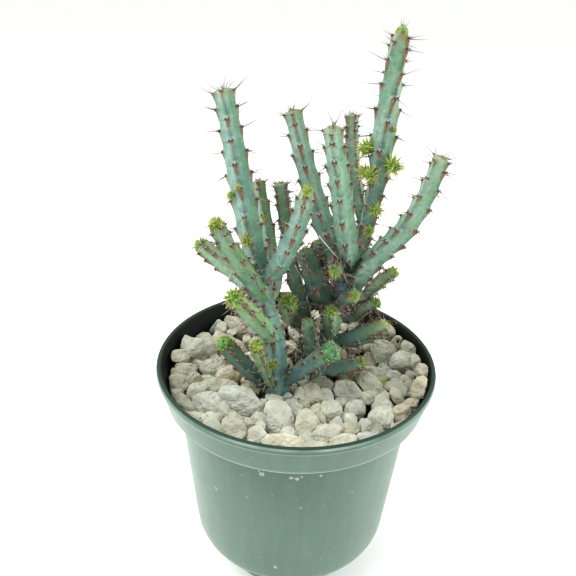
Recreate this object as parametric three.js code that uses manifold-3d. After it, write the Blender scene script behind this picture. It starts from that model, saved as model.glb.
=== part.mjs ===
// Potted euphorbia: a clump of four-angled succulent stems in a round nursery pot,
// top-dressed with pumice gravel. Millimetres, +Z up, origin at the centre of the pot's foot.
import * as THREE from 'three';
import { mergeVertices } from 'three/addons/utils/BufferGeometryUtils.js';
import Module from 'manifold-3d';

// ---------------------------------------------------------------- driving dimensions
const RIM_HEIGHT = 95.5;        // top of the rim above the surface the pot stands on
const RIM_R = 52.4;             // outer radius at the rim (a 105 mm pot)
const RIM_IN_R = 50.3;          // inner radius just under the lip
const BAND_H = 12.6;            // depth of the collar below the rim
const BAND_LOW_R = 49.6;        // outer radius at the collar's lower edge
const BODY_TOP_R = 44.9;        // outer radius of the body under the collar
const BODY_LOW_R = 40.0;        // outer radius just above the rounded bottom edge
const BODY_LOW_Z = 23.5;        // height of that point
const FOOT_R = 28.2;            // radius of the flat foot
const FOOT_TOP_R = 30.6;        // radius where the foot meets the shoulder
const FOOT_H = 13.2;            // height of the foot
const WALL = 1.4;               // wall thickness of the moulded pot
const POT_SEGMENTS = 40;
const DRAIN_HOLES = 6;          // drain holes in the shoulder round the foot
const DRAIN_HOLE_R = 2.6;
const DRAIN_CIRCLE_R = 34.0;
const MIX_TOP = 73.7;           // top of the potting mix
const BED_LOW = 74.05;          // underside of the pumice layer
const BED_TOP = 85.6;           // mean level of the pumice between the large stones
const BED_BUMP = 0.7;           // unevenness of that level
const GAP = 0.3;                // clearance kept between touching pieces
const OWN_STONES = 30;          // the largest stones, each its own piece
const STEM_RIBS = 4;            // angles of a stem's section
const STEM_VALLEY = 0.74;       // radius between the angles, as a share of the radius on them
const STEM_STEP = 7.5;          // spacing of the sections along a stem

// Each stem: centreline points with the width over the angles there, from its foot to its tip.
const STEMS = [
  { name: 'trunk_left',          parent: null,            pts: [[-5.5, -10, 70, 7], [-6, -10.5, 78, 8.6], [-6.5, -11, 85.7, 9.3], [-7.3, -11, 95.6, 9.1], [-8.2, -10.5, 108.1, 8.2], [-11.2, -10, 120, 7.7], [-13.1, -10, 129.6, 7.5], [-14.9, -10, 138.9, 7.7], [-16.4, -9.7, 145.9, 7.9], [-17.6, -9.4, 151, 8.1], [-19, -8.8, 159.3, 8], [-20.4, -8.2, 166.3, 7.7], [-22, -7.4, 174.9, 7.1], [-23.7, -6.5, 183.8, 6.4], [-25.4, -5.5, 191.5, 6]] },
  { name: 'trunk_right',         parent: null,            pts: [[9, 11, 70, 6.2], [9.6, 12, 79, 7.3], [10.4, 13, 88.7, 7.7], [12.9, 13, 100.1, 7.5], [15.9, 12.5, 113.2, 7.3], [18.6, 12, 123, 7.2], [21.2, 12, 132.3, 7], [23.1, 12.4, 140.6, 6.9], [24.1, 13, 149.3, 6.8], [25.2, 13.5, 156.6, 7.1], [26.1, 14.2, 166.2, 7.6], [26.5, 15, 176.4, 8.2], [27.1, 16, 187.8, 8], [28, 17, 198.8, 8], [29.2, 18, 209, 5.8]] },
  { name: 'stem_back_mid',       parent: null,            pts: [[2, 11.5, 78, 5.9], [2.6, 10.5, 90, 7], [3.3, 8, 101.7, 7.4], [0.9, 8, 114, 7.2], [-2.2, 8, 125.2, 7], [-4.4, 9, 136.7, 6.5], [-6.3, 10, 147.8, 6.1], [-8, 11, 158.1, 5.3]] },
  { name: 'stub_centre',         parent: null,            pts: [[7, 3.6, 80, 5.2], [6.8, 3, 89, 6.2], [6.3, 2, 97, 6.5], [4.8, -2, 104.4, 7.1], [3.3, -5, 113.8, 5.4]] },
  { name: 'stem_ground_right',   parent: null,            pts: [[7.2, -4.2, 78, 4.6], [8.4, -2, 84, 5.5], [11, 0, 88.5, 5.8], [15.3, -2.5, 91.9, 7.2], [20, -4, 94.1, 6.8], [24.7, -4, 96.2, 4.9]] },
  { name: 'stem_mid_tall',       parent: 'trunk_right',   pts: [[19.2, 12, 125.2, 4.7], [14.5, 6.5, 129.6, 5.9], [11, 5.5, 138.6, 7.1], [7.2, 5, 147.7, 7.3], [4.3, 4.5, 155.8, 7.2], [1.6, 4, 163.6, 6.7], [-1.1, 3.5, 172.4, 6.4], [-3, 3, 179.5, 5.8], [-4.5, 2.5, 184.6, 5.1]] },
  { name: 'stem_mid_front',      parent: 'trunk_right',   pts: [[21, 12, 131.7, 5.6], [17.4, 3, 136.1, 7], [15.6, -1, 143.8, 7.9], [13.5, -4, 153.9, 7.6], [11.9, -7, 163.4, 7.2], [10, -10, 172.3, 6.8], [8.8, -12, 178, 6.2], [7.8, -14, 183.4, 5.3]] },
  { name: 'stem_right_arch',     parent: 'trunk_right',   pts: [[18.4, 12, 122.4, 5.8], [20.7, 6, 124.5, 7.3], [23.7, 4, 130.9, 8.6], [26.5, 2, 136.6, 8.1], [29.9, 0, 141.9, 7.6], [33.6, -1.5, 147.1, 8.1], [36.9, -3, 153.9, 7.5], [39.2, -4, 160.2, 7], [40.9, -5, 167.3, 6.4], [42.3, -6, 173.8, 5.6]] },
  { name: 'stem_back_right',     parent: 'trunk_right',   pts: [[22.8, 12.4, 139.6, 3.7], [23.6, 15.2, 140.7, 4.6], [21.3, 17.5, 148.3, 5.5], [18.9, 19.5, 157, 5.4], [17.2, 21.2, 165.7, 5.4], [16.3, 22.8, 173.1, 5], [15.8, 24, 179.9, 4.6]] },
  { name: 'stem_low_right',      parent: 'trunk_right',   pts: [[11.6, 13, 94.2, 5.5], [17.2, 12, 95.4, 6.8], [21.7, 10, 97.4, 8.3], [26.4, 8.5, 100.9, 8.6], [30.7, 8, 103.7, 8.5], [34.7, 8, 106.1, 7.3]] },
  { name: 'stem_mid_dark',       parent: 'trunk_right',   pts: [[14.8, 12.7, 108.3, 5.8], [11.3, 8, 111.9, 7.2], [7.8, 6, 119.7, 8.5], [4.7, 4, 128.7, 8], [1, 3, 138.4, 6]] },
  { name: 'stem_v_branch',       parent: 'trunk_left',    pts: [[-13.3, -10, 131, 4.4], [-10.6, -11.5, 133.2, 5.4], [-7.3, -13.5, 138.7, 6.9], [-4.5, -16, 145.7, 6.7], [-1.8, -18.5, 153.6, 6.2], [0, -20.5, 161.6, 5.4], [1.1, -22, 168.4, 4.1]] },
  { name: 'stem_front_left',     parent: 'trunk_left',    pts: [[-12.4, -10, 126.1, 5.1], [-12.4, -14, 127.9, 6.4], [-14.9, -17, 133.5, 6.9], [-17.8, -20, 139.8, 6.5], [-21, -22.5, 146.4, 6], [-23.7, -25, 152.6, 5.4], [-25.9, -26.5, 158.2, 4.7]] },
  { name: 'stem_far_left',       parent: 'trunk_left',    pts: [[-12.3, -10, 125.5, 4.5], [-17.1, -7, 127.1, 5.6], [-21.6, -4, 130.1, 6.3], [-26.5, -1, 132.3, 6.3], [-31.5, 2, 134.6, 6], [-36.5, 4.5, 137.9, 5.4]] },
  { name: 'stem_low_left',       parent: 'trunk_left',    pts: [[-8.6, -10.4, 109.7, 4.5], [-8.7, -14, 111.5, 5.6], [-12, -18, 118.2, 6.8], [-15.4, -21.5, 124.3, 6.6], [-18.4, -24, 129.3, 6.1], [-21, -26, 133.5, 5.3]] },
  { name: 'stem_back_left',      parent: 'trunk_left',    pts: [[-11.7, -10, 122.4, 3.8], [-8.8, -5.5, 125.6, 4.7], [-10, -1, 134.3, 5.3], [-11.8, 3, 142.8, 5.3], [-13.9, 6, 151.6, 4.9], [-15.7, 8, 159.5, 4.1]] },
  { name: 'stem_front_right',    parent: 'trunk_left',    pts: [[-6.9, -11, 89.8, 4.5], [-2.3, -11, 92.3, 5.6], [1.6, -13, 97.1, 6.9], [5.7, -14.5, 101.8, 6.7], [9.7, -16, 106, 6.6], [12.9, -17, 109.3, 6.9]] },
  { name: 'sprout_left',         parent: 'trunk_left',    pts: [[-6.8, -11, 89, 3.7], [-10.6, -12, 90.3, 4.6], [-13.9, -13.5, 94.3, 5.8], [-17.4, -15, 98.7, 6.1], [-20.8, -16, 103.4, 6], [-23.5, -16.5, 107.4, 5.6], [-25.8, -17, 110.8, 5.2]] },
  { name: 'sprout_front',        parent: 'trunk_left',    pts: [[-7, -11, 91.1, 2.6], [-8.6, -16, 93.3, 3.2], [-10.7, -18, 100.3, 4.2], [-12.5, -19, 106.3, 4.8], [-13.9, -19.5, 111.9, 4.8]] },
  { name: 'bud_stem_left',       parent: 'stem_back_mid', pts: [[2.5, 8, 105.7, 4.4], [-2.2, 5, 107.2, 5.5], [-3.4, 0, 114.3, 7], [-4.2, -4, 121, 7.1]] },
  { name: 'bud_stem_mid',        parent: 'trunk_right',   pts: [[12.8, 13, 99.9, 3.9], [13.1, 5, 102.7, 4.8], [12.5, 1, 109.9, 7.1], [11.8, -2, 116.7, 6.2]] },
  { name: 'stub_mid_back',       parent: 'trunk_right',   pts: [[18, 12.1, 120.8, 4.6], [10.8, 12, 126, 5.7], [7.7, 9, 133.4, 6.6], [5.2, 8, 139.2, 5.8]] },
  { name: 'stub_mid_front',      parent: 'stem_mid_tall', pts: [[15.3, 7.5, 128.8, 3.9], [14.4, 3, 128.9, 4.9], [13, -1, 131.5, 6.3], [11.9, -6, 135, 6.5]] },
  { name: 'stub_right_front',    parent: 'trunk_right',   pts: [[15.9, 12.5, 113.1, 3.8], [15.8, 6, 115.8, 4.7], [17.8, 1, 120.7, 6.2], [20.5, -3, 124.2, 5.7]] },
  { name: 'sprout_right_high',   parent: 'trunk_right',   pts: [[15.9, 12.5, 113.3, 4.2], [25.2, 14.5, 113.9, 5.2], [28.9, 16, 117.7, 6.2], [32.7, 18, 120.4, 5.8], [36.8, 19.5, 123.3, 4.7]] },
  { name: 'sprout_right_low',    parent: 'trunk_right',   pts: [[14, 12.8, 105, 3.9], [22.2, 12, 106.2, 4.9], [24.9, 10.5, 110.4, 5.8], [27.7, 10, 113, 5.3], [30.2, 10, 114.4, 4.2]] },
];

// Stones of the pumice dressing: centre x, y, z, half sizes a, b, c and the turn about z in degrees,
// the largest first.
const STONES = [
  [-19.6, -17.7, 85, 8.4, 8.1, 4.6, -22],
  [-40.1, 13.5, 87.9, 6.8, 6.7, 4.7, -10],
  [-4.4, -24.7, 84.4, 5.9, 5.7, 5.3, 0],
  [-29.9, -19.8, 85.6, 6.4, 6.2, 3.9, -12],
  [36, 16.3, 87.4, 5, 5, 5.5, 0],
  [20.1, -7.8, 84.9, 5.2, 5, 4.7, 0],
  [28.9, -2.2, 85, 5.1, 4.9, 4.6, -35],
  [42.3, 11, 87, 4.9, 4.9, 4.7, 0],
  [5.1, -11.8, 85.2, 5.1, 4.9, 4.4, 0],
  [25.8, 28, 85.3, 5.8, 4.8, 4.8, 50],
  [-11.6, 2.2, 85, 5.8, 5, 4.6, 91],
  [-30.4, -9.2, 86.6, 6.3, 4.5, 2.9, 0],
  [14.7, 31.5, 84.8, 5.6, 4.7, 4.8, 176],
  [-16.3, 38.5, 87, 5.3, 4.9, 4.8, 135],
  [-11.2, 20.4, 84.3, 5.7, 4.8, 4.4, 157],
  [18.6, 7.6, 85.4, 5.7, 4.9, 4.3, 151],
  [22.4, 37.8, 87, 5.2, 4.8, 4.7, 26],
  [-32.5, 2.7, 86, 4.6, 4.5, 3.5, 0],
  [10.8, 20.7, 85.3, 5.2, 4.6, 4.8, 125],
  [-29.1, 33.3, 87.2, 4.5, 4.4, 3.6, 0],
  [-30.6, 20.4, 85.5, 5.3, 5, 4.3, 38],
  [-3.8, 8.6, 84.1, 5.3, 4.7, 4.5, 153],
  [-3.4, -38.5, 86.6, 6.2, 4, 2.8, 0],
  [-10.5, 30.3, 84.7, 5.5, 4.7, 4.2, 104],
  [30.6, -23.2, 85.3, 4, 3.9, 4.3, 0],
  [6.4, 40.7, 86.7, 5.2, 4.9, 4.2, 23],
  [-6.6, 40.6, 86.7, 5.6, 4.6, 4.1, 131],
  [5.2, -28.3, 85.3, 3.9, 3.8, 4.2, 0],
  [0.5, 33, 84.9, 5.6, 4.5, 3.9, 129],
  [13.7, -21.3, 85.4, 3.8, 3.7, 4.1, 0],
  [12.3, -32.9, 87, 5.3, 4.4, 2.4, 0],
  [37.7, -4.4, 86.2, 4.1, 4, 3.3, -30],
  [21.7, -19.1, 85.5, 3.7, 3.6, 4, 0],
  [43.6, 14.6, 91.7, 3.8, 3.8, 3.6, 0],
  [-39.5, -20.3, 86.3, 3.9, 3.8, 3.4, 0],
  [-43.5, -9.6, 86.2, 4, 3.9, 3.2, 0],
  [38.6, -20.6, 86.4, 3.7, 3.6, 3.7, 0],
  [43.9, -13.9, 91.3, 3.5, 3.5, 4, 0],
  [-2.1, 24.2, 85.5, 4.8, 3.9, 3.7, 68],
  [-21.9, 15.7, 85.9, 4.6, 3.8, 3.8, 59],
  [-20.1, -32, 85.9, 3.4, 3.2, 3.5, 0],
  [-21.2, 23.7, 85.9, 3.3, 3.2, 3.6, 0],
  [31.7, -14.9, 86.4, 3.6, 3.5, 3, 0],
  [-23.8, 4.5, 84.9, 4.4, 3.6, 3.8, 62],
  [-0.3, -19.8, 86.5, 3.5, 3.4, 3, 0],
  [-27.7, 11.4, 86.1, 3.2, 3.1, 3.4, 0],
  [27.5, 7, 85.7, 4.2, 3.7, 3.4, 39],
  [-17.8, 9.8, 86.8, 3.6, 3.4, 2.6, 0],
  [24.2, 18.2, 87.5, 4.1, 3.9, 1.9, 0],
  [-42.1, -0.8, 87.4, 4.2, 3.8, 1.9, 0],
  [-45.6, 2.2, 90.3, 3.4, 3.4, 2.6, 0],
  [17.9, 15.5, 85.5, 4, 3.5, 3.3, 35],
  [-24.9, 30.9, 86.3, 3, 2.9, 3.2, 0],
  [46.1, 6, 92, 2.9, 2.9, 3.2, 0],
  [38.2, 26, 92, 2.9, 2.9, 3.2, 0],
  [-39.1, 22.9, 86.3, 3.7, 3.3, 3.4, 16],
  [38.7, -11.8, 86.3, 2.9, 2.8, 3.1, 0],
  [-7.5, -14.8, 86.7, 3.1, 3, 2.7, 0],
  [18.5, 23.1, 86.4, 3.7, 3.1, 3.4, 159],
  [41.7, 19.6, 90.6, 2.8, 2.8, 3.1, 0],
  [14.4, 42.5, 86.1, 4, 3.1, 3.1, 21],
  [2.3, 18, 86.4, 2.8, 2.8, 3, 0],
  [-11.9, -35.8, 86.7, 3, 2.9, 2.7, 0],
  [17.4, -36.9, 87.4, 4.2, 2.9, 1.9, 0],
  [-18.4, 29.8, 86.3, 3.8, 3.1, 3.1, 78],
  [24.6, -34.5, 87.5, 3.9, 3, 1.8, 0],
  [42.8, -15.3, 87.3, 3.2, 3.1, 2.1, 0],
  [-36.8, -13.3, 86.5, 2.7, 2.6, 2.9, 0],
  [10.9, -7.1, 87.5, 3.3, 3.2, 1.9, 0],
  [-27.6, -32.3, 86.6, 2.7, 2.6, 2.8, 0],
  [46.8, -4.1, 92.3, 2.6, 2.6, 2.9, 0],
  [31.8, 2.2, 87.2, 3.1, 3, 2.1, 0],
  [19.8, -30.4, 87.1, 3, 2.9, 2.2, 0],
  [-23.6, -2.8, 86.6, 2.6, 2.6, 2.8, 0],
  [28.9, 14, 86.6, 2.6, 2.5, 2.8, 0],
  [30.2, 34.3, 87, 3.4, 2.9, 2.9, 131],
  [-38.8, 5, 86.9, 3.3, 3, 2.8, 149],
  [35.8, 7.3, 86.7, 3.4, 2.9, 2.8, 112],
  [-10.7, -5.3, 86.2, 3.2, 3, 2.8, 87],
  [34.8, -29.4, 86.3, 3.3, 2.9, 2.8, 77],
  [-2.4, -3.2, 86.9, 3.4, 2.7, 2.9, 114],
  [-4.8, 16.1, 86.8, 3.4, 2.9, 2.7, 42],
  [-35, -3.9, 86.4, 3.1, 2.7, 2.9, 41],
  [6, -44.9, 86.9, 3.2, 2.8, 2.7, 20],
  [3.5, -1.3, 86.3, 3.4, 2.8, 2.5, 10],
  [13.5, -43.7, 86.4, 3.1, 2.8, 2.7, 43],
  [-11.7, 11.6, 86.5, 3.2, 2.8, 2.6, 166],
  [-14.3, -41.3, 86.8, 3.1, 2.8, 2.6, 129],
  [4.5, -35.6, 86.9, 3.2, 2.7, 2.6, 63],
  [-0.6, 2, 87.8, 3.1, 3, 1.5, 0],
  [4.7, 25.9, 87.4, 3.1, 3, 2.4, 73],
  [-0.5, 45.3, 87, 3.3, 2.7, 2.5, 80],
  [24.4, -28.8, 86.9, 2.4, 2.3, 2.5, 0],
  [19.1, -1.7, 87.8, 3.4, 2.5, 1.6, 0],
  [32.5, 24.5, 87.2, 3.1, 2.8, 2.5, 42],
  [-6.9, -45.3, 87, 3.2, 2.9, 2.3, 175],
  [-16.3, -29.4, 87.5, 2.7, 2.6, 1.9, 0],
  [-45.9, -4.1, 87.1, 2.4, 2.4, 2.3, 0],
  [12, -13.3, 87.2, 2.5, 2.4, 2.2, 0],
  [7.9, -20.7, 87.3, 2.6, 2.5, 2, 0],
  [38.2, 1.4, 87.7, 2.9, 2.8, 1.6, 0],
  [37.4, 27.1, 88.6, 2.5, 2.4, 2.1, 0],
  [22.3, -39.8, 86.3, 3.2, 2.6, 2.4, 61],
  [0.1, -44.2, 86.2, 3, 2.4, 2.5, 118],
  [-32.6, -29.3, 87.7, 2.7, 2.6, 1.6, 0],
  [-36.9, -25.9, 86.5, 3, 2.5, 2.3, 16],
  [-14.3, -12.3, 87.1, 2.2, 2.1, 2.3, 0],
  [-11.9, -26.5, 87.2, 2.7, 2.6, 2.4, 165],
  [28.3, -9.6, 86, 2.9, 2.4, 2.4, 156],
  [-27.4, -27, 87.2, 2.9, 2.3, 2.5, 25],
  [-17.3, -36, 87.4, 2.3, 2.2, 2, 0],
  [9.7, 7.2, 86.5, 2.8, 2.5, 2.3, 71],
  [-20.1, -41.1, 86.9, 3, 2.5, 2.1, 159],
  [-23.8, 38.8, 86.7, 2.7, 2.4, 2.4, 80],
  [-11.5, -20.3, 87.1, 2.1, 2, 2.3, 0],
  [-18.6, 1.4, 87.2, 2.8, 2.3, 2.4, 126],
  [29.2, -29.7, 87.2, 2.8, 2.4, 2.3, 85],
  [44.4, 3.5, 87.5, 2.3, 2.2, 1.9, 0],
  [19.7, -24.9, 87.6, 3, 2.4, 2.1, 97],
  [-0.9, -32.3, 86.6, 3, 2.4, 2.1, 32],
  [7.2, 31.3, 87, 2.9, 2.3, 2.2, 175],
  [-18.3, -5.7, 88, 2.6, 2.5, 1.4, 0],
  [41.3, -2, 87.9, 2.6, 2.5, 1.4, 0],
  [9.4, -40.1, 88, 2.9, 2.4, 1.3, 0],
  [42.9, -4.7, 87.2, 2, 2, 2.2, 0],
  [-22.3, -28.1, 87.8, 2.4, 2.3, 1.5, 0],
  [-43.3, -15.6, 87.8, 2.7, 2.3, 2.1, 81],
  [23.8, 0.9, 88.1, 2.7, 2.5, 1.2, 0],
  [2.5, -40.7, 88.1, 2.6, 2.5, 1.2, 0],
  [-35.3, 30.4, 87.3, 1.9, 1.9, 2.1, 60],
  [29.3, 19, 87.4, 2.6, 2.1, 2.1, 54],
  [-24, -9.2, 87.2, 2.4, 2.2, 2.1, 147],
  [16.9, -14.6, 86.8, 2.5, 2.1, 2.1, 18],
  [-33.1, 26.9, 87.5, 2.5, 2.1, 2.1, 55],
  [-1.1, -8.4, 87.6, 2.3, 2.2, 2.1, 155],
  [-15.6, 25.1, 87.3, 2.4, 2, 2.2, 120],
  [-17.8, 19.7, 87.5, 2.5, 2, 2.1, 174],
  [15.2, -26.7, 87.3, 2.6, 2, 2, 26],
  [-15.4, 15.2, 86.9, 2.3, 2.2, 2, 103],
  [34, 29.8, 87.5, 2.4, 2.2, 1.9, 67],
  [33.4, -9.9, 87.1, 2.6, 2, 1.9, 155],
  [-10.5, -32.3, 87.7, 2, 1.9, 1.6, 0],
  [-24.3, -38.9, 88.1, 2.3, 2.2, 1.2, 0],
  [-28.5, -3.1, 86.7, 2.4, 2.2, 1.8, 119],
  [2.2, 5.5, 87.9, 2.5, 2, 1.9, 51],
  [24.8, -13.6, 87.1, 2.5, 2.1, 1.8, 89],
  [45.2, -11.9, 87.5, 1.8, 1.7, 1.9, 0],
  [23.7, 13.1, 87.8, 2.3, 2, 1.8, 125],
  [-2.7, -14.5, 87.7, 1.8, 1.7, 1.6, 0],
  [-32.9, 10.2, 87.5, 2.2, 1.9, 1.7, 164],
  [-16, -2.3, 87.7, 2.1, 1.9, 1.7, 17],
  [-18.6, -9.7, 87.6, 2.2, 1.8, 1.7, 71],
  [31.7, -32.8, 88.2, 2, 1.9, 1.1, 0],
  [-37.5, -8.4, 88, 2.2, 1.9, 1.6, 150],
  [3.8, 46.5, 87, 2, 1.9, 1.7, 56],
  [-13, 44.8, 86.9, 2.1, 1.8, 1.7, 124],
  [13.2, -38.9, 86.9, 2.1, 1.8, 1.7, 65],
  [0.2, 39, 87.2, 2.1, 1.9, 1.6, 145],
  [-9.8, -41.8, 87.8, 2.1, 1.9, 1.6, 71],
  [6.6, -5.3, 87.4, 2.2, 1.7, 1.7, 121],
  [-43.3, 6.5, 87.4, 2, 1.7, 1.8, 0],
  [45.4, -0.6, 86.9, 2, 1.9, 1.6, 85],
  [45, -8, 87.5, 2.2, 1.7, 1.6, 9],
  [9.6, -27.1, 87.7, 1.5, 1.5, 1.6, 0],
  [-28.9, 26.4, 88, 2.1, 1.8, 1.5, 71],
  [4.2, -17.9, 88.2, 2, 1.7, 1.6, 85],
  [18.9, -42.3, 88.3, 2, 1.8, 1.5, 156],
  [14.7, 2.3, 87.5, 2, 1.7, 1.5, 87]
];

// ---------------------------------------------------------------- solids
const wasm = await Module();
wasm.setup();

function toSolid(geometry) {
  const g = geometry.clone();
  g.deleteAttribute('normal');
  g.deleteAttribute('uv');
  const m = mergeVertices(g, 1e-4);
  // drop the slivers that lie on the axis of a turned shape
  const src = m.index.array;
  const tri = [];
  for (let i = 0; i < src.length; i += 3) {
    const [a, b, c] = [src[i], src[i + 1], src[i + 2]];
    if (a !== b && b !== c && a !== c) tri.push(a, b, c);
  }
  return new wasm.Manifold(new wasm.Mesh({
    numProp: 3,
    vertProperties: new Float32Array(m.attributes.position.array),
    triVerts: new Uint32Array(tri),
  }));
}

function toGeometry(solid) {
  const mesh = solid.getMesh();
  const g = new THREE.BufferGeometry();
  g.setAttribute('position', new THREE.BufferAttribute(new Float32Array(mesh.vertProperties), 3));
  g.setIndex(new THREE.BufferAttribute(new Uint32Array(mesh.triVerts), 1));
  g.computeVertexNormals();
  return g;
}

// A profile of [radius, height] points turned about the vertical axis.
function turned(profile, segments = POT_SEGMENTS) {
  const g = new THREE.LatheGeometry(profile.map(([r, z]) => new THREE.Vector2(r, z)), segments);
  g.rotateX(Math.PI / 2);
  return g;
}

// ---------------------------------------------------------------- pot
const z0 = RIM_HEIGHT;
const shoulderR = 36.8, shoulderZ = 16.0;
const potProfile = [
  [0, 0], [FOOT_R - 0.8, 0], [FOOT_R, 0.8], [FOOT_TOP_R, FOOT_H], [FOOT_TOP_R + 0.8, FOOT_H + 0.8],
  [shoulderR, shoulderZ], [38.7, 17.7], [39.6, 20.0], [BODY_LOW_R, BODY_LOW_Z],
  [BODY_TOP_R, z0 - BAND_H - 1.0], [BODY_TOP_R + 0.4, z0 - BAND_H - 0.4],
  [BAND_LOW_R - 0.4, z0 - BAND_H - 0.3], [BAND_LOW_R, z0 - BAND_H + 0.2],
  [RIM_R, z0 - 0.9], [RIM_R - 0.3, z0 - 0.2], [RIM_R - 1.0, z0], [RIM_IN_R + 0.4, z0 - 0.2], [RIM_IN_R, z0 - 0.9],
  [BAND_LOW_R - 1.7, z0 - BAND_H + WALL], [BAND_LOW_R - 2.3, z0 - BAND_H + 0.8],
  [BODY_TOP_R - 1.0, z0 - BAND_H + 0.7], [BODY_TOP_R - 1.5, z0 - BAND_H],
  [BODY_LOW_R - WALL, BODY_LOW_Z + 0.1], [38.2, 20.2], [37.6, 18.6], [36.2, 17.4],
  [FOOT_TOP_R, FOOT_H + 2.2], [FOOT_TOP_R - 1.2, FOOT_H + 1.0], [FOOT_R - 1.2, 1.9], [FOOT_R - 1.8, WALL], [0, WALL],
];
let pot = toSolid(turned(potProfile));
for (let i = 0; i < DRAIN_HOLES; i++) {
  const a = (i + 0.5) * 2 * Math.PI / DRAIN_HOLES;
  const hole = new THREE.CylinderGeometry(DRAIN_HOLE_R, DRAIN_HOLE_R, 12, 12);
  hole.rotateX(Math.PI / 2);
  hole.translate(DRAIN_CIRCLE_R * Math.cos(a), DRAIN_CIRCLE_R * Math.sin(a), 15.5);
  pot = pot.subtract(toSolid(hole));
}
// inner radius of the pot at a height
function innerRadius(z) {
  const zl = z0 - BAND_H;
  if (z > zl + 0.9) return THREE.MathUtils.lerp(BAND_LOW_R - 1.9, RIM_IN_R, (z - zl - 0.9) / (BAND_H - 1.8));
  return THREE.MathUtils.lerp(BODY_LOW_R - WALL, BODY_TOP_R - 1.5, (z - BODY_LOW_Z) / (zl - BODY_LOW_Z));
}

// ---------------------------------------------------------------- stems
// A four-angled stem: a ribbed section carried along a smooth centreline, with a domed tip.
function stemGeometry(row, extra = 0) {
  const pts = row.pts.map(p => new THREE.Vector3(p[0], p[1], p[2]));
  const curve = new THREE.CatmullRomCurve3(pts, false, 'centripetal');
  const length = curve.getLength();
  const n = Math.max(3, Math.round(length / STEM_STEP));
  const cum = [0];
  for (let i = 1; i < pts.length; i++) cum.push(cum[i - 1] + pts[i].distanceTo(pts[i - 1]));
  const widthAt = t => {
    const s = t * cum[cum.length - 1];
    let i = 1;
    while (i < cum.length - 1 && cum[i] < s) i++;
    return THREE.MathUtils.lerp(row.pts[i - 1][3], row.pts[i][3], (s - cum[i - 1]) / (cum[i] - cum[i - 1]));
  };
  const sides = STEM_RIBS * 2;
  const rings = [];
  for (let i = 0; i <= n; i++) rings.push([Math.min(i / n, 1), 1]);
  const tip = row.pts[row.pts.length - 1][3] / 2 / length;
  rings[n][0] = 1 - 0.55 * tip;
  rings[n][1] = 0.93;
  rings.push([1, 0.55]);
  const position = [];
  for (const [t, k] of rings) {
    const c = curve.getPointAt(t);
    const d = curve.getTangentAt(t);
    const ref = Math.abs(d.y) > 0.8 ? new THREE.Vector3(0, 0, 1) : new THREE.Vector3(0, -1, 0);
    const u = ref.clone().addScaledVector(d, -ref.dot(d)).normalize();
    const v = new THREE.Vector3().crossVectors(d, u);
    const r = widthAt(t) / 2 * k + extra;
    for (let j = 0; j < sides; j++) {
      const a = j / sides * 2 * Math.PI;
      const rr = r * (j % 2 ? STEM_VALLEY : 1) + (j % 2 ? extra * (1 - STEM_VALLEY) : 0);
      const q = c.clone().addScaledVector(u, rr * Math.cos(a)).addScaledVector(v, rr * Math.sin(a));
      position.push(q.x, q.y, q.z);
    }
  }
  const lowCentre = curve.getPointAt(0).addScaledVector(curve.getTangentAt(0), -extra);
  const topCentre = curve.getPointAt(1).addScaledVector(curve.getTangentAt(1), 0.12 * widthAt(1) + extra);
  position.push(lowCentre.x, lowCentre.y, lowCentre.z, topCentre.x, topCentre.y, topCentre.z);
  const low = rings.length * sides, top = low + 1;
  const index = [];
  for (let j = 0; j < sides; j++) {
    const k = (j + 1) % sides;
    index.push(low, k, j);
    for (let i = 0; i < rings.length - 1; i++) {
      const a = i * sides + j, b = i * sides + k, c = a + sides, d = b + sides;
      index.push(a, b, c, b, d, c);
    }
    index.push(top, (rings.length - 1) * sides + j, (rings.length - 1) * sides + k);
  }
  const g = new THREE.BufferGeometry();
  g.setAttribute('position', new THREE.Float32BufferAttribute(position, 3));
  g.setIndex(index);
  return g;
}

function boxesMeet(a, b) {
  const p = a.boundingBox(), q = b.boundingBox();
  return [0, 1, 2].every(i => p.min[i] < q.max[i] && q.min[i] < p.max[i]);
}

// Each branch is cut back from the stems it grows beside, so that it starts at their skin.
const stems = [];
for (const row of STEMS) {
  let body = toSolid(stemGeometry(row));
  for (const other of stems) {
    if (boxesMeet(body, other.grown)) body = body.subtract(other.grown);
  }
  const pieces = body.decompose();
  if (pieces.length > 1) {
    pieces.sort((a, b) => b.volume() - a.volume());
    body = pieces[0];
  }
  stems.push({ row, body, grown: toSolid(stemGeometry(row, GAP + 0.02)) });
}

// ---------------------------------------------------------------- pumice stones
// points along the stems near the gravel, with the radius to keep clear of
const nearStems = [];
for (const { row } of stems) {
  const curve = new THREE.CatmullRomCurve3(row.pts.map(p => new THREE.Vector3(p[0], p[1], p[2])), false, 'centripetal');
  const n = Math.ceil(curve.getLength() / 1.5);
  for (let i = 0; i <= n; i++) {
    const p = curve.getPointAt(i / n);
    if (p.z > 104) continue;
    let w = 0, best = 1e9;
    row.pts.forEach((q, k) => { const d = Math.hypot(q[0] - p.x, q[1] - p.y, q[2] - p.z); if (d < best) { best = d; w = Math.max(q[3], k ? row.pts[k - 1][3] : 0, k < row.pts.length - 1 ? row.pts[k + 1][3] : 0); } });
    nearStems.push([p.x, p.y, p.z, w / 2]);
  }
}

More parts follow.
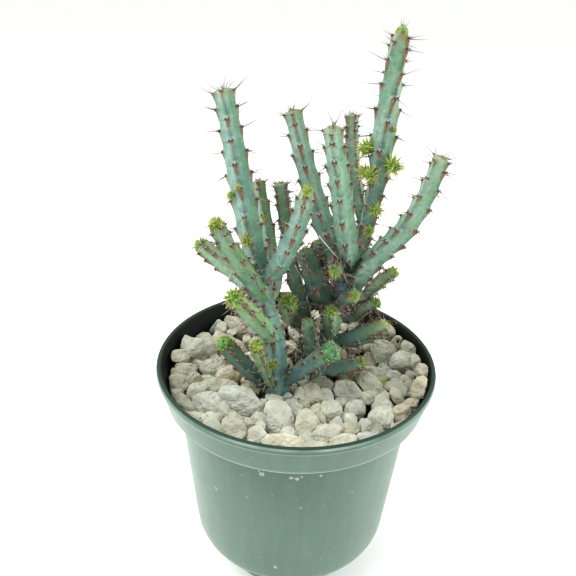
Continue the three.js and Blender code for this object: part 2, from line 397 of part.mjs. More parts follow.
// A stone fills its own room between its neighbours, the stems and the pot wall, with rounded edges.
function stoneGeometry(i, extra = 0) {
  const [x, y, z, a, b, c, turn] = STONES[i];
  const yaw = THREE.MathUtils.degToRad(turn), cs = Math.cos(yaw), sn = Math.sin(yaw);
  const size = s => Math.cbrt(s[3] * s[4] * s[5]);
  const planes = [];
  STONES.forEach((s, j) => {
    if (j === i) return;
    const n = new THREE.Vector3(s[0] - x, s[1] - y, s[2] - z);
    const d = n.length();
    if (d > 22) return;
    const at = (d * d + size(STONES[i]) ** 2 - size(s) ** 2) / (2 * d);
    planes.push([n.divideScalar(d), Math.max(at - GAP / 2 - 0.03, 0.25 * size(STONES[i]))]);
  });
  for (const s of nearStems) {
    const n = new THREE.Vector3(s[0] - x, s[1] - y, s[2] - z);
    const d = n.length();
    if (d > 18) continue;
    planes.push([n.divideScalar(d), Math.max(d - s[3] - GAP - 0.1, 0.3)]);
  }
  const g = new THREE.IcosahedronGeometry(1, 1);
  const p = g.attributes.position;
  const P = 9;
  for (let k = 0; k < p.count; k++) {
    const d = new THREE.Vector3().fromBufferAttribute(p, k).normalize();
    const dx = d.x * cs + d.y * sn, dy = -d.x * sn + d.y * cs;
    const lump = 1 + 0.05 * Math.sin(3.1 * dx + 2.3 * d.z + i) + 0.05 * Math.sin(2.7 * dy - 3.3 * d.z + 2 * i);
    const ell = lump / Math.pow(Math.abs(dx / a) ** 2.5 + Math.abs(dy / b) ** 2.5 + Math.abs(d.z / c) ** 2.5, 1 / 2.5);
    let sum = Math.pow(ell, -P);
    for (const [n, at] of planes) {
      const f = d.dot(n);
      if (f > 0.05) sum += Math.pow(at / f, -P);
    }
    // the collar's inside ledge, then the pot wall
    if (Math.hypot(x, y) + 0.8 * a > 42 && d.z < -0.02) sum += Math.pow(Math.max(z - (z0 - BAND_H + 1.15), 0.3) / -d.z, -P);
    const rw = innerRadius(Math.max(z, z0 - BAND_H + 2)) - 0.5;
    const A = d.x * d.x + d.y * d.y, B = x * d.x + y * d.y, C = x * x + y * y - rw * rw;
    if (A > 1e-6) sum += Math.pow((-B + Math.sqrt(Math.max(B * B - A * C, 0.01))) / A, -P);
    const r = Math.pow(sum, -1 / P) + extra;
    p.setXYZ(k, x + d.x * r, y + d.y * r, z + d.z * r);
  }
  return g;
}

const stones = [];
for (let i = 0; i < OWN_STONES; i++) stones.push({ body: toSolid(stoneGeometry(i)), grown: toSolid(stoneGeometry(i, GAP)) });

// ---------------------------------------------------------------- pumice layer and potting mix
const bedProfile = [
  [0, BED_LOW], [innerRadius(BED_LOW) - 0.4, BED_LOW], [innerRadius(z0 - BAND_H - 0.5) - 0.4, z0 - BAND_H + 0.1],
  [innerRadius(z0 - BAND_H - 0.5) - 0.2, z0 - BAND_H + 1.2], [innerRadius(BED_TOP) - 1.1, z0 - BAND_H + 1.4],
  [innerRadius(BED_TOP) - 0.8, BED_TOP], [40, BED_TOP + 0.01], [32, BED_TOP + 0.02], [24, BED_TOP + 0.03], [16, BED_TOP + 0.02], [8, BED_TOP + 0.01], [0, BED_TOP],
];
const bedGeometry = turned(bedProfile, 30);
{
  const p = bedGeometry.attributes.position;
  for (let k = 0; k < p.count; k++) {
    const x = p.getX(k), y = p.getY(k), z = p.getZ(k);
    if (z < BED_TOP - 0.05) continue;
    p.setZ(k, z + BED_BUMP * Math.sin(0.42 * x + 1.3) * Math.cos(0.37 * y - 0.6));
  }
}
let bed = toSolid(bedGeometry);
for (const s of stems) if (boxesMeet(bed, s.grown)) bed = bed.subtract(s.grown);
for (const s of stones) if (boxesMeet(bed, s.grown)) bed = bed.subtract(s.grown);
{
  const pieces = bed.decompose();
  pieces.sort((a, b) => b.volume() - a.volume());
  bed = pieces[0];
}

const mixProfile = [
  [0, WALL + 0.4], [FOOT_R - 2.2, WALL + 0.4], [FOOT_TOP_R - 1.6, FOOT_H + 1.2], [FOOT_TOP_R - 0.4, FOOT_H + 2.6],
  [35.8, 17.9], [37.2, 19.2], [37.8, 21.0], [BODY_LOW_R - WALL - 0.4, BODY_LOW_Z + 0.2],
  [innerRadius(MIX_TOP) - 0.4, MIX_TOP], [0, MIX_TOP],
];
let mix = toSolid(turned(mixProfile, 30));
for (const s of stems) if (boxesMeet(mix, s.grown)) mix = mix.subtract(s.grown);

// ---------------------------------------------------------------- assembly
const group = new THREE.Group();
function addMesh(name, solid, color, roughness) {
  const material = new THREE.MeshStandardMaterial({ color, roughness, metalness: 0 });
  const mesh = new THREE.Mesh(toGeometry(solid), material);
  mesh.name = name;
  group.add(mesh);
}

addMesh('pot', pot, 0x71897d, 0.42);
addMesh('potting_mix', mix, 0x3a2c22, 0.95);
addMesh('pumice_bed', bed, 0xb9b4a2, 0.95);
const stemColors = { trunk_left: 0x5f9a92, trunk_right: 0x5d9186, stem_mid_dark: 0x477a5c, stem_back_mid: 0x47785a };
for (const s of stems) addMesh(s.row.name, s.body, stemColors[s.row.name] ?? 0x6fa68a, 0.55);
stones.forEach((s, i) => addMesh('pumice_stone_' + String(i + 1).padStart(2, '0'), s.body, i % 3 ? 0xcac5b4 : 0xc4c4be, 0.95));

export default group;
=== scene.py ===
import bpy, bmesh, math
import numpy as np
from mathutils import Matrix, Vector


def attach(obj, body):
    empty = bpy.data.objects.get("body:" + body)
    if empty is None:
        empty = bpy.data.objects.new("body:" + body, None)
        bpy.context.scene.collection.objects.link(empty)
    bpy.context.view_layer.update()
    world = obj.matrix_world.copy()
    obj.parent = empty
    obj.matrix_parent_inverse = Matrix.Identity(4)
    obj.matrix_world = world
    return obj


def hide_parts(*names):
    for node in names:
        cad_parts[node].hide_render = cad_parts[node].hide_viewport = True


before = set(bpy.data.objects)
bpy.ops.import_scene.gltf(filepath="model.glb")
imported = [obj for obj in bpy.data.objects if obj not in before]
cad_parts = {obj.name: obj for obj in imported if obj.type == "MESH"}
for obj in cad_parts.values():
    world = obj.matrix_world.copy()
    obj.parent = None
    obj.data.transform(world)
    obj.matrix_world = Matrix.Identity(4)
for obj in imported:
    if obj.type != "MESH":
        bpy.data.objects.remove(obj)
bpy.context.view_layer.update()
MM = 0.001
scene = bpy.context.scene

# ------------------------------------------------------------------ dimensions, millimetres
RIM_HEIGHT = 95.5
RIM_R, RIM_IN_R = 52.4, 50.3
BAND_H = 12.6
BAND_LOW_R = 49.6
BODY_TOP_R, BODY_LOW_R, BODY_LOW_Z = 44.9, 40.0, 23.5
FOOT_R, FOOT_TOP_R, FOOT_H = 28.2, 30.6, 13.2
WALL = 1.4
DRAIN_HOLES, DRAIN_HOLE_R, DRAIN_CIRCLE_R = 6, 2.6, 34.0
OWN_STONES = 30

# name, turn of the first angle along the stem (mm, degrees), teeth on that angle (mm along),
# centreline points with the width over the angles
STEMS = [
    ('trunk_left', [(0.0, 0)],
     [1.6, 9.0, 16.4, 23.8, 31.5, 39.1, 46.8, 54.4, 62.1, 69.7, 76.9, 85.9, 94.9, 102.5, 109.7, 116.0, 122.3],
     [(-5.5, -10, 70, 7), (-6, -10.5, 78, 8.6), (-6.5, -11, 85.7, 9.3), (-7.3, -11, 95.6, 9.1), (-8.2, -10.5, 108.1, 8.2), (-11.2, -10, 120, 7.7), (-13.1, -10, 129.6, 7.5), (-14.9, -10, 138.9, 7.7), (-16.4, -9.7, 145.9, 7.9), (-17.6, -9.4, 151, 8.1), (-19, -8.8, 159.3, 8), (-20.4, -8.2, 166.3, 7.7), (-22, -7.4, 174.9, 7.1), (-23.7, -6.5, 183.8, 6.4), (-25.4, -5.5, 191.5, 6)]),
    ('trunk_right', [(24.8, -62), (72.5, -58), (90.9, -39), (102.6, -20), (113.0, 0), (120.6, 20), (135.5, 45), (141.3, 62)],
     [6.7, 14.4, 22.1, 29.8, 37.5, 45.2, 52.9, 60.6, 68.3, 76.0, 83.7, 91.4, 97.2, 103.1, 113.0, 120.6, 128.3, 135.9, 139.2],
     [(9, 11, 70, 6.2), (9.6, 12, 79, 7.3), (10.4, 13, 88.7, 7.7), (12.9, 13, 100.1, 7.5), (15.9, 12.5, 113.2, 7.3), (18.6, 12, 123, 7.2), (21.2, 12, 132.3, 7), (23.1, 12.4, 140.6, 6.9), (24.1, 13, 149.3, 6.8), (25.2, 13.5, 156.6, 7.1), (26.1, 14.2, 166.2, 7.6), (26.5, 15, 176.4, 8.2), (27.1, 16, 187.8, 8), (28, 17, 198.8, 8), (29.2, 18, 209, 5.8)]),
    ('stem_back_mid', [(0.0, 45)],
     [7.6, 14.9, 22.2, 29.5, 36.8, 44.1, 51.4, 58.7, 66.0, 73.3, 77.4, 79.9],
     [(2, 11.5, 78, 5.9), (2.6, 10.5, 90, 7), (3.3, 8, 101.7, 7.4), (0.9, 8, 114, 7.2), (-2.2, 8, 125.2, 7), (-4.4, 9, 136.7, 6.5), (-6.3, 10, 147.8, 6.1), (-8, 11, 158.1, 5.3)]),
    ('stub_centre', [(0.0, 45)],
     [5.3, 12.6, 19.9, 27.2, 31.3, 33.8],
     [(7, 3.6, 80, 5.2), (6.8, 3, 89, 6.2), (6.3, 2, 97, 6.5), (4.8, -2, 104.4, 7.1), (3.3, -5, 113.8, 5.4)]),
    ('stem_ground_right', [(0.0, 10)],
     [5.7, 13.0, 20.3, 24.4, 26.9],
     [(7.2, -4.2, 78, 4.6), (8.4, -2, 84, 5.5), (11, 0, 88.5, 5.8), (15.3, -2.5, 91.9, 7.2), (20, -4, 94.1, 6.8), (24.7, -4, 96.2, 4.9)]),
    ('stem_mid_tall', [(0.0, 0)],
     [8.1, 16.2, 24.3, 32.4, 40.5, 49.9, 57.1, 64.3, 66.0],
     [(19.2, 12, 125.2, 4.7), (14.5, 6.5, 129.6, 5.9), (11, 5.5, 138.6, 7.1), (7.2, 5, 147.7, 7.3), (4.3, 4.5, 155.8, 7.2), (1.6, 4, 163.6, 6.7), (-1.1, 3.5, 172.4, 6.4), (-3, 3, 179.5, 5.8), (-4.5, 2.5, 184.6, 5.1)]),
    ('stem_mid_front', [(0.0, -12)],
     [5.5, 13.1, 20.7, 29.7, 38.7, 46.3, 53.1, 59.4, 61.1],
     [(21, 12, 131.7, 5.6), (17.4, 3, 136.1, 7), (15.6, -1, 143.8, 7.9), (13.5, -4, 153.9, 7.6), (11.9, -7, 163.4, 7.2), (10, -10, 172.3, 6.8), (8.8, -12, 178, 6.2), (7.8, -14, 183.4, 5.3)]),
    ('stem_right_arch', [(0.0, 45)],
     [7.0, 13.5, 20.1, 26.6, 32.0, 38.8, 46.9, 53.7, 60.0],
     [(18.4, 12, 122.4, 5.8), (20.7, 6, 124.5, 7.3), (23.7, 4, 130.9, 8.6), (26.5, 2, 136.6, 8.1), (29.9, 0, 141.9, 7.6), (33.6, -1.5, 147.1, 8.1), (36.9, -3, 153.9, 7.5), (39.2, -4, 160.2, 7), (40.9, -5, 167.3, 6.4), (42.3, -6, 173.8, 5.6)]),
    ('stem_back_right', [(0.0, 30)],
     [4.3, 10.6, 16.9, 23.2, 29.5, 35.8, 39.9, 42.5],
     [(22.8, 12.4, 139.6, 3.7), (23.6, 15.2, 140.7, 4.6), (21.3, 17.5, 148.3, 5.5), (18.9, 19.5, 157, 5.4), (17.2, 21.2, 165.7, 5.4), (16.3, 22.8, 173.1, 5), (15.8, 24, 179.9, 4.6)]),
    ('stem_low_right', [(0.0, 0)],
     [1.8, 8.1, 14.4, 20.7, 23.7, 25.6],
     [(11.6, 13, 94.2, 5.5), (17.2, 12, 95.4, 6.8), (21.7, 10, 97.4, 8.3), (26.4, 8.5, 100.9, 8.6), (30.7, 8, 103.7, 8.5), (34.7, 8, 106.1, 7.3)]),
    ('stem_mid_dark', [(0.0, -10)],
     [3.1, 12.1, 21.1, 30.1, 32.9, 34.6],
     [(14.8, 12.7, 108.3, 5.8), (11.3, 8, 111.9, 7.2), (7.8, 6, 119.7, 8.5), (4.7, 4, 128.7, 8), (1, 3, 138.4, 6)]),
    ('stem_v_branch', [(0.0, 0)],
     [6.8, 13.5, 20.2, 25.4, 30.6, 37.3, 40.6],
     [(-13.3, -10, 131, 4.4), (-10.6, -11.5, 133.2, 5.4), (-7.3, -13.5, 138.7, 6.9), (-4.5, -16, 145.7, 6.7), (-1.8, -18.5, 153.6, 6.2), (0, -20.5, 161.6, 5.4), (1.1, -22, 168.4, 4.1)]),
    ('stem_front_left', [(0.0, 42)],
     [2.3, 9.6, 16.9, 24.2, 31.5, 35.6, 38.2],
     [(-12.4, -10, 126.1, 5.1), (-12.4, -14, 127.9, 6.4), (-14.9, -17, 133.5, 6.9), (-17.8, -20, 139.8, 6.5), (-21, -22.5, 146.4, 6), (-23.7, -25, 152.6, 5.4), (-25.9, -26.5, 158.2, 4.7)]),
    ('stem_far_left', [(0.0, 40)],
     [3.6, 9.9, 16.2, 22.5, 26.6, 29.1],
     [(-12.3, -10, 125.5, 4.5), (-17.1, -7, 127.1, 5.6), (-21.6, -4, 130.1, 6.3), (-26.5, -1, 132.3, 6.3), (-31.5, 2, 134.6, 6), (-36.5, 4.5, 137.9, 5.4)]),
    ('stem_low_left', [(0.0, 40)],
     [1.7, 9.0, 16.3, 23.6, 27.6, 30.2],
     [(-8.6, -10.4, 109.7, 4.5), (-8.7, -14, 111.5, 5.6), (-12, -18, 118.2, 6.8), (-15.4, -21.5, 124.3, 6.6), (-18.4, -24, 129.3, 6.1), (-21, -26, 133.5, 5.3)]),
    ('stem_back_left', [(0.0, 0)],
     [5.9, 14.9, 23.9, 32.9, 41.9, 43.0],
     [(-11.7, -10, 122.4, 3.8), (-8.8, -5.5, 125.6, 4.7), (-10, -1, 134.3, 5.3), (-11.8, 3, 142.8, 5.3), (-13.9, 6, 151.6, 4.9), (-15.7, 8, 159.5, 4.1)]),
    ('stem_front_right', [(0.0, 30)],
     [5.8, 13.1, 20.4, 24.5, 27.0],
     [(-6.9, -11, 89.8, 4.5), (-2.3, -11, 92.3, 5.6), (1.6, -13, 97.1, 6.9), (5.7, -14.5, 101.8, 6.7), (9.7, -16, 106, 6.6), (12.9, -17, 109.3, 6.9)]),
    ('sprout_left', [(0.0, 20)],
     [2.9, 9.2, 15.5, 21.8, 25.9, 28.4],
     [(-6.8, -11, 89, 3.7), (-10.6, -12, 90.3, 4.6), (-13.9, -13.5, 94.3, 5.8), (-17.4, -15, 98.7, 6.1), (-20.8, -16, 103.4, 6), (-23.5, -16.5, 107.4, 5.6), (-25.8, -17, 110.8, 5.2)]),
    ('sprout_front', [(0.0, 35)],
     [4.4, 10.7, 17.0, 21.1, 23.7],
     [(-7, -11, 91.1, 2.6), (-8.6, -16, 93.3, 3.2), (-10.7, -18, 100.3, 4.2), (-12.5, -19, 106.3, 4.8), (-13.9, -19.5, 111.9, 4.8)]),
    ('bud_stem_left', [(0.0, 15)],
     [6.7, 14.0, 18.1, 20.7],
     [(2.5, 8, 105.7, 4.4), (-2.2, 5, 107.2, 5.5), (-3.4, 0, 114.3, 7), (-4.2, -4, 121, 7.1)]),
    ('bud_stem_mid', [(0.0, 0)],
     [8.5, 15.8, 19.9, 22.5],
     [(12.8, 13, 99.9, 3.9), (13.1, 5, 102.7, 4.8), (12.5, 1, 109.9, 7.1), (11.8, -2, 116.7, 6.2)]),
    ('stub_mid_back', [(0.0, 20)],
     [8.2, 15.5, 19.5, 22.1],
     [(18, 12.1, 120.8, 4.6), (10.8, 12, 126, 5.7), (7.7, 9, 133.4, 6.6), (5.2, 8, 139.2, 5.8)]),
    ('stub_mid_front', [(0.0, 40)],
     [7.3, 11.4, 13.9],
     [(15.3, 7.5, 128.8, 3.9), (14.4, 3, 128.9, 4.9), (13, -1, 131.5, 6.3), (11.9, -6, 135, 6.5)]),
    ('stub_right_front', [(0.0, 30)],
     [5.5, 11.8, 15.9, 18.5],
     [(15.9, 12.5, 113.1, 3.8), (15.8, 6, 115.8, 4.7), (17.8, 1, 120.7, 6.2), (20.5, -3, 124.2, 5.7)]),
    ('sprout_right_high', [(0.0, 15)],
     [4.4, 10.7, 17.0, 21.0, 23.6],
     [(15.9, 12.5, 113.3, 4.2), (25.2, 14.5, 113.9, 5.2), (28.9, 16, 117.7, 6.2), (32.7, 18, 120.4, 5.8), (36.8, 19.5, 123.3, 4.7)]),
    ('sprout_right_low', [(0.0, 15)],
     [5.6, 11.9, 16.0, 18.5],
     [(14, 12.8, 105, 3.9), (22.2, 12, 106.2, 4.9), (24.9, 10.5, 110.4, 5.8), (27.7, 10, 113, 5.3), (30.2, 10, 114.4, 4.2)]),
]

# centre x, y, z, half sizes, turn, kind; the largest first
STONES = [
    (-19.6, -17.7, 85, 8.4, 8.1, 4.6, -22, "g"), (-40.1, 13.5, 87.9, 6.8, 6.7, 4.7, -10, "a"), (-4.4, -24.7, 84.4, 5.9, 5.7, 5.3, 0, "w"),
    (-29.9, -19.8, 85.6, 6.4, 6.2, 3.9, -12, "w"), (36, 16.3, 87.4, 5, 5, 5.5, 0, "a"), (20.1, -7.8, 84.9, 5.2, 5, 4.7, 0, "g"),
    (28.9, -2.2, 85, 5.1, 4.9, 4.6, -35, "a"), (42.3, 11, 87, 4.9, 4.9, 4.7, 0, "a"), (5.1, -11.8, 85.2, 5.1, 4.9, 4.4, 0, "p"),
    (25.8, 28, 85.3, 5.8, 4.8, 4.8, 50, "a"), (-11.6, 2.2, 85, 5.8, 5, 4.6, 91, "g"), (-30.4, -9.2, 86.6, 6.3, 4.5, 2.9, 0, "a"),
    (14.7, 31.5, 84.8, 5.6, 4.7, 4.8, 176, "a"), (-16.3, 38.5, 87, 5.3, 4.9, 4.8, 135, "r"), (-11.2, 20.4, 84.3, 5.7, 4.8, 4.4, 157, "a"),
    (18.6, 7.6, 85.4, 5.7, 4.9, 4.3, 151, "a"), (22.4, 37.8, 87, 5.2, 4.8, 4.7, 26, "a"), (-32.5, 2.7, 86, 4.6, 4.5, 3.5, 0, "a"),
    (10.8, 20.7, 85.3, 5.2, 4.6, 4.8, 125, "a"), (-29.1, 33.3, 87.2, 4.5, 4.4, 3.6, 0, "a"), (-30.6, 20.4, 85.5, 5.3, 5, 4.3, 38, "r"),
    (-3.8, 8.6, 84.1, 5.3, 4.7, 4.5, 153, "r"), (-3.4, -38.5, 86.6, 6.2, 4, 2.8, 0, "a"), (-10.5, 30.3, 84.7, 5.5, 4.7, 4.2, 104, "w"),
    (30.6, -23.2, 85.3, 4, 3.9, 4.3, 0, "g"), (6.4, 40.7, 86.7, 5.2, 4.9, 4.2, 23, "p"), (-6.6, 40.6, 86.7, 5.6, 4.6, 4.1, 131, "a"),
    (5.2, -28.3, 85.3, 3.9, 3.8, 4.2, 0, "a"), (0.5, 33, 84.9, 5.6, 4.5, 3.9, 129, "a"), (13.7, -21.3, 85.4, 3.8, 3.7, 4.1, 0, "w"),
    (12.3, -32.9, 87, 5.3, 4.4, 2.4, 0, "a"), (37.7, -4.4, 86.2, 4.1, 4, 3.3, -30, "g"), (21.7, -19.1, 85.5, 3.7, 3.6, 4, 0, "w"),
    (43.6, 14.6, 91.7, 3.8, 3.8, 3.6, 0, "p"), (-39.5, -20.3, 86.3, 3.9, 3.8, 3.4, 0, "p"), (-43.5, -9.6, 86.2, 4, 3.9, 3.2, 0, "a"),
    (38.6, -20.6, 86.4, 3.7, 3.6, 3.7, 0, "r"), (43.9, -13.9, 91.3, 3.5, 3.5, 4, 0, "a"), (-2.1, 24.2, 85.5, 4.8, 3.9, 3.7, 68, "a"),
    (-21.9, 15.7, 85.9, 4.6, 3.8, 3.8, 59, "p"), (-20.1, -32, 85.9, 3.4, 3.2, 3.5, 0, "a"), (-21.2, 23.7, 85.9, 3.3, 3.2, 3.6, 0, "r"),
    (31.7, -14.9, 86.4, 3.6, 3.5, 3, 0, "w"), (-23.8, 4.5, 84.9, 4.4, 3.6, 3.8, 62, "a"), (-0.3, -19.8, 86.5, 3.5, 3.4, 3, 0, "w"),
    (-27.7, 11.4, 86.1, 3.2, 3.1, 3.4, 0, "a"), (27.5, 7, 85.7, 4.2, 3.7, 3.4, 39, "a"), (-17.8, 9.8, 86.8, 3.6, 3.4, 2.6, 0, "r"),
    (24.2, 18.2, 87.5, 4.1, 3.9, 1.9, 0, "r"), (-42.1, -0.8, 87.4, 4.2, 3.8, 1.9, 0, "a"), (-45.6, 2.2, 90.3, 3.4, 3.4, 2.6, 0, "a"),
    (17.9, 15.5, 85.5, 4, 3.5, 3.3, 35, "r"), (-24.9, 30.9, 86.3, 3, 2.9, 3.2, 0, "r"), (46.1, 6, 92, 2.9, 2.9, 3.2, 0, "a"),
    (38.2, 26, 92, 2.9, 2.9, 3.2, 0, "a"), (-39.1, 22.9, 86.3, 3.7, 3.3, 3.4, 16, "a"), (38.7, -11.8, 86.3, 2.9, 2.8, 3.1, 0, "g"),
    (-7.5, -14.8, 86.7, 3.1, 3, 2.7, 0, "w"), (18.5, 23.1, 86.4, 3.7, 3.1, 3.4, 159, "a"), (41.7, 19.6, 90.6, 2.8, 2.8, 3.1, 0, "p"),
    (14.4, 42.5, 86.1, 4, 3.1, 3.1, 21, "a"), (2.3, 18, 86.4, 2.8, 2.8, 3, 0, "b"), (-11.9, -35.8, 86.7, 3, 2.9, 2.7, 0, "a"),
    (17.4, -36.9, 87.4, 4.2, 2.9, 1.9, 0, "a"), (-18.4, 29.8, 86.3, 3.8, 3.1, 3.1, 78, "p"), (24.6, -34.5, 87.5, 3.9, 3, 1.8, 0, "a"),
    (42.8, -15.3, 87.3, 3.2, 3.1, 2.1, 0, "a"), (-36.8, -13.3, 86.5, 2.7, 2.6, 2.9, 0, "a"), (10.9, -7.1, 87.5, 3.3, 3.2, 1.9, 0, "g"),
    (-27.6, -32.3, 86.6, 2.7, 2.6, 2.8, 0, "a"), (46.8, -4.1, 92.3, 2.6, 2.6, 2.9, 0, "g"), (31.8, 2.2, 87.2, 3.1, 3, 2.1, 0, "a"),
    (19.8, -30.4, 87.1, 3, 2.9, 2.2, 0, "a"), (-23.6, -2.8, 86.6, 2.6, 2.6, 2.8, 0, "y"), (28.9, 14, 86.6, 2.6, 2.5, 2.8, 0, "y"),
    (30.2, 34.3, 87, 3.4, 2.9, 2.9, 131, "p"), (-38.8, 5, 86.9, 3.3, 3, 2.8, 149, "a"), (35.8, 7.3, 86.7, 3.4, 2.9, 2.8, 112, "g"),
    (-10.7, -5.3, 86.2, 3.2, 3, 2.8, 87, "r"), (34.8, -29.4, 86.3, 3.3, 2.9, 2.8, 77, "p"), (-2.4, -3.2, 86.9, 3.4, 2.7, 2.9, 114, "a"),
    (-4.8, 16.1, 86.8, 3.4, 2.9, 2.7, 42, "a"), (-35, -3.9, 86.4, 3.1, 2.7, 2.9, 41, "a"), (6, -44.9, 86.9, 3.2, 2.8, 2.7, 20, "w"),
    (3.5, -1.3, 86.3, 3.4, 2.8, 2.5, 10, "g"), (13.5, -43.7, 86.4, 3.1, 2.8, 2.7, 43, "r"), (-11.7, 11.6, 86.5, 3.2, 2.8, 2.6, 166, "w"),
    (-14.3, -41.3, 86.8, 3.1, 2.8, 2.6, 129, "a"), (4.5, -35.6, 86.9, 3.2, 2.7, 2.6, 63, "w"), (-0.6, 2, 87.8, 3.1, 3, 1.5, 0, "b"),
    (4.7, 25.9, 87.4, 3.1, 3, 2.4, 73, "r"), (-0.5, 45.3, 87, 3.3, 2.7, 2.5, 80, "a"), (24.4, -28.8, 86.9, 2.4, 2.3, 2.5, 0, "a"),
    (19.1, -1.7, 87.8, 3.4, 2.5, 1.6, 0, "b"), (32.5, 24.5, 87.2, 3.1, 2.8, 2.5, 42, "r"), (-6.9, -45.3, 87, 3.2, 2.9, 2.3, 175, "w"),
    (-16.3, -29.4, 87.5, 2.7, 2.6, 1.9, 0, "a"), (-45.9, -4.1, 87.1, 2.4, 2.4, 2.3, 0, "a"), (12, -13.3, 87.2, 2.5, 2.4, 2.2, 0, "w"),
    (7.9, -20.7, 87.3, 2.6, 2.5, 2, 0, "a"), (38.2, 1.4, 87.7, 2.9, 2.8, 1.6, 0, "a"), (37.4, 27.1, 88.6, 2.5, 2.4, 2.1, 0, "a"),
    (22.3, -39.8, 86.3, 3.2, 2.6, 2.4, 61, "a"), (0.1, -44.2, 86.2, 3, 2.4, 2.5, 118, "w"), (-32.6, -29.3, 87.7, 2.7, 2.6, 1.6, 0, "a"),
    (-36.9, -25.9, 86.5, 3, 2.5, 2.3, 16, "r"), (-14.3, -12.3, 87.1, 2.2, 2.1, 2.3, 0, "b"), (-11.9, -26.5, 87.2, 2.7, 2.6, 2.4, 165, "g"),
    (28.3, -9.6, 86, 2.9, 2.4, 2.4, 156, "a"), (-27.4, -27, 87.2, 2.9, 2.3, 2.5, 25, "w"), (-17.3, -36, 87.4, 2.3, 2.2, 2, 0, "a"),
    (9.7, 7.2, 86.5, 2.8, 2.5, 2.3, 71, "p"), (-20.1, -41.1, 86.9, 3, 2.5, 2.1, 159, "a"), (-23.8, 38.8, 86.7, 2.7, 2.4, 2.4, 80, "a"),
    (-11.5, -20.3, 87.1, 2.1, 2, 2.3, 0, "a"), (-18.6, 1.4, 87.2, 2.8, 2.3, 2.4, 126, "g"), (29.2, -29.7, 87.2, 2.8, 2.4, 2.3, 85, "p"),
    (44.4, 3.5, 87.5, 2.3, 2.2, 1.9, 0, "a"), (19.7, -24.9, 87.6, 3, 2.4, 2.1, 97, "g"), (-0.9, -32.3, 86.6, 3, 2.4, 2.1, 32, "w"),
    (7.2, 31.3, 87, 2.9, 2.3, 2.2, 175, "r"), (-18.3, -5.7, 88, 2.6, 2.5, 1.4, 0, "a"), (41.3, -2, 87.9, 2.6, 2.5, 1.4, 0, "a"),
    (9.4, -40.1, 88, 2.9, 2.4, 1.3, 0, "b"), (42.9, -4.7, 87.2, 2, 2, 2.2, 0, "a"), (-22.3, -28.1, 87.8, 2.4, 2.3, 1.5, 0, "g"),
    (-43.3, -15.6, 87.8, 2.7, 2.3, 2.1, 81, "a"), (23.8, 0.9, 88.1, 2.7, 2.5, 1.2, 0, "y"), (2.5, -40.7, 88.1, 2.6, 2.5, 1.2, 0, "a"),
    (-35.3, 30.4, 87.3, 1.9, 1.9, 2.1, 60, "s"), (29.3, 19, 87.4, 2.6, 2.1, 2.1, 54, "a"), (-24, -9.2, 87.2, 2.4, 2.2, 2.1, 147, "r"),
    (16.9, -14.6, 86.8, 2.5, 2.1, 2.1, 18, "a"), (-33.1, 26.9, 87.5, 2.5, 2.1, 2.1, 55, "a"), (-1.1, -8.4, 87.6, 2.3, 2.2, 2.1, 155, "a"),
    (-15.6, 25.1, 87.3, 2.4, 2, 2.2, 120, "a"), (-17.8, 19.7, 87.5, 2.5, 2, 2.1, 174, "a"), (15.2, -26.7, 87.3, 2.6, 2, 2, 26, "g"),
    (-15.4, 15.2, 86.9, 2.3, 2.2, 2, 103, "a"), (34, 29.8, 87.5, 2.4, 2.2, 1.9, 67, "g"), (33.4, -9.9, 87.1, 2.6, 2, 1.9, 155, "r"),
    (-10.5, -32.3, 87.7, 2, 1.9, 1.6, 0, "g"), (-24.3, -38.9, 88.1, 2.3, 2.2, 1.2, 0, "a"), (-28.5, -3.1, 86.7, 2.4, 2.2, 1.8, 119, "a"),
    (2.2, 5.5, 87.9, 2.5, 2, 1.9, 51, "a"), (24.8, -13.6, 87.1, 2.5, 2.1, 1.8, 89, "a"), (45.2, -11.9, 87.5, 1.8, 1.7, 1.9, 0, "a"),
    (23.7, 13.1, 87.8, 2.3, 2, 1.8, 125, "g"), (-2.7, -14.5, 87.7, 1.8, 1.7, 1.6, 0, "g"), (-32.9, 10.2, 87.5, 2.2, 1.9, 1.7, 164, "a"),
    (-16, -2.3, 87.7, 2.1, 1.9, 1.7, 17, "a"), (-18.6, -9.7, 87.6, 2.2, 1.8, 1.7, 71, "r"), (31.7, -32.8, 88.2, 2, 1.9, 1.1, 0, "a"),
    (-37.5, -8.4, 88, 2.2, 1.9, 1.6, 150, "g"), (3.8, 46.5, 87, 2, 1.9, 1.7, 56, "r"), (-13, 44.8, 86.9, 2.1, 1.8, 1.7, 124, "r"),
    (13.2, -38.9, 86.9, 2.1, 1.8, 1.7, 65, "a"), (0.2, 39, 87.2, 2.1, 1.9, 1.6, 145, "a"), (-9.8, -41.8, 87.8, 2.1, 1.9, 1.6, 71, "p"),
    (6.6, -5.3, 87.4, 2.2, 1.7, 1.7, 121, "a"), (-43.3, 6.5, 87.4, 2, 1.7, 1.8, 0, "g"), (45.4, -0.6, 86.9, 2, 1.9, 1.6, 85, "w"),
    (45, -8, 87.5, 2.2, 1.7, 1.6, 9, "a"), (9.6, -27.1, 87.7, 1.5, 1.5, 1.6, 0, "a"), (-28.9, 26.4, 88, 2.1, 1.8, 1.5, 71, "a"),
    (4.2, -17.9, 88.2, 2, 1.7, 1.6, 85, "a"), (18.9, -42.3, 88.3, 2, 1.8, 1.5, 156, "a"), (14.7, 2.3, 87.5, 2, 1.7, 1.5, 87, "p"),
]

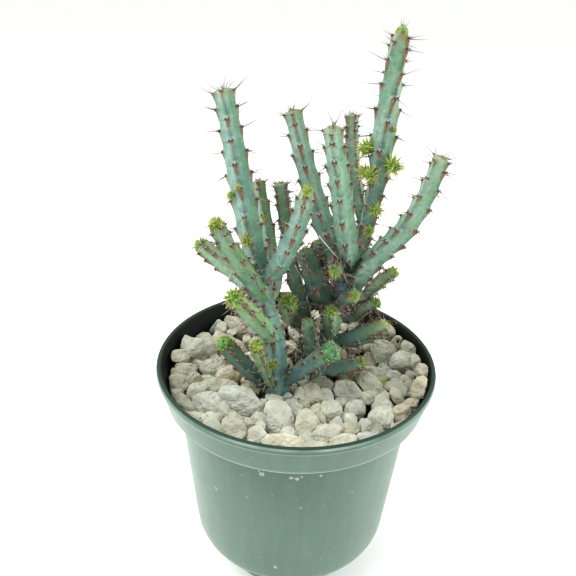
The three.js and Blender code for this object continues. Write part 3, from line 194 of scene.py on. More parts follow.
# stones that show: middle, kind, and the outline as seen from the front (mm right and up, square to the view)
OUTLINES = {
    1: ((-39.4, 13.1, 87.1), 'a', [(-6.9, 5.4), (-5.7, 5.8), (-3.2, 4.4), (0.1, 4.2), (3.3, 4.2), (6.2, 3.0), (7.0, -0.3), (5.8, -3.2), (3.3, -5.2), (0.5, -6.4), (-2.0, -5.2), (-3.6, -2.8), (-5.7, -0.3), (-7.3, 0.5), (-6.9, 3.0)]),
    55: ((-39.1, 22.8, 86.0), 'a', [(-4.1, -0.0), (-2.8, 1.9), (-0.7, 2.7), (1.8, 2.3), (3.5, 0.8), (4.0, -1.7), (0.1, -2.6), (-3.2, -1.7)]),
    50: ((-45.2, 2.3, 90.5), 'p', [(-3.6, 0.2), (-2.8, 2.1), (-0.8, 2.5), (1.1, 2.5), (3.1, 1.4), (3.8, -0.2), (2.7, -1.8), (0.7, -2.9), (-1.6, -2.1), (-3.2, -1.4)]),
    49: ((-42.2, -0.9, 87.2), 'p', [(-4.5, 0.2), (-3.8, 1.8), (-1.8, 2.2), (1.3, 2.2), (3.6, 1.0), (4.4, -0.1), (3.6, -1.7), (1.3, -2.5), (-1.0, -2.1), (-3.0, -1.3)]),
    97: ((-46.3, -4.7, 86.0), 'd', [(-2.4, -0.7), (-2.0, 1.2), (-0.5, 3.2), (1.0, 2.8), (2.2, 0.9), (2.6, -1.4), (0.6, -2.6), (-1.7, -2.6)]),
    35: ((-44.0, -9.5, 86.4), 'd', [(-4.4, -0.6), (-4.1, 1.2), (-2.2, 3.1), (0.5, 3.5), (3.1, 3.1), (4.6, 1.6), (4.2, -1.0), (3.1, -2.5), (0.5, -3.3), (-2.2, -3.6), (-4.1, -2.5)]),
    153: ((-38.1, -8.6, 87.6), 'p', [(-2.8, 0.7), (-1.7, 2.2), (0.9, 3.0), (2.4, 1.8), (3.2, -0.0), (1.7, -1.9), (-0.6, -3.0), (-2.4, -2.3)]),
    82: ((-34.2, -4.5, 85.3), 'a', [(-2.7, 0.4), (-1.5, 1.5), (0.8, 1.5), (3.1, 0.8), (2.3, -0.8), (-0.4, -1.9), (-2.3, -1.1)]),
    76: ((-38.8, 4.4, 85.8), 'a', [(-2.4, 0.8), (-0.8, 2.0), (2.0, 1.2), (2.4, -0.8), (0.4, -2.0), (-1.6, -1.6)]),
    17: ((-32.3, 2.6, 85.8), 'a', [(-4.9, 0.6), (-3.4, 2.6), (-0.6, 3.3), (2.1, 4.1), (4.1, 2.6), (4.9, -0.2), (3.7, -2.6), (1.4, -3.7), (-1.8, -3.4), (-4.2, -2.6), (-5.3, -1.0)]),
    143: ((-26.5, -3.0, 86.8), 'r', [(-3.9, -0.2), (-1.6, 2.2), (0.7, 3.3), (2.6, 2.9), (3.8, 1.0), (2.6, -1.7), (-0.1, -3.2), (-3.2, -2.5)]),
    73: ((-23.3, -3.3, 85.7), 'b', [(-2.5, 1.8), (-0.6, 3.7), (1.7, 2.5), (2.5, 0.2), (2.1, -2.8), (-0.2, -3.6), (-2.2, -1.7)]),
    11: ((-28.7, -9.5, 85.9), 'a', [(-6.9, 0.5), (-5.0, 2.3), (-1.6, 3.1), (2.1, 2.7), (5.5, 1.6), (7.4, 0.5), (5.1, -1.8), (1.4, -3.3), (-2.4, -2.9), (-5.4, -1.4)]),
    67: ((-34.8, -13.7, 85.7), 'a', [(-4.6, 0.3), (-3.8, 2.5), (-2.0, 3.6), (0.2, 3.6), (2.8, 2.5), (4.7, 0.6), (5.0, -1.6), (2.5, -3.1), (-0.5, -3.4), (-3.1, -2.7), (-4.6, -1.2)]),
    3: ((-29.6, -19.9, 85.4), 'g', [(-6.8, 1.3), (-5.7, 3.1), (-3.2, 4.2), (-0.3, 4.6), (1.9, 3.9), (4.1, 2.1), (6.2, -0.1), (6.6, -2.6), (5.1, -4.1), (2.6, -4.4), (-0.6, -3.7), (-3.5, -3.0), (-5.7, -1.2)]),
    0: ((-18.7, -17.5, 85.3), 'g', [(-9.3, 1.9), (-7.9, 4.1), (-5.7, 5.6), (-2.4, 5.9), (0.5, 5.2), (3.0, 4.5), (4.1, 2.7), (5.6, 0.5), (7.4, -1.3), (8.1, -3.9), (7.4, -5.7), (5.6, -6.8), (3.0, -6.1), (0.1, -5.0), (-2.4, -3.5), (-5.3, -1.0), (-7.9, 0.5)]),
    34: ((-39.5, -20.6, 85.7), 'd', [(-4.4, 1.3), (-2.9, 3.1), (-1.1, 3.9), (0.7, 2.8), (2.1, 1.7), (3.5, -0.1), (4.6, -2.3), (3.2, -3.3), (1.0, -3.3), (-1.5, -2.3), (-3.7, -0.5)]),
    104: ((-32.8, -29.6, 87.2), 'a', [(-3.5, 1.6), (-1.4, 1.9), (1.0, 1.9), (2.7, 1.2), (3.1, -0.1), (2.4, -2.2), (-0.0, -2.2), (-2.8, -0.8)]),
    69: ((-26.9, -32.7, 85.9), 'g', [(-3.8, 1.5), (-2.4, 3.2), (-0.3, 3.6), (1.4, 2.5), (2.4, 0.5), (4.1, -1.9), (2.7, -3.6), (-0.7, -2.6), (-3.1, -0.9)]),
    40: ((-19.6, -32.7, 84.5), 'a', [(-5.0, 1.6), (-3.9, 3.6), (-1.9, 4.7), (0.5, 5.0), (2.2, 4.0), (3.6, 1.9), (4.6, -0.5), (4.6, -3.9), (2.6, -4.9), (-0.9, -4.2), (-3.9, -2.2), (-5.0, -0.1)]),
    62: ((-11.9, -36.3, 85.8), 'a', [(-2.6, 2.4), (-1.3, 3.4), (1.0, 3.7), (2.4, 2.4), (3.1, 0.3), (2.7, -2.0), (0.7, -3.7), (-2.0, -3.4), (-3.0, -0.3)]),
    22: ((-3.0, -39.0, 85.6), 'v', [(-6.7, 1.1), (-5.3, 3.1), (-2.0, 3.4), (1.6, 3.1), (4.9, 2.5), (6.6, 1.5), (6.9, -1.2), (4.6, -3.2), (-0.0, -3.5), (-5.0, -2.5), (-6.7, -0.9)]),
    2: ((-5.3, -24.7, 84.3), 'w', [(-4.3, 5.0), (-2.9, 6.7), (-0.4, 7.1), (2.0, 5.7), (4.2, 3.5), (5.2, 0.4), (5.6, -2.8), (4.9, -4.9), (2.0, -6.0), (-1.5, -6.0), (-4.3, -5.3), (-5.0, -2.1), (-4.7, 1.4)]),
    57: ((-7.2, -15.1, 86.2), 'w', [(-3.2, -0.5), (-2.8, 2.4), (-1.7, 3.5), (0.1, 2.8), (2.3, 1.3), (3.8, -0.5), (3.0, -2.7), (0.1, -2.7), (-2.5, -2.0)]),
    148: ((-2.4, -15.3, 86.2), 'k', [(-2.4, 0.2), (-0.9, 2.1), (0.2, 2.8), (1.3, 1.3), (2.7, -0.5), (0.5, -2.3), (-1.7, -1.6)]),
    114: ((-11.0, -20.3, 87.0), 'a', [(-2.3, 0.5), (-0.8, 1.9), (1.3, 1.9), (2.0, 0.1), (0.9, -2.4), (-1.2, -1.6)]),
    106: ((-15.7, -12.0, 87.8), 'b', [(-3.4, 1.1), (-0.9, 2.2), (1.7, 1.5), (2.8, -0.0), (2.1, -2.6), (-0.1, -1.9), (-2.7, -0.4)]),
    121: ((-18.8, -6.6, 86.3), 'd', [(-1.7, 0.5), (-0.9, 2.0), (0.6, 0.8), (2.5, -0.3), (0.6, -1.4), (-1.3, -1.1)]),
    96: ((-20.1, -29.1, 88.2), 'a', [(-2.1, 1.5), (0.3, 1.5), (2.7, -0.2), (2.0, -1.6), (-1.1, -1.2), (-2.4, -0.2)]),
    141: ((-11.0, -32.3, 87.6), 'a', [(-1.9, 0.4), (0.1, 1.7), (1.5, 0.7), (1.5, -1.3), (-0.9, -1.3)]),
    98: ((11.8, -13.4, 87.0), 'g', [(-2.8, 1.4), (-1.7, 2.5), (0.2, 2.5), (1.6, 1.7), (2.4, -0.1), (2.7, -2.3), (0.5, -2.3), (-1.7, -2.0)]),
    8: ((5.5, -11.8, 85.2), 'a', [(-5.7, -0.8), (-4.9, 1.5), (-3.1, 3.3), (-0.5, 4.4), (2.1, 4.4), (3.6, 3.0), (4.7, 0.7), (5.8, -0.8), (4.7, -2.6), (2.1, -3.4), (-0.1, -4.5), (-2.0, -4.5), (-4.2, -2.2)]),
    68: ((10.7, -7.1, 87.4), 's', [(-4.3, 0.9), (-2.1, 2.4), (0.6, 2.7), (3.2, 1.2), (4.0, -0.6), (3.2, -2.2), (0.6, -2.5), (-2.4, -2.2)]),
    5: ((19.8, -7.8, 84.9), 'w', [(-4.9, 1.1), (-4.5, 3.0), (-3.0, 4.2), (-0.4, 4.5), (2.3, 3.4), (4.1, 1.5), (5.3, -0.4), (5.7, -2.6), (3.4, -3.8), (-0.4, -3.8), (-3.4, -3.8), (-4.5, -1.5)]),
    6: ((29.1, -2.4, 84.6), 'a', [(-5.9, 3.1), (-4.4, 4.7), (-2.1, 5.0), (0.2, 4.3), (2.5, 2.3), (4.5, 0.0), (5.6, -2.3), (4.5, -4.2), (2.2, -5.4), (0.2, -5.0), (-1.7, -3.0), (-3.6, -0.4), (-5.2, 1.2)]),
    145: ((26.5, -13.8, 86.7), 'a', [(-2.0, 2.2), (-0.6, 2.5), (1.3, 1.1), (2.7, -0.8), (1.3, -2.2), (-0.9, -1.9), (-2.0, -0.4)]),
    71: ((32.4, 1.8, 86.3), 'a', [(-4.9, 1.0), (-2.9, 3.0), (0.2, 3.0), (2.5, 1.8), (3.7, -0.6), (3.3, -2.9), (1.4, -4.1), (-0.6, -2.1), (-2.9, -0.6)]),
    100: ((38.1, 1.2, 87.3), 'g', [(-2.9, 0.8), (-1.0, 2.0), (1.3, 1.6), (2.9, 0.5), (2.5, -1.5), (0.2, -1.9), (-2.2, -1.5)]),
    31: ((39.2, -4.6, 85.7), 'g', [(-4.9, 0.2), (-3.8, 2.1), (-1.5, 3.3), (0.8, 2.9), (2.7, 1.0), (4.2, -0.9), (4.6, -2.8), (2.7, -3.6), (0.8, -2.4), (-1.9, -1.3), (-3.8, -1.3)]),
    56: ((37.8, -11.5, 86.9), 'a', [(-2.8, 1.1), (-2.1, 3.0), (-0.2, 3.0), (1.6, 1.5), (2.7, -0.7), (2.3, -2.5), (0.5, -3.3), (-1.0, -2.2), (-2.1, -0.3)]),
    140: ((33.9, -10.4, 86.2), 'a', [(-1.7, 0.8), (-0.2, 1.9), (1.2, 0.8), (1.6, -1.4), (0.1, -1.8), (-1.4, -0.7)]),
    42: ((32.0, -15.2, 85.8), 'w', [(-3.6, -0.0), (-2.5, 2.2), (-0.7, 3.6), (1.5, 2.9), (3.0, 1.1), (4.1, -1.5), (1.5, -3.0), (-1.8, -2.6), (-3.6, -1.9)]),
    24: ((31.2, -23.3, 85.1), 'w', [(-4.1, 2.4), (-2.3, 4.2), (0.8, 4.5), (3.3, 4.2), (4.0, 1.4), (3.7, -2.2), (1.9, -5.0), (-0.9, -5.0), (-3.4, -2.5), (-4.5, 0.3)]),
    36: ((38.0, -21.0, 85.6), 'r', [(-3.3, 1.5), (-1.5, 3.3), (1.0, 4.0), (3.1, 3.0), (3.9, 0.8), (2.4, -2.0), (-0.1, -4.2), (-2.6, -4.2), (-3.3, -0.6)]),
    66: ((43.2, -15.7, 86.5), 'r', [(-4.7, -1.2), (-3.6, 0.7), (-1.8, 2.1), (0.8, 2.5), (3.3, 2.5), (4.4, 1.0), (2.9, -1.2), (0.4, -3.0), (-2.2, -2.2)]),
    79: ((36.4, -28.9, 87.3), 'a', [(-2.8, 0.7), (-0.4, 1.1), (2.0, 2.5), (3.4, 1.8), (1.0, -1.3), (-2.1, -2.7)]),
    37: ((45.7, -13.3, 92.4), 'r', [(-3.6, -0.8), (-2.9, 1.4), (-1.4, 3.6), (0.4, 4.3), (2.2, 3.2), (3.3, 1.0), (3.3, -1.5), (1.5, -3.7), (-1.1, -3.7), (-2.9, -2.9)]),
    124: ((43.1, -4.9, 86.9), 'p', [(-2.1, 0.0), (-1.0, 1.9), (0.9, 2.3), (2.0, 0.8), (1.7, -1.5), (-0.2, -2.3), (-1.8, -1.5)]),
    122: ((41.9, -2.0, 87.9), 'a', [(-2.2, 0.1), (-1.0, 1.6), (0.9, 1.6), (2.4, 0.1), (0.9, -1.5), (-1.0, -1.8)]),
    117: ((45.0, 3.0, 86.6), 'a', [(-2.1, 0.7), (-0.6, 1.9), (1.4, 1.1), (2.2, -0.9), (0.6, -1.7), (-1.3, -1.3)]),
    70: ((47.7, -3.8, 92.9), 'a', [(-2.8, 0.6), (-1.7, 2.9), (0.6, 2.9), (2.5, 1.4), (3.2, -0.9), (1.3, -2.7), (-1.3, -2.7), (-2.8, -1.2)]),
    7: ((43.1, 10.9, 86.7), 'w', [(-5.2, -0.5), (-4.0, 2.7), (-2.0, 4.3), (0.8, 5.2), (2.8, 3.9), (4.0, 1.9), (4.8, -0.5), (4.8, -2.9), (2.4, -4.5), (-1.2, -4.1), (-4.0, -3.3)]),
    53: ((46.8, 5.5, 90.9), 'g', [(-1.8, 2.0), (-0.6, 3.6), (1.4, 2.0), (2.2, -0.7), (1.0, -3.1), (-1.0, -3.1), (-1.8, -0.7)]),
    33: ((45.8, 14.2, 90.9), 'a', [(-3.2, -0.4), (-3.6, 2.4), (-2.0, 3.6), (0.0, 2.8), (2.1, 1.2), (3.7, -1.2), (3.3, -3.7), (0.4, -2.9), (-2.0, -1.2)]),
    59: ((41.5, 19.5, 90.3), 'a', [(-2.6, -0.6), (-2.2, 1.5), (-0.6, 3.1), (1.1, 3.1), (2.3, 1.5), (2.3, -1.0), (1.1, -3.1), (-1.0, -3.1)]),
    4: ((35.7, 16.4, 87.6), 'a', [(-5.1, 2.3), (-3.9, 4.3), (-1.4, 5.2), (1.5, 4.7), (3.9, 2.7), (5.2, 0.6), (4.4, -2.2), (2.7, -4.7), (0.2, -5.9), (-2.2, -4.7), (-3.4, -2.2), (-4.7, 0.2)]),
    74: ((29.9, 13.3, 85.1), 'r', [(-3.0, 1.3), (-1.4, 3.4), (0.7, 3.4), (2.3, 1.3), (3.1, -1.1), (1.9, -3.2), (-0.5, -3.2), (-2.6, -1.5)]),
    46: ((29.5, 6.8, 85.2), 'a', [(-3.0, 0.1), (-1.0, 1.7), (1.8, 1.3), (3.4, 0.1), (1.0, -1.5), (-1.8, -1.5)]),
    32: ((22.0, -19.1, 85.4), 'g', [(-3.6, 0.5), (-2.9, 2.6), (-0.4, 3.7), (2.2, 3.4), (3.6, 1.6), (3.6, -1.0), (2.2, -3.1), (-0.4, -3.8), (-2.5, -3.1), (-3.6, -1.3)]),
    29: ((13.6, -21.3, 85.4), 'w', [(-4.2, 1.8), (-2.8, 3.9), (-0.3, 4.7), (2.2, 3.9), (3.3, 1.8), (4.0, -0.7), (3.6, -3.2), (1.5, -4.6), (-1.7, -4.3), (-3.5, -1.4)]),
    99: ((7.4, -21.2, 86.3), 'a', [(-2.3, 0.1), (-0.6, 1.5), (1.6, 2.6), (2.3, 1.1), (1.6, -0.6), (-0.2, -2.4), (-2.0, -1.7)]),
    163: ((9.4, -27.2, 87.4), 'a', [(-1.9, 1.0), (-0.2, 2.7), (1.2, 1.0), (1.9, -1.4), (0.2, -2.5), (-1.2, -1.1)]),
    44: ((0.0, -20.1, 85.9), 'g', [(-3.9, 1.8), (-2.1, 3.2), (0.4, 2.8), (2.5, 1.0), (3.6, -1.1), (2.2, -3.3), (0.0, -3.3), (-2.1, -1.1)]),
    27: ((4.7, -28.3, 85.4), 'a', [(-3.4, 2.0), (-2.3, 4.4), (-0.2, 5.4), (2.2, 4.0), (3.6, 2.0), (4.6, -0.1), (3.2, -2.2), (1.5, -4.3), (-0.9, -5.3), (-3.0, -4.3), (-3.7, -1.2)]),
    30: ((11.6, -33.2, 86.4), 'g', [(-5.5, -1.3), (-4.4, 0.7), (-2.7, 2.4), (-0.0, 3.1), (2.7, 3.1), (5.0, 2.7), (5.7, 0.7), (4.0, -1.0), (1.7, -2.4), (-0.7, -3.4), (-3.8, -3.4)]),
    72: ((19.7, -30.6, 86.8), 'p', [(-3.2, 1.0), (-1.5, 2.0), (1.2, 2.4), (3.3, 1.4), (2.9, -0.7), (1.2, -2.4), (-1.2, -2.4), (-2.9, -1.4)]),
    92: ((25.2, -29.2, 86.0), 'g', [(-2.5, 1.4), (-1.5, 3.1), (0.2, 3.1), (1.6, 1.7), (3.0, -0.7), (2.0, -2.8), (-0.8, -2.8), (-2.5, -1.0)]),
    63: ((16.8, -37.5, 86.3), 'v', [(-4.3, 0.5), (-2.6, 1.8), (0.4, 2.8), (3.4, 2.5), (4.7, 1.5), (4.4, -0.8), (1.0, -2.2), (-2.3, -3.1), (-4.3, -2.2)]),
    65: ((25.1, -35.0, 86.5), 'w', [(-3.8, 0.5), (-2.8, 1.8), (-0.1, 2.1), (2.9, 1.8), (4.6, 1.5), (3.9, -0.5), (0.2, -2.2), (-3.1, -2.5)]),
    123: ((7.7, -40.8, 86.6), 'a', [(-4.1, 1.1), (-1.8, 2.4), (0.8, 1.8), (3.4, 1.5), (5.0, 0.5), (3.7, -1.5), (-1.2, -2.1), (-3.8, -1.8)]),
    129: ((-35.6, 30.5, 87.4), 'k', [(-3.2, -3.8), (-2.3, -1.2), (-0.6, 1.4), (1.2, 3.5), (2.0, 3.5), (2.9, 2.2), (1.2, -0.8), (-1.0, -3.0)]),
    133: ((-32.8, 27.5, 88.7), 'p', [(-2.5, -0.3), (-1.2, 2.3), (0.9, 3.1), (2.2, 1.9), (2.2, -1.1), (0.5, -2.9), (-2.1, -2.4)]),
    19: ((-28.6, 33.5, 87.6), 'a', [(-3.6, -0.5), (-3.2, 2.2), (-1.9, 3.5), (0.7, 3.0), (2.5, 3.0), (3.4, 1.3), (3.8, -1.3), (2.5, -3.1), (-1.0, -3.1), (-3.2, -2.7)]),
    164: ((-27.9, 26.3, 87.9), 'a', [(-2.5, 0.5), (-0.4, 1.3), (2.2, 1.3), (2.2, -0.4), (0.0, -1.7), (-1.7, -1.2)]),
    52: ((-24.4, 30.6, 85.7), 'r', [(-2.3, 2.1), (-0.1, 3.8), (2.1, 2.1), (2.9, -0.1), (1.2, -2.7), (-1.0, -4.0), (-2.3, -1.4)]),
    39: ((-22.8, 16.2, 87.0), 'r', [(-3.4, 2.2), (-2.2, 3.4), (0.3, 2.2), (1.9, -0.3), (3.6, -2.3), (2.3, -3.6), (0.3, -2.3), (-2.2, 0.1)]),
    41: ((-21.2, 23.3, 85.1), 'a', [(-1.6, 2.2), (0.1, 3.5), (1.8, 2.2), (1.4, -0.4), (0.9, -3.8), (-1.2, -2.9), (-1.6, 0.1)]),
    47: ((-17.7, 9.7, 86.6), 'v', [(-2.9, 1.4), (-0.9, 2.2), (1.5, 0.6), (3.6, -1.4), (0.7, -1.8), (-2.1, -0.6)]),
    38: ((-0.5, 22.4, 81.9), 'y', [(-3.9, 3.8), (-1.7, 5.1), (0.8, 3.0), (3.4, 0.8), (4.6, -2.1), (2.1, -4.3), (-1.3, -3.8), (-3.4, -0.0)]),
    168: ((43.7, 14.9, 86.5), 'k', [(-1.4, -1.0), (-0.6, 1.1), (1.0, 1.9), (1.5, 0.7), (0.2, -1.4), (-1.0, -1.8)]),
    169: ((-21.3, -24.6, 85.6), 'd', [(-1.5, 2.0), (0.3, 1.3), (2.4, -0.8), (0.7, -1.5), (-1.5, -1.1)]),
    170: ((-15.6, -28.8, 85.2), 'p', [(-2.1, 2.5), (0.3, 1.8), (3.1, -0.6), (1.7, -2.0), (-0.7, -2.0), (-2.4, 0.1)]),
    171: ((-11.1, -29.3, 85.2), 'g', [(-1.4, 0.7), (0.7, 2.0), (1.4, 0.3), (0.7, -1.8), (-1.1, -1.4)]),
    172: ((9.6, -25.1, 85.6), 'a', [(-2.0, 1.1), (0.1, 2.8), (1.2, 1.1), (1.9, -1.4), (0.8, -2.5), (-0.9, -1.8), (-1.6, -0.4)]),
    173: ((18.3, -22.8, 84.8), 'p', [(-1.4, 1.3), (0.7, 2.4), (1.4, -0.1), (0.7, -2.2), (-1.1, -1.9)]),
}

# side buds: stem, place along it, angle round it, radius
BUDS = [
    ('trunk_left', 93.1, -62.0, 1.68),
    ('trunk_left', 95.8, -2.0, 1.03),
    ('trunk_left', 78.7, -10.0, 2.14),
    ('trunk_right', 103.5, -96.0, 3.39),
    ('trunk_right', 95.0, -97.0, 2.88),
    ('trunk_right', 95.0, -37.0, 2.88),
    ('trunk_right', 99.0, 46.0, 3.77),
    ('trunk_right', 110.7, 49.0, 1.21),
    ('trunk_right', 83.3, 18.0, 2.73),
    ('trunk_right', 75.2, 9.0, 2.02),
    ('stem_back_left', 32.0, 3.0, 1.2),
    ('stub_mid_front', 15.8, -28.0, 1.78),
    ('stem_v_branch', 42.2, -3.0, 1.19),
    ('trunk_left', 31.5, -7.0, 1.82),
    ('stub_right_front', 20.3, -34.0, 1.96),
]

# blue, dark and lime share of the skin at the foot and at the tip of each stem; the dark share is painted shade on
# stems that stand in shade
TINT = {
    "trunk_left": (0.98, 0.42, 0.00, 0.00, 0.00, 0.12), "stem_front_left": (0.25, 0.20, 0.00, 0.00, 0.22, 0.40),
    "stem_far_left": (0.35, 0.25, 0.05, 0.00, 0.25, 0.70), "stem_low_left": (0.28, 0.05, 0.00, 0.00, 0.36, 0.95),
    "sprout_left": (0.75, 0.30, 0.62, 0.38, 0.00, 0.60), "sprout_front": (0.30, 0.00, 0.10, 0.00, 0.40, 1.00),
    "stem_v_branch": (1.00, 0.60, 0.00, 0.00, 0.10, 0.40), "stem_back_left": (0.30, 0.20, 0.25, 0.10, 0.20, 0.50),
    "stem_back_mid": (0.10, 0.25, 0.92, 0.15, 0.20, 0.30), "stem_mid_tall": (0.50, 0.45, 0.25, 0.00, 0.10, 0.15),
    "stem_mid_front": (0.40, 0.30, 0.05, 0.00, 0.15, 0.20), "stem_back_right": (0.35, 0.30, 0.20, 0.10, 0.20, 0.25),
    "trunk_right": (0.98, 0.20, 0.16, 0.04, 0.00, 0.35), "stem_right_arch": (0.45, 0.15, 0.05, 0.00, 0.10, 0.45),
    "stem_low_right": (0.50, 0.20, 0.20, 0.05, 0.10, 0.55), "stem_ground_right": (0.90, 0.55, 0.50, 0.40, 0.00, 0.40),
    "stem_front_right": (0.95, 0.45, 0.38, 0.15, 0.00, 0.30), "stub_centre": (0.60, 0.20, 0.25, 0.10, 0.10, 0.25),
    "bud_stem_left": (0.10, 0.05, 0.50, 0.00, 0.40, 1.00), "stem_mid_dark": (0.35, 0.20, 0.72, 0.55, 0.10, 0.20),
    "stub_mid_back": (0.20, 0.10, 0.50, 0.30, 0.25, 0.35), "stub_mid_front": (0.45, 0.35, 0.40, 0.30, 0.10, 0.10),
    "stub_right_front": (0.55, 0.40, 0.20, 0.05, 0.05, 0.25), "bud_stem_mid": (0.50, 0.30, 0.35, 0.10, 0.10, 0.60),
    "sprout_right_high": (0.40, 0.10, 0.30, 0.10, 0.20, 0.80), "sprout_right_low": (0.50, 0.10, 0.40, 0.10, 0.10, 0.80),
}
# local changes of the skin: place, radius, and what is added to blue, dark (painted shade) and lime
SPOTS = {
    "trunk_right": [(17.1, 9.2, 121.4, 4.3, 0.90, -0.30, -0.30), (14.9, 9.6, 115.5, 3.3, 0.90, -0.30, -0.30), (19.1, 9.0, 128.6, 2.9, 0.40, 0.15, 0.00)],
    "stem_right_arch": [(16.2, 9.0, 122.7, 2.9, 0.50, -0.40, -0.20), (23.0, 0.7, 131.2, 3.8, 0.00, -0.25, 0.00)],
    "stem_mid_dark": [(8.3, 2.8, 122.2, 3.8, 0.00, 0.25, 0.00)],
    "trunk_left": [(-4.7, -13.8, 105.4, 4.3, 0.35, -0.05, 0.00), (-8.4, -14.4, 96.1, 2.4, 0.70, -0.10, 0.00), (-9.8, -12.7, 125.5, 3.8, 0.30, 0.15, 0.00)],
    "stem_low_right": [(32.3, 5.3, 107.6, 2.9, -0.40, -0.10, 0.75)],
    "stem_far_left": [(-23.7, -3.5, 134.7, 3.8, -0.20, 0.00, 0.35), (-27.4, -1.9, 135.4, 2.9, 0.40, 0.00, -0.30)],
    "stem_front_left": [(-17.2, -22.9, 144.0, 4.3, -0.20, 0.00, 0.30)],
    "stem_low_left": [(-18.4, -26.7, 132.6, 3.3, -0.20, 0.00, 0.40)],
    "stub_right_front": [(16.8, 0.6, 119.7, 2.4, 0.20, -0.30, -0.20)],
    "stem_front_right": [(11.5, -19.5, 108.8, 3.3, 0.20, -0.10, 0.10)],
}
# parts of the skin that are slate blue: place, radius and share; where the share is high they are also painted much
# lighter, as painted light in the shade
NAVY = {
    "trunk_right": [(17.4, 9.2, 126.8, 4.8, 1.00), (15.5, 9.5, 122.0, 5.7, 1.00), (13.3, 10.0, 115.7, 5.2, 1.00)],
    "stem_right_arch": [(16.2, 9.0, 122.7, 4.3, 1.00)],
    "stub_mid_back": [(17.0, 10.2, 122.6, 4.8, 1.00)],
    "stub_right_front": [(15.8, 2.1, 118.8, 2.9, 0.80), (17.3, -1.2, 121.9, 1.9, 0.50)],
    "sprout_left": [(-19.5, -18.3, 101.7, 4.3, 0.45), (-14.4, -16.2, 93.6, 3.3, 0.40)],
    "stem_front_right": [(1.7, -15.6, 96.7, 4.8, 0.45)],
    "stem_ground_right": [(15.7, -4.6, 96.1, 4.8, 0.40)],
    "trunk_left": [(-6.5, -14.3, 93.6, 4.3, 0.35), (-4.4, -13.8, 106.2, 2.9, 0.30), (-10.6, -12.6, 134.5, 3.3, 0.30)],
    "stem_low_right": [(21.4, 6.8, 98.9, 3.8, 0.45)],
    "stem_v_branch": [(0.8, -22.2, 157.8, 4.3, 0.35)],
    "sprout_right_low": [(20.0, 11.7, 109.5, 2.9, 0.50)],
}
# stretches of a stem without shields
BARE = {"trunk_right": (43.0, 60.0)}
# tangles of dry spines: middle, spread, number, length, pale or not
TANGLES = [
    ((-24.3, 24.9, 90.0), 4.3, 16, 4.0, 0),
    ((-23.8, 13.2, 90.0), 3.3, 12, 4.0, 0),
    ((-26.9, -0.6, 90.0), 2.9, 9, 3.5, 0),
    ((25.6, 12.3, 90.0), 3.3, 16, 4.0, 0),
    ((22.4, 12.0, 90.0), 1.9, 6, 4.0, 0),
    ((34.5, 5.4, 108.1), 2.4, 6, 3.0, 0),
    ((12.3, 3.7, 123.6), 1.9, 12, 3.5, 0),
    ((10.6, -7.0, 139.5), 2.9, 12, 4.0, 0),
    ((19.1, -3.5, 145.0), 2.9, 18, 4.5, 0),
    ((20.1, 8.3, 133.9), 2.9, 16, 4.0, 0),
    ((9.5, 2.4, 126.5), 2.4, 8, 3.5, 0),
    ((24.7, 0.9, 124.8), 2.9, 9, 5.0, 0),
    ((14.9, -4.0, 118.8), 3.3, 14, 4.5, 0),
    ((8.0, 3.5, 115.5), 2.4, 8, 4.0, 0),
    ((-10.9, -17.6, 134.3), 2.4, 9, 3.5, 0),
    ((-12.7, -12.6, 143.1), 1.9, 6, 3.5, 0),
    ((20.9, 10.2, 106.7), 2.9, 12, 4.0, 0),
    ((1.0, -5.9, 107.9), 1.9, 6, 3.0, 1),
    ((-12.2, -16.8, 125.6), 1.9, 7, 3.0, 0),
    ((3.6, 0.7, 129.1), 2.4, 8, 3.5, 0),
    ((-4.9, -6.0, 124.1), 1.9, 6, 3.5, 0),
    ((-16.7, -25.6, 132.0), 2.4, 6, 3.5, 0),
]
# single long dry spines: from, to, thickness
STRAWS = [
    ((6.0, 0.8, 144.1), (12.2, -7.7, 139.9), 0.20),
    ((-1.9, 4.8, 130.8), (-0.3, 4.7, 126.9), 0.18),
    ((-4.2, -14.0, 110.5), (3.1, -16.2, 105.8), 0.14),
    ((12.5, 0.1, 107.0), (15.2, -1.2, 104.4), 0.16),
]
# stems that end in a bright rosette, and its radius
ROSETTES = {
    "stem_far_left": 2.9, "stem_low_left": 3.3, "sprout_left": 3.5, "sprout_front": 3.6, "stem_v_branch": 1.9,
    "bud_stem_left": 3.6, "bud_stem_mid": 2.6, "sprout_right_high": 2.7, "sprout_right_low": 2.6, "stem_front_right": 4.1,
    "stem_ground_right": 2.3, "stem_front_left": 3.1,
}


# ------------------------------------------------------------------ noise on arrays of points
def _hash(ix, iy, iz, seed):
    h = (ix * 374761393 + iy * 668265263 + iz * 1440662683 + seed * 1274126177) & 0xFFFFFFFF
    h = ((h ^ (h >> 13)) * 1274126177) & 0xFFFFFFFF
    h = ((h ^ (h >> 16)) * 668265263) & 0xFFFFFFFF
    return (h ^ (h >> 15)) & 0xFFFFFFFF


def vnoise(P, seed=0):
    i = np.floor(P).astype(np.int64)
    f = P - i
    f = f * f * f * (f * (f * 6 - 15) + 10)
    out = np.zeros(len(P))
    for dx in (0, 1):
        wx = f[:, 0] if dx else 1 - f[:, 0]
        for dy in (0, 1):
            wy = f[:, 1] if dy else 1 - f[:, 1]
            for dz in (0, 1):
                wz = f[:, 2] if dz else 1 - f[:, 2]
                out += wx * wy * wz * (_hash(i[:, 0] + dx, i[:, 1] + dy, i[:, 2] + dz, seed) / 4294967295.0)
    return out * 2 - 1


def fbm(P, octaves=3, seed=0):
    out, amp = np.zeros(len(P)), 1.0
    for k in range(octaves):
        out += amp * vnoise(P * 2.03 ** k + 11.7 * k, seed + k)
        amp *= 0.5
    return out


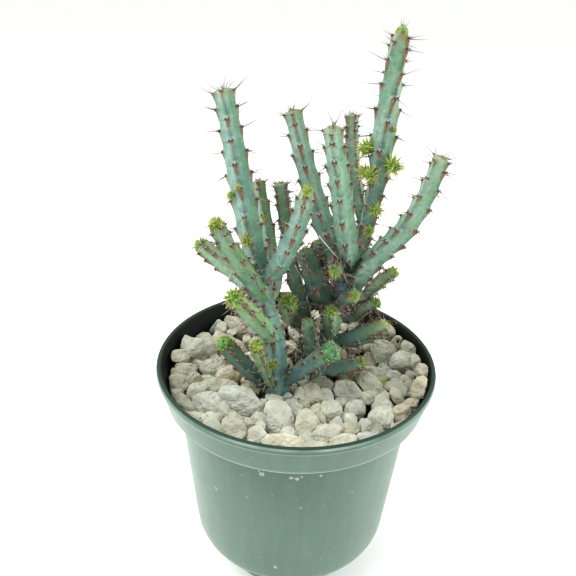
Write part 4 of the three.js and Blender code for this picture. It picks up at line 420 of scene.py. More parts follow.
def cells(P, seed=0):
    """Distance to the nearest scattered point, and a random number of that point."""
    i = np.floor(P).astype(np.int64)
    best = np.full(len(P), 9.0)
    rid = np.zeros(len(P))
    for dx in (-1, 0, 1):
        for dy in (-1, 0, 1):
            for dz in (-1, 0, 1):
                c = i + np.array([dx, dy, dz])
                q = c + np.stack([_hash(c[:, 0], c[:, 1], c[:, 2], seed + k) / 4294967295.0 for k in (1, 2, 3)], 1)
                d = np.linalg.norm(P - q, axis=1)
                m = d < best
                best[m] = d[m]
                rid[m] = (_hash(c[:, 0], c[:, 1], c[:, 2], seed + 9) / 4294967295.0)[m]
    return best, rid


# ------------------------------------------------------------------ meshes from arrays
def make(name, V, quads=None, tris=None, mats=(), midx=None, attrs=None, smooth=True):
    """An object at the origin; V in millimetres."""
    me = bpy.data.meshes.new(name)
    V = np.asarray(V, np.float64) * MM
    nq = 0 if quads is None else len(quads)
    nt = 0 if tris is None else len(tris)
    loops = np.concatenate([np.asarray(quads).reshape(-1) if nq else np.zeros(0, int),
                            np.asarray(tris).reshape(-1) if nt else np.zeros(0, int)]).astype(np.int32)
    starts = np.concatenate([np.arange(nq) * 4, nq * 4 + np.arange(nt) * 3]).astype(np.int32)
    me.vertices.add(len(V))
    me.vertices.foreach_set("co", V.astype(np.float32).ravel())
    me.loops.add(len(loops))
    me.loops.foreach_set("vertex_index", loops)
    me.polygons.add(nq + nt)
    me.polygons.foreach_set("loop_start", starts)
    me.update(calc_edges=True)
    me.validate()
    for m in mats:
        me.materials.append(m)
    if midx is not None:
        me.polygons.foreach_set("material_index", np.asarray(midx, np.int32))
    me.polygons.foreach_set("use_smooth", np.full(len(me.polygons), smooth, bool))
    for k, a in (attrs or {}).items():
        a = np.asarray(a, np.float32)
        if a.ndim == 2:
            me.attributes.new(k, "FLOAT_COLOR", "POINT").data.foreach_set("color", np.c_[a, np.ones(len(a), np.float32)].ravel())
        else:
            me.attributes.new(k, "FLOAT", "POINT").data.foreach_set("value", a.ravel())
    me.update()
    ob = bpy.data.objects.new(name, me)
    scene.collection.objects.link(ob)
    return ob


def outward(V, quads, tris):
    """True if the faces look out (positive volume)."""
    vol = 0.0
    if quads is not None and len(quads):
        a, b, c, d = (V[quads[:, k]] for k in range(4))
        vol += np.einsum("ij,ij->", a, np.cross(b, c)) + np.einsum("ij,ij->", a, np.cross(c, d))
    if tris is not None and len(tris):
        a, b, c = (V[tris[:, k]] for k in range(3))
        vol += np.einsum("ij,ij->", a, np.cross(b, c))
    return vol > 0


def flip_to_out(V, quads, tris):
    if not outward(V, quads, tris):
        quads = None if quads is None else quads[:, ::-1]
        tris = None if tris is None else tris[:, ::-1]
    return quads, tris


class Batch:
    """Gathers small meshes into one."""

    def __init__(self):
        self.V, self.Q, self.T, self.A, self.n = [], [], [], {}, 0
        self.mq, self.mt = [], []

    def add(self, V, Q=None, T=None, mat=0, **attrs):
        V = np.asarray(V, float).reshape(-1, 3)
        if Q is not None and len(Q):
            self.Q.append(np.asarray(Q) + self.n)
            self.mq.append(np.full(len(Q), mat))
        if T is not None and len(T):
            self.T.append(np.asarray(T) + self.n)
            self.mt.append(np.full(len(T), mat))
        for k in attrs:
            v = np.asarray(attrs[k], float)
            if v.ndim == 0:
                v = np.full(len(V), float(v))
            elif v.ndim == 1 and v.size == 3 and len(V) != 3:
                v = np.tile(v, (len(V), 1))
            self.A.setdefault(k, []).append((self.n, v))
        self.V.append(V)
        self.n += len(V)

    def make(self, name, mats):
        V = np.vstack(self.V)
        Q = np.vstack(self.Q) if self.Q else None
        T = np.vstack(self.T) if self.T else None
        midx = np.concatenate(self.mq + self.mt)
        attrs = {}
        for k, parts in self.A.items():
            dim = parts[0][1].ndim
            full = np.zeros((self.n, 3)) if dim == 2 else np.zeros(self.n)
            for at, v in parts:
                full[at:at + len(v)] = v
            attrs[k] = full
        return make(name, V, Q, T, mats, midx, attrs)


# ------------------------------------------------------------------ materials
def srgb(r, g, b):
    return tuple(((c / 12.92) if c <= 0.04045 else ((c + 0.055) / 1.055) ** 2.4) for c in (r, g, b)) + (1.0,)


class Mat:
    def __init__(self, name):
        self.m = bpy.data.materials.new(name)
        self.m.use_nodes = True
        self.t = self.m.node_tree
        self.t.nodes.clear()
        out = self.t.nodes.new("ShaderNodeOutputMaterial")
        self.b = self.t.nodes.new("ShaderNodeBsdfPrincipled")
        self.t.links.new(self.b.outputs[0], out.inputs[0])
        self.coord = self.t.nodes.new("ShaderNodeTexCoord").outputs["Object"]

    def put(self, node, socket, value):
        s = node.inputs[socket]
        if hasattr(value, "links"):
            self.t.links.new(value, s)
        else:
            s.default_value = value

    def attr(self, name, kind="Fac"):
        n = self.t.nodes.new("ShaderNodeAttribute")
        n.attribute_name = name
        return n.outputs[kind]

    def noise(self, scale, detail=3.0, rough=0.5, coord=None, distortion=0.0):
        n = self.t.nodes.new("ShaderNodeTexNoise")
        self.t.links.new(coord or self.coord, n.inputs["Vector"])
        n.inputs["Scale"].default_value = scale
        n.inputs["Detail"].default_value = detail
        n.inputs["Roughness"].default_value = rough
        n.inputs["Distortion"].default_value = distortion
        return n.outputs["Fac"]

    def voronoi(self, scale, feature="F1", coord=None, out="Distance"):
        n = self.t.nodes.new("ShaderNodeTexVoronoi")
        n.feature = feature
        self.t.links.new(coord or self.coord, n.inputs["Vector"])
        n.inputs["Scale"].default_value = scale
        return n.outputs[out]

    def stretch(self, x, y, z):
        n = self.t.nodes.new("ShaderNodeMapping")
        self.t.links.new(self.coord, n.inputs["Vector"])
        n.inputs["Scale"].default_value = (x, y, z)
        return n.outputs[0]

    def ramp(self, fac, *stops, ease="LINEAR"):
        n = self.t.nodes.new("ShaderNodeValToRGB")
        n.color_ramp.interpolation = ease
        el = n.color_ramp.elements
        while len(el) < len(stops):
            el.new(0.5)
        for e, (p, c) in zip(el, stops):
            e.position = p
            e.color = c if hasattr(c, "__len__") else (c, c, c, 1.0)
        self.t.links.new(fac, n.inputs[0])
        return n.outputs[0]

    def mix(self, fac, a, b, how="MIX"):
        n = self.t.nodes.new("ShaderNodeMix")
        n.data_type = "RGBA"
        n.blend_type = how
        n.clamp_factor = True
        for s, v in ((n.inputs[0], fac), (n.inputs[6], a), (n.inputs[7], b)):
            if hasattr(v, "links"):
                self.t.links.new(v, s)
            else:
                s.default_value = v
        return n.outputs[2]

    def math(self, op, a, b=0.0, clamp=False):
        n = self.t.nodes.new("ShaderNodeMath")
        n.operation = op
        n.use_clamp = clamp
        for s, v in ((n.inputs[0], a), (n.inputs[1], b)):
            if hasattr(v, "links"):
                self.t.links.new(v, s)
            else:
                s.default_value = v
        return n.outputs[0]

    def near(self, p, r, soft=0.5, wobble=0.0):
        """1 inside a ball of r mm round p (mm), softened, its edge broken by noise."""
        n = self.t.nodes.new("ShaderNodeVectorMath")
        n.operation = "DISTANCE"
        self.t.links.new(self.coord, n.inputs[0])
        n.inputs[1].default_value = tuple(c * MM for c in p)
        d = n.outputs["Value"]
        if wobble:
            d = self.math("ADD", d, self.math("MULTIPLY", self.math("SUBTRACT", self.noise(900, 3), 0.5), wobble * MM))
        m = self.t.nodes.new("ShaderNodeMapRange")
        self.t.links.new(d, m.inputs["Value"])
        m.inputs["From Min"].default_value = r * MM
        m.inputs["From Max"].default_value = r * (1 - soft) * MM
        return m.outputs[0]

    def bump(self, height, distance, normal=None, strength=1.0):
        n = self.t.nodes.new("ShaderNodeBump")
        n.inputs["Distance"].default_value = distance * MM
        n.inputs["Strength"].default_value = strength
        self.t.links.new(height, n.inputs["Height"])
        if normal is not None:
            self.t.links.new(normal, n.inputs["Normal"])
        self.t.links.new(n.outputs[0], self.b.inputs["Normal"])
        return n.outputs[0]

    def set(self, **kw):
        for k, v in kw.items():
            self.put(self.b, k.replace("_", " "), v)


def mat_pot(name, specular, sheen):
    k = Mat(name)
    body = k.ramp(k.noise(38, 3), (0.30, srgb(0.240, 0.356, 0.294)), (0.70, srgb(0.276, 0.400, 0.330)))
    flow = k.noise(9, 4, 0.6, k.stretch(30, 30, 3))
    body = k.mix(k.math("MULTIPLY", k.ramp(flow, (0.45, 0.0), (0.75, 1.0)), 0.10), body, srgb(0.52, 0.60, 0.54))
    dust = k.ramp(k.noise(420, 5, 0.65), (0.60, 0.0), (0.74, 1.0))
    body = k.mix(k.math("MULTIPLY", dust, 0.16), body, srgb(0.72, 0.74, 0.68))
    inner = k.attr("inner")
    # painted shade: the inside wall of the pot is painted a near black green
    painted_inside_shade = k.ramp(k.noise(60, 3), (0.3, srgb(0.024, 0.044, 0.030)), (0.7, srgb(0.042, 0.066, 0.048)))
    # painted shade: the top of the lip is painted a darker green than the plastic
    lip = k.attr("lip")
    body = k.mix(lip, body, srgb(0.150, 0.222, 0.188))
    # painted highlight: a pale line under the rim at the front
    body = k.mix(k.attr("rim"), body, srgb(0.66, 0.74, 0.69))
    body = k.mix(inner, body, painted_inside_shade)
    # painted highlight: pale lines along the lower edge of the collar, just under the rim and at the top of the foot
    crease = k.attr("crease")
    body = k.mix(k.math("MULTIPLY", crease, k.ramp(k.noise(55, 4, 0.7), (0.3, 0.28), (0.7, 0.72))), body, srgb(0.70, 0.78, 0.71))
    marks = None
    for p, r, w in WATER_MARKS:
        m = k.math("MULTIPLY", k.math("SUBTRACT", k.near(p, r, 0.4, r * 1.1), k.math("MULTIPLY", k.near(p, r * 0.72, 0.5, r * 1.0), 0.7)), w)
        marks = m if marks is None else k.math("MAXIMUM", marks, m)
    body = k.mix(marks, body, srgb(0.86, 0.88, 0.84))
    k.put(k.b, "Base Color", body)
    k.put(k.b, "Roughness", k.math("ADD", k.ramp(k.noise(150, 3), (0.3, 0.33), (0.7, 0.40)), k.math("ADD", k.math("MULTIPLY", inner, 0.18), k.math("MULTIPLY", lip, 0.16))))
    h = k.bump(k.noise(700, 2), 0.020)
    k.bump(k.noise(70, 2), 0.06, h)
    k.set(IOR=1.5, **{"Specular IOR Level": specular, "Sheen Weight": sheen, "Sheen Roughness": 0.42, "Sheen Tint": (0.93, 1.0, 0.90, 1.0)})
    return k.m


def mat_mix():
    k = Mat("potting_mix")
    c = k.ramp(k.noise(500, 5, 0.7), (0.3, srgb(0.07, 0.06, 0.05)), (0.52, srgb(0.20, 0.18, 0.145)), (0.75, srgb(0.40, 0.37, 0.31)))
    k.put(k.b, "Base Color", c)
    k.set(Roughness=0.95)
    k.bump(k.noise(900, 5, 0.7), 0.5)
    return k.m


def mat_pumice(name="pumice"):
    k = Mat(name)
    tint = k.attr("tint", "Color")
    shade = k.ramp(k.noise(260, 5, 0.65), (0.25, (0.79, 0.79, 0.77, 1)), (0.75, (1.15, 1.17, 1.16, 1)))
    c = k.mix(1.0, tint, shade, "MULTIPLY")
    warm = k.ramp(k.noise(130, 3), (0.5, 0.0), (0.75, 1.0))
    c = k.mix(k.math("MULTIPLY", warm, 0.26), c, srgb(0.70, 0.67, 0.54))
    moss = k.ramp(k.noise(60, 3), (0.5, 0.0), (0.8, 1.0))
    c = k.mix(k.math("MULTIPLY", moss, 0.20), c, srgb(0.60, 0.64, 0.53))
    speck = k.ramp(k.voronoi(1500), (0.10, 1.0), (0.26, 0.0))
    c = k.mix(k.math("MULTIPLY", speck, 0.38), c, srgb(0.42, 0.39, 0.33))
    grain = k.ramp(k.noise(2600, 2), (0.35, (0.86, 0.86, 0.85, 1)), (0.65, (1.06, 1.06, 1.06, 1)))
    c = k.mix(1.0, c, grain, "MULTIPLY")
    # painted shade in the pits and holes of the stones
    c = k.mix(k.attr("pit"), c, srgb(0.22, 0.19, 0.15))
    c = k.mix(k.math("MULTIPLY", k.attr("green"), 0.8), c, srgb(0.64, 0.68, 0.36))
    k.put(k.b, "Base Color", c)
    k.put(k.b, "Roughness", k.ramp(k.noise(600, 3), (0.3, 0.86), (0.7, 0.97)))
    h = k.bump(k.noise(520, 6, 0.70, k.stretch(1, 1, 1.6)), 0.50)
    k.bump(k.noise(3000, 3), 0.12, h)
    k.set(**{"Specular IOR Level": 0.25})
    return k.m


def mat_skin(name="stem_skin"):
    """'bloom' whitens a flank, partly with the plant's real wax and partly as painted sheen; 'edge' marks the angles,
    'stain' the skin round a shield and 'horn' the shield itself.
    """
    k = Mat(name)
    blue, dark, lime, edge, stain, bloom, horn = (k.attr(a) for a in ("blue", "dark", "lime", "edge", "stain", "bloom", "horn"))
    along = k.attr("along")
    c = k.mix(blue, srgb(0.352, 0.566, 0.418), srgb(0.248, 0.480, 0.462))
    navy = k.attr("navy")
    # slate blue of the old skin; the strongest patches are painted much lighter, painted light that lifts them out of
    # the shade deep in the plant
    c = k.mix(navy, c, k.ramp(navy, (0.45, srgb(0.290, 0.490, 0.640)), (0.90, srgb(0.480, 0.720, 0.940))))
    mottle = k.noise(170, 4, 0.6)
    c = k.mix(1.0, c, k.ramp(mottle, (0.30, (0.70, 0.78, 0.80, 1)), (0.70, (1.14, 1.16, 1.13, 1))), "MULTIPLY")
    c = k.mix(lime, c, srgb(0.50, 0.63, 0.31))
    c = k.mix(k.math("MULTIPLY", edge, 0.55), c, srgb(0.245, 0.430, 0.365))
    # whitening: partly the real wax of the skin, partly painted sheen on flanks that face left and on the stems in
    # front
    wax = k.ramp(k.noise(520, 5, 0.7), (0.36, 0.45), (0.66, 1.0))
    c = k.mix(k.math("MULTIPLY", bloom, wax), c, srgb(0.70, 0.79, 0.74))
    flake = k.ramp(k.noise(900, 4, 0.7, k.stretch(1, 1, 0.5)), (0.60, 0.0), (0.72, 1.0))
    c = k.mix(k.math("MULTIPLY", flake, 0.36), c, srgb(0.76, 0.86, 0.81))
    # dark share: painted shade on stems in shade, and the real dark lines under the shields
    c = k.mix(dark, c, srgb(0.085, 0.175, 0.150))
    blotch = k.ramp(k.noise(430, 3, 0.6, None, 0.6), (0.56, 0.0), (0.66, 1.0))
    c = k.mix(k.math("MULTIPLY", blotch, 0.46), c, srgb(0.190, 0.345, 0.305))
    scar = k.ramp(k.noise(330, 2, 0.5, None, 1.2), (0.62, 0.0), (0.70, 1.0))
    c = k.mix(k.math("MULTIPLY", scar, 0.42), c, srgb(0.46, 0.38, 0.27))
    tan = k.ramp(k.noise(210, 3, 0.6, None, 0.8), (0.60, 0.0), (0.72, 1.0))
    c = k.mix(k.math("MULTIPLY", tan, 0.22), c, srgb(0.66, 0.56, 0.38))
    rust = k.ramp(k.noise(900, 3), (0.35, srgb(0.40, 0.32, 0.21)), (0.65, srgb(0.56, 0.44, 0.30)))
    c = k.mix(stain, c, rust)
    worn = k.ramp(k.noise(1100, 3, 0.7), (0.3, 0.55), (0.7, 1.15))
    fade = k.ramp(k.math("MULTIPLY", horn, worn), (0.05, 0.0), (0.46, 1.0), ease="EASE")
    brown = k.ramp(along, (0.05, srgb(0.31, 0.40, 0.27)), (0.32, srgb(0.37, 0.345, 0.225)), (0.60, srgb(0.475, 0.345, 0.250)), (0.82, srgb(0.40, 0.265, 0.210)), (0.95, srgb(0.23, 0.165, 0.145)))
    blot = k.ramp(k.noise(1700, 3, 0.7), (0.35, (0.74, 0.72, 0.72, 1)), (0.65, (1.18, 1.18, 1.16, 1)))
    brown = k.mix(1.0, brown, blot, "MULTIPLY")
    c = k.mix(k.math("MULTIPLY", fade, 0.88), c, brown)
    dot = k.ramp(k.voronoi(1900), (0.06, 1.0), (0.16, 0.0))
    c = k.mix(k.math("MULTIPLY", dot, 0.20), c, srgb(0.80, 0.88, 0.84))
    # painted glints: small pale spots scattered over the skin
    painted_glint = k.ramp(k.voronoi(820), (0.05, 1.0), (0.13, 0.0))
    c = k.mix(k.math("MULTIPLY", painted_glint, 0.45), c, srgb(0.86, 0.90, 0.86))
    k.put(k.b, "Base Color", c)
    k.put(k.b, "Roughness", k.ramp(k.noise(420, 4), (0.3, 0.38), (0.7, 0.58)))
    h = k.bump(k.noise(1500, 4, 0.6), 0.06)
    k.bump(k.noise(260, 3), 0.16, h)
    k.set(IOR=1.42, **{"Subsurface Weight": 0.10, "Subsurface Scale": 0.0012})
    k.b.inputs["Subsurface Radius"].default_value = (0.5, 1.0, 0.4)
    return k.m


def mat_horn():
    """Spines; 'along' runs up a spine, 'age' greys it."""
    k = Mat("spine_horn")
    along, age = k.attr("along"), k.attr("age")
    young = k.ramp(along, (0.02, srgb(0.30, 0.19, 0.16)), (0.30, srgb(0.47, 0.33, 0.28)), (0.75, srgb(0.42, 0.32, 0.30)), (0.96, srgb(0.18, 0.13, 0.12)))
    grey = k.ramp(along, (0.02, srgb(0.36, 0.29, 0.26)), (0.35, srgb(0.60, 0.54, 0.49)), (0.8, srgb(0.50, 0.45, 0.42)), (1.0, srgb(0.18, 0.14, 0.13)))
    c = k.mix(age, young, grey)
    c = k.mix(1.0, c, k.ramp(k.noise(1400, 4, 0.6), (0.3, (0.78, 0.78, 0.78, 1)), (0.7, (1.2, 1.2, 1.2, 1))), "MULTIPLY")
    k.put(k.b, "Base Color", c)
    k.put(k.b, "Roughness", k.ramp(k.noise(900, 3), (0.3, 0.42), (0.7, 0.62)))
    k.bump(k.noise(2200, 3, 0.6), 0.05)
    return k.m


def mat_bud():
    k = Mat("young_leaf")
    tip = k.attr("leaf")
    hue = k.attr("hue")
    fresh = k.ramp(tip, (0.0, srgb(0.13, 0.29, 0.09)), (0.38, srgb(0.33, 0.56, 0.16)), (0.78, srgb(0.60, 0.76, 0.27)), (1.0, srgb(0.76, 0.62, 0.30)))
    yellow = k.ramp(tip, (0.0, srgb(0.24, 0.34, 0.12)), (0.42, srgb(0.56, 0.66, 0.22)), (0.80, srgb(0.77, 0.80, 0.36)), (1.0, srgb(0.82, 0.62, 0.36)))
    c = k.mix(hue, fresh, yellow)
    cool = k.ramp(tip, (0.0, srgb(0.13, 0.30, 0.22)), (0.38, srgb(0.27, 0.51, 0.34)), (0.78, srgb(0.50, 0.70, 0.50)), (1.0, srgb(0.84, 0.88, 0.78)))
    c = k.mix(k.attr("cool"), c, cool)
    c = k.mix(1.0, c, k.ramp(k.noise(1100, 3), (0.3, (0.78, 0.82, 0.78, 1)), (0.7, (1.16, 1.14, 1.12, 1))), "MULTIPLY")
    k.put(k.b, "Base Color", c)
    k.put(k.b, "Roughness", k.ramp(k.noise(700, 3), (0.3, 0.40), (0.7, 0.58)))
    k.bump(k.noise(2000, 3), 0.05)
    k.set(**{"Subsurface Weight": 0.15, "Subsurface Scale": 0.001})
    return k.m


def mat_dry(name, a, b):
    k = Mat(name)
    k.put(k.b, "Base Color", k.ramp(k.noise(700, 4), (0.3, a), (0.7, b)))
    k.put(k.b, "Roughness", k.ramp(k.noise(500, 3), (0.3, 0.6), (0.7, 0.85)))
    k.bump(k.noise(1800, 3), 0.04)
    return k.m


def mat_floor():
    k = Mat("floor")
    k.put(k.b, "Base Color", k.ramp(k.noise(6, 3), (0.3, (0.945, 0.945, 0.945, 1)), (0.7, (0.955, 0.955, 0.955, 1))))
    k.put(k.b, "Roughness", k.ramp(k.noise(14, 3), (0.3, 0.85), (0.7, 0.95)))
    k.set(**{"Specular IOR Level": 0.1})
    return k.m


# small dried splashes on the pot: place (mm), radius (mm), strength
WATER_MARKS = [
    ((-9.6, -43.3, 76.2), 0.98, 0.75),
    ((0.1, -44.3, 76.1), 0.72, 0.70),
    ((2.1, -44.2, 75.7), 0.68, 0.80),
    ((3.7, -44.2, 76.7), 0.47, 0.70),
    ((10.0, -43.2, 76.6), 0.60, 0.70),
    ((-4.3, -40.0, 26.7), 0.85, 0.60),
    ((-10.6, -43.2, 77.3), 0.43, 0.50),
    ((-26.7, -33.6, 58.7), 1.11, 0.25),
    ((4.0, -42.9, 61.1), 0.51, 0.35),
    ((-14.8, -40.6, 62.5), 0.43, 0.30),
    ((21.6, -37.6, 64.4), 0.51, 0.30),
]

# ------------------------------------------------------------------ camera
POS = (0.0, -0.191995, 0.222603)
RIGHT = Vector((0.9987955, 0.0374244, 0.0317323))
UP = Vector((-0.0453314, 0.4563255, 0.8886575))
FWD = Vector((-0.0187773, 0.8890255, -0.4574724))
cam_data = bpy.data.cameras.new("camera")
cam_data.lens = 37.5
cam_data.sensor_width = 36.0
cam_data.clip_start = 0.005
cam_data.clip_end = 60
cam = bpy.data.objects.new("camera", cam_data)
cam.matrix_world = Matrix.Translation(POS) @ Matrix((RIGHT, UP, -FWD)).transposed().to_4x4()
scene.collection.objects.link(cam)
scene.camera = cam

# ------------------------------------------------------------------ pot
def rounded(profile, radii, steps=5):
    """The profile's corners rounded: each corner gets an arc of about its radius."""
    P = [np.array(p, float) for p in profile]
    out = [P[0]]
    for i in range(1, len(P) - 1):
        a, b, c = P[i - 1], P[i], P[i + 1]
        u, v = a - b, c - b
        lu, lv = np.linalg.norm(u), np.linalg.norm(v)
        r = min(radii[i], 0.45 * lu, 0.45 * lv)
        p, q = b + u / lu * r, b + v / lv * r
        for k in range(steps + 1):
            t = k / steps
            out.append((1 - t) ** 2 * p + 2 * t * (1 - t) * b + t * t * q)
    out.append(P[-1])
    return out


def inner_radius(z):
    zl = RIM_HEIGHT - BAND_H
    if z > zl + 0.9:
        return BAND_LOW_R - 1.9 + (RIM_IN_R - BAND_LOW_R + 1.9) * (z - zl - 0.9) / (BAND_H - 1.8)
    return BODY_LOW_R - WALL + (BODY_TOP_R - 1.5 - BODY_LOW_R + WALL) * (z - BODY_LOW_Z) / (zl - BODY_LOW_Z)


def build_pot(mat, mat_in):
    z0 = RIM_HEIGHT
    prof = [
        ((0, 0.9), 0), ((20.0, 0.9), 0.4), ((21.2, 0.0), 0.3), ((FOOT_R - 0.7, 0.0), 0.3), ((FOOT_R, 0.8), 0.5),
        ((FOOT_TOP_R, FOOT_H - 0.2), 0.5), ((FOOT_TOP_R + 0.9, FOOT_H + 0.9), 0.7), ((36.8, 16.0), 1.4), ((38.7, 17.7), 1.2),
        ((39.6, 20.0), 1.4), ((BODY_LOW_R, BODY_LOW_Z), 2.0), ((BODY_TOP_R, z0 - BAND_H - 1.0), 0.5),
        ((BODY_TOP_R + 0.5, z0 - BAND_H - 0.35), 0.3), ((BAND_LOW_R - 0.5, z0 - BAND_H - 0.3), 0.35), ((BAND_LOW_R, z0 - BAND_H + 0.3), 0.4),
        ((BAND_LOW_R + 0.42, z0 - BAND_H + 2.1), 0.5), ((BAND_LOW_R + 2.35, z0 - 2.9), 0.5), ((RIM_R - 0.05, z0 - 2.2), 0.3),
        ((RIM_R, z0 - 0.8), 0.45), ((RIM_R - 0.6, z0), 0.5), ((RIM_IN_R + 0.55, z0 - 0.05), 0.4), ((RIM_IN_R, z0 - 0.9), 0.4),
        ((BAND_LOW_R - 1.7, z0 - BAND_H + WALL), 0.6), ((BAND_LOW_R - 2.3, z0 - BAND_H + 0.8), 0.5),
        ((BODY_TOP_R - 1.0, z0 - BAND_H + 0.7), 0.5), ((BODY_TOP_R - 1.5, z0 - BAND_H), 0.5),
        ((BODY_LOW_R - WALL, BODY_LOW_Z + 0.1), 2.0), ((38.2, 20.2), 1.2), ((37.6, 18.6), 1.0), ((36.2, 17.4), 1.0),
        ((FOOT_TOP_R, FOOT_H + 2.2), 0.6), ((FOOT_TOP_R - 1.2, FOOT_H + 1.0), 0.6), ((FOOT_R - 1.2, 1.9), 0.4), ((FOOT_R - 1.8, WALL + 0.9), 0.4), ((0, WALL + 0.9), 0),
    ]
    pts = rounded([p for p, _ in prof], [r for _, r in prof])
    fine = [pts[0]]
    for a, b in zip(pts, pts[1:]):
        k = max(1, int(math.ceil(np.linalg.norm(b - a) / 2.5)))
        fine += [a + (b - a) * i / k for i in range(1, k + 1)]
    F = np.array(fine)
    top = int(np.argmax(F[:, 1] - 0.02 * F[:, 0]))
    n = 224
    ang = np.linspace(0, 2 * np.pi, n, endpoint=False)
    ring = F[1:-1]
    V = np.zeros((len(ring), n, 3))
    V[:, :, 0] = ring[:, 0, None] * np.cos(ang)
    V[:, :, 1] = ring[:, 0, None] * np.sin(ang)
    V[:, :, 2] = ring[:, 1, None]
    # the moulding is never perfectly round
    sway = 1 + 0.0022 * np.sin(2 * ang + 0.7) + 0.0012 * np.sin(3 * ang + 2.0)
    k = np.clip((ring[:, 1] - 20) / 70, 0, 1)[:, None]
    V[:, :, 0] *= 1 + (sway - 1) * k
    V[:, :, 1] *= 1 + (sway - 1) * k
    V = V.reshape(-1, 3)
    m = len(ring)
    i, j = np.meshgrid(np.arange(m - 1), np.arange(n), indexing="ij")
    a, b = i * n + j, i * n + (j + 1) % n
    Q = np.stack([a, b, b + n, a + n], -1).reshape(-1, 4)
    low, high = len(V), len(V) + 1
    V = np.vstack([V, [0, 0, F[0, 1]], [0, 0, F[-1, 1]]])
    jj = np.arange(n)
    T = np.vstack([np.stack([np.full(n, low), (jj + 1) % n, jj], 1), np.stack([np.full(n, high), (m - 1) * n + jj, (m - 1) * n + (jj + 1) % n], 1)])
    Q, T = flip_to_out(V, Q, T)
    r, z = ring[:, 0], ring[:, 1]
    number = np.arange(1, len(F) - 1)
    outer = number < top
    inner_ring = ((number > top) & (r < RIM_IN_R + 0.35)).astype(float)
    # the lip ring carries painted shade
    lip_ring = np.where((z > RIM_HEIGHT - 0.35) & (r > RIM_IN_R - 0.5), 1.0, 0.0)
    rim_ring = np.where(outer & (z > RIM_HEIGHT - 1.15) & (z < RIM_HEIGHT - 0.35) & (r > RIM_IN_R), 1.0, 0.0)
    # painted highlight along the ledges of the moulding
    crease = np.zeros(m)
    crease += np.exp(-((z - (RIM_HEIGHT - BAND_H + 0.25)) / 0.34) ** 2) * (r > BAND_LOW_R - 1.2) * outer
    crease += 0.10 * np.exp(-((z - (RIM_HEIGHT - 2.55)) / 0.25) ** 2) * outer
    crease += 0.8 * np.exp(-((z - (FOOT_H + 0.5)) / 0.35) ** 2) * (r < 33) * outer
    inner = np.concatenate([np.repeat(inner_ring, n), [0, 1]])
    cr = np.concatenate([np.repeat(np.clip(crease, 0, 1), n), [0, 0]])
    lip = np.concatenate([np.repeat(lip_ring, n), [0, 0]])
    # painted highlight: a pale band under the rim, only on the side toward the front, broken into streaks
    front = np.clip(-np.sin(ang) * 6.0 - 5.0, 0, 1) * np.clip(0.75 + 0.35 * np.sin(9 * ang) + 0.25 * np.sin(23 * ang + 1), 0.2, 1)
    rim = np.concatenate([(rim_ring[:, None] * front[None]).ravel() * 0.55, [0, 0]])
    ob = make("pot_moulding", V, Q, T, [mat, mat_in], None, {"inner": inner, "crease": cr, "lip": lip, "rim": rim})
    # drain holes through the shoulder
    cut = Batch()
    for h in range(DRAIN_HOLES):
        t = (h + 0.5) * 2 * math.pi / DRAIN_HOLES
        cx, cy = DRAIN_CIRCLE_R * math.cos(t), DRAIN_CIRCLE_R * math.sin(t)
        s = 32
        aa = np.arange(s) * 2 * np.pi / s
        lo = np.stack([cx + DRAIN_HOLE_R * np.cos(aa), cy + DRAIN_HOLE_R * np.sin(aa), np.full(s, 9.5)], 1)
        hi = lo + [0, 0, 12]
        q = np.stack([np.arange(s), (np.arange(s) + 1) % s, (np.arange(s) + 1) % s + s, np.arange(s) + s], 1)
        c0, c1 = 2 * s, 2 * s + 1
        t3 = np.vstack([np.stack([np.full(s, c0), (np.arange(s) + 1) % s, np.arange(s)], 1), np.stack([np.full(s, c1), np.arange(s) + s, (np.arange(s) + 1) % s + s], 1)])
        cut.add(np.vstack([lo, hi, [cx, cy, 9.5], [cx, cy, 21.5]]), q, t3)
    tool = cut.make("drain_cut", [])
    mod = ob.modifiers.new("holes", "BOOLEAN")
    mod.object = tool
    mod.operation = "DIFFERENCE"
    mod.solver = "EXACT"
    dg = bpy.context.evaluated_depsgraph_get()
    me = bpy.data.meshes.new_from_object(ob.evaluated_get(dg))
    ob.modifiers.clear()
    old = ob.data
    ob.data = me
    bpy.data.meshes.remove(old)
    bpy.data.objects.remove(tool)
    me.polygons.foreach_set("use_smooth", np.ones(len(me.polygons), bool))
    # the inside and the lip get a shaded copy of the plastic, with weak specular and no sheen, so that they render
    # darker
    shaded_copy_faces = np.zeros(len(me.vertices), np.float32)
    for name in ("inner", "lip"):
        a = np.zeros(len(me.vertices), np.float32)
        me.attributes[name].data.foreach_get("value", a)
        shaded_copy_faces = np.maximum(shaded_copy_faces, a)
    for f in me.polygons:
        f.material_index = int(np.mean([shaded_copy_faces[v] for v in f.vertices]) > 0.5)
    return ob


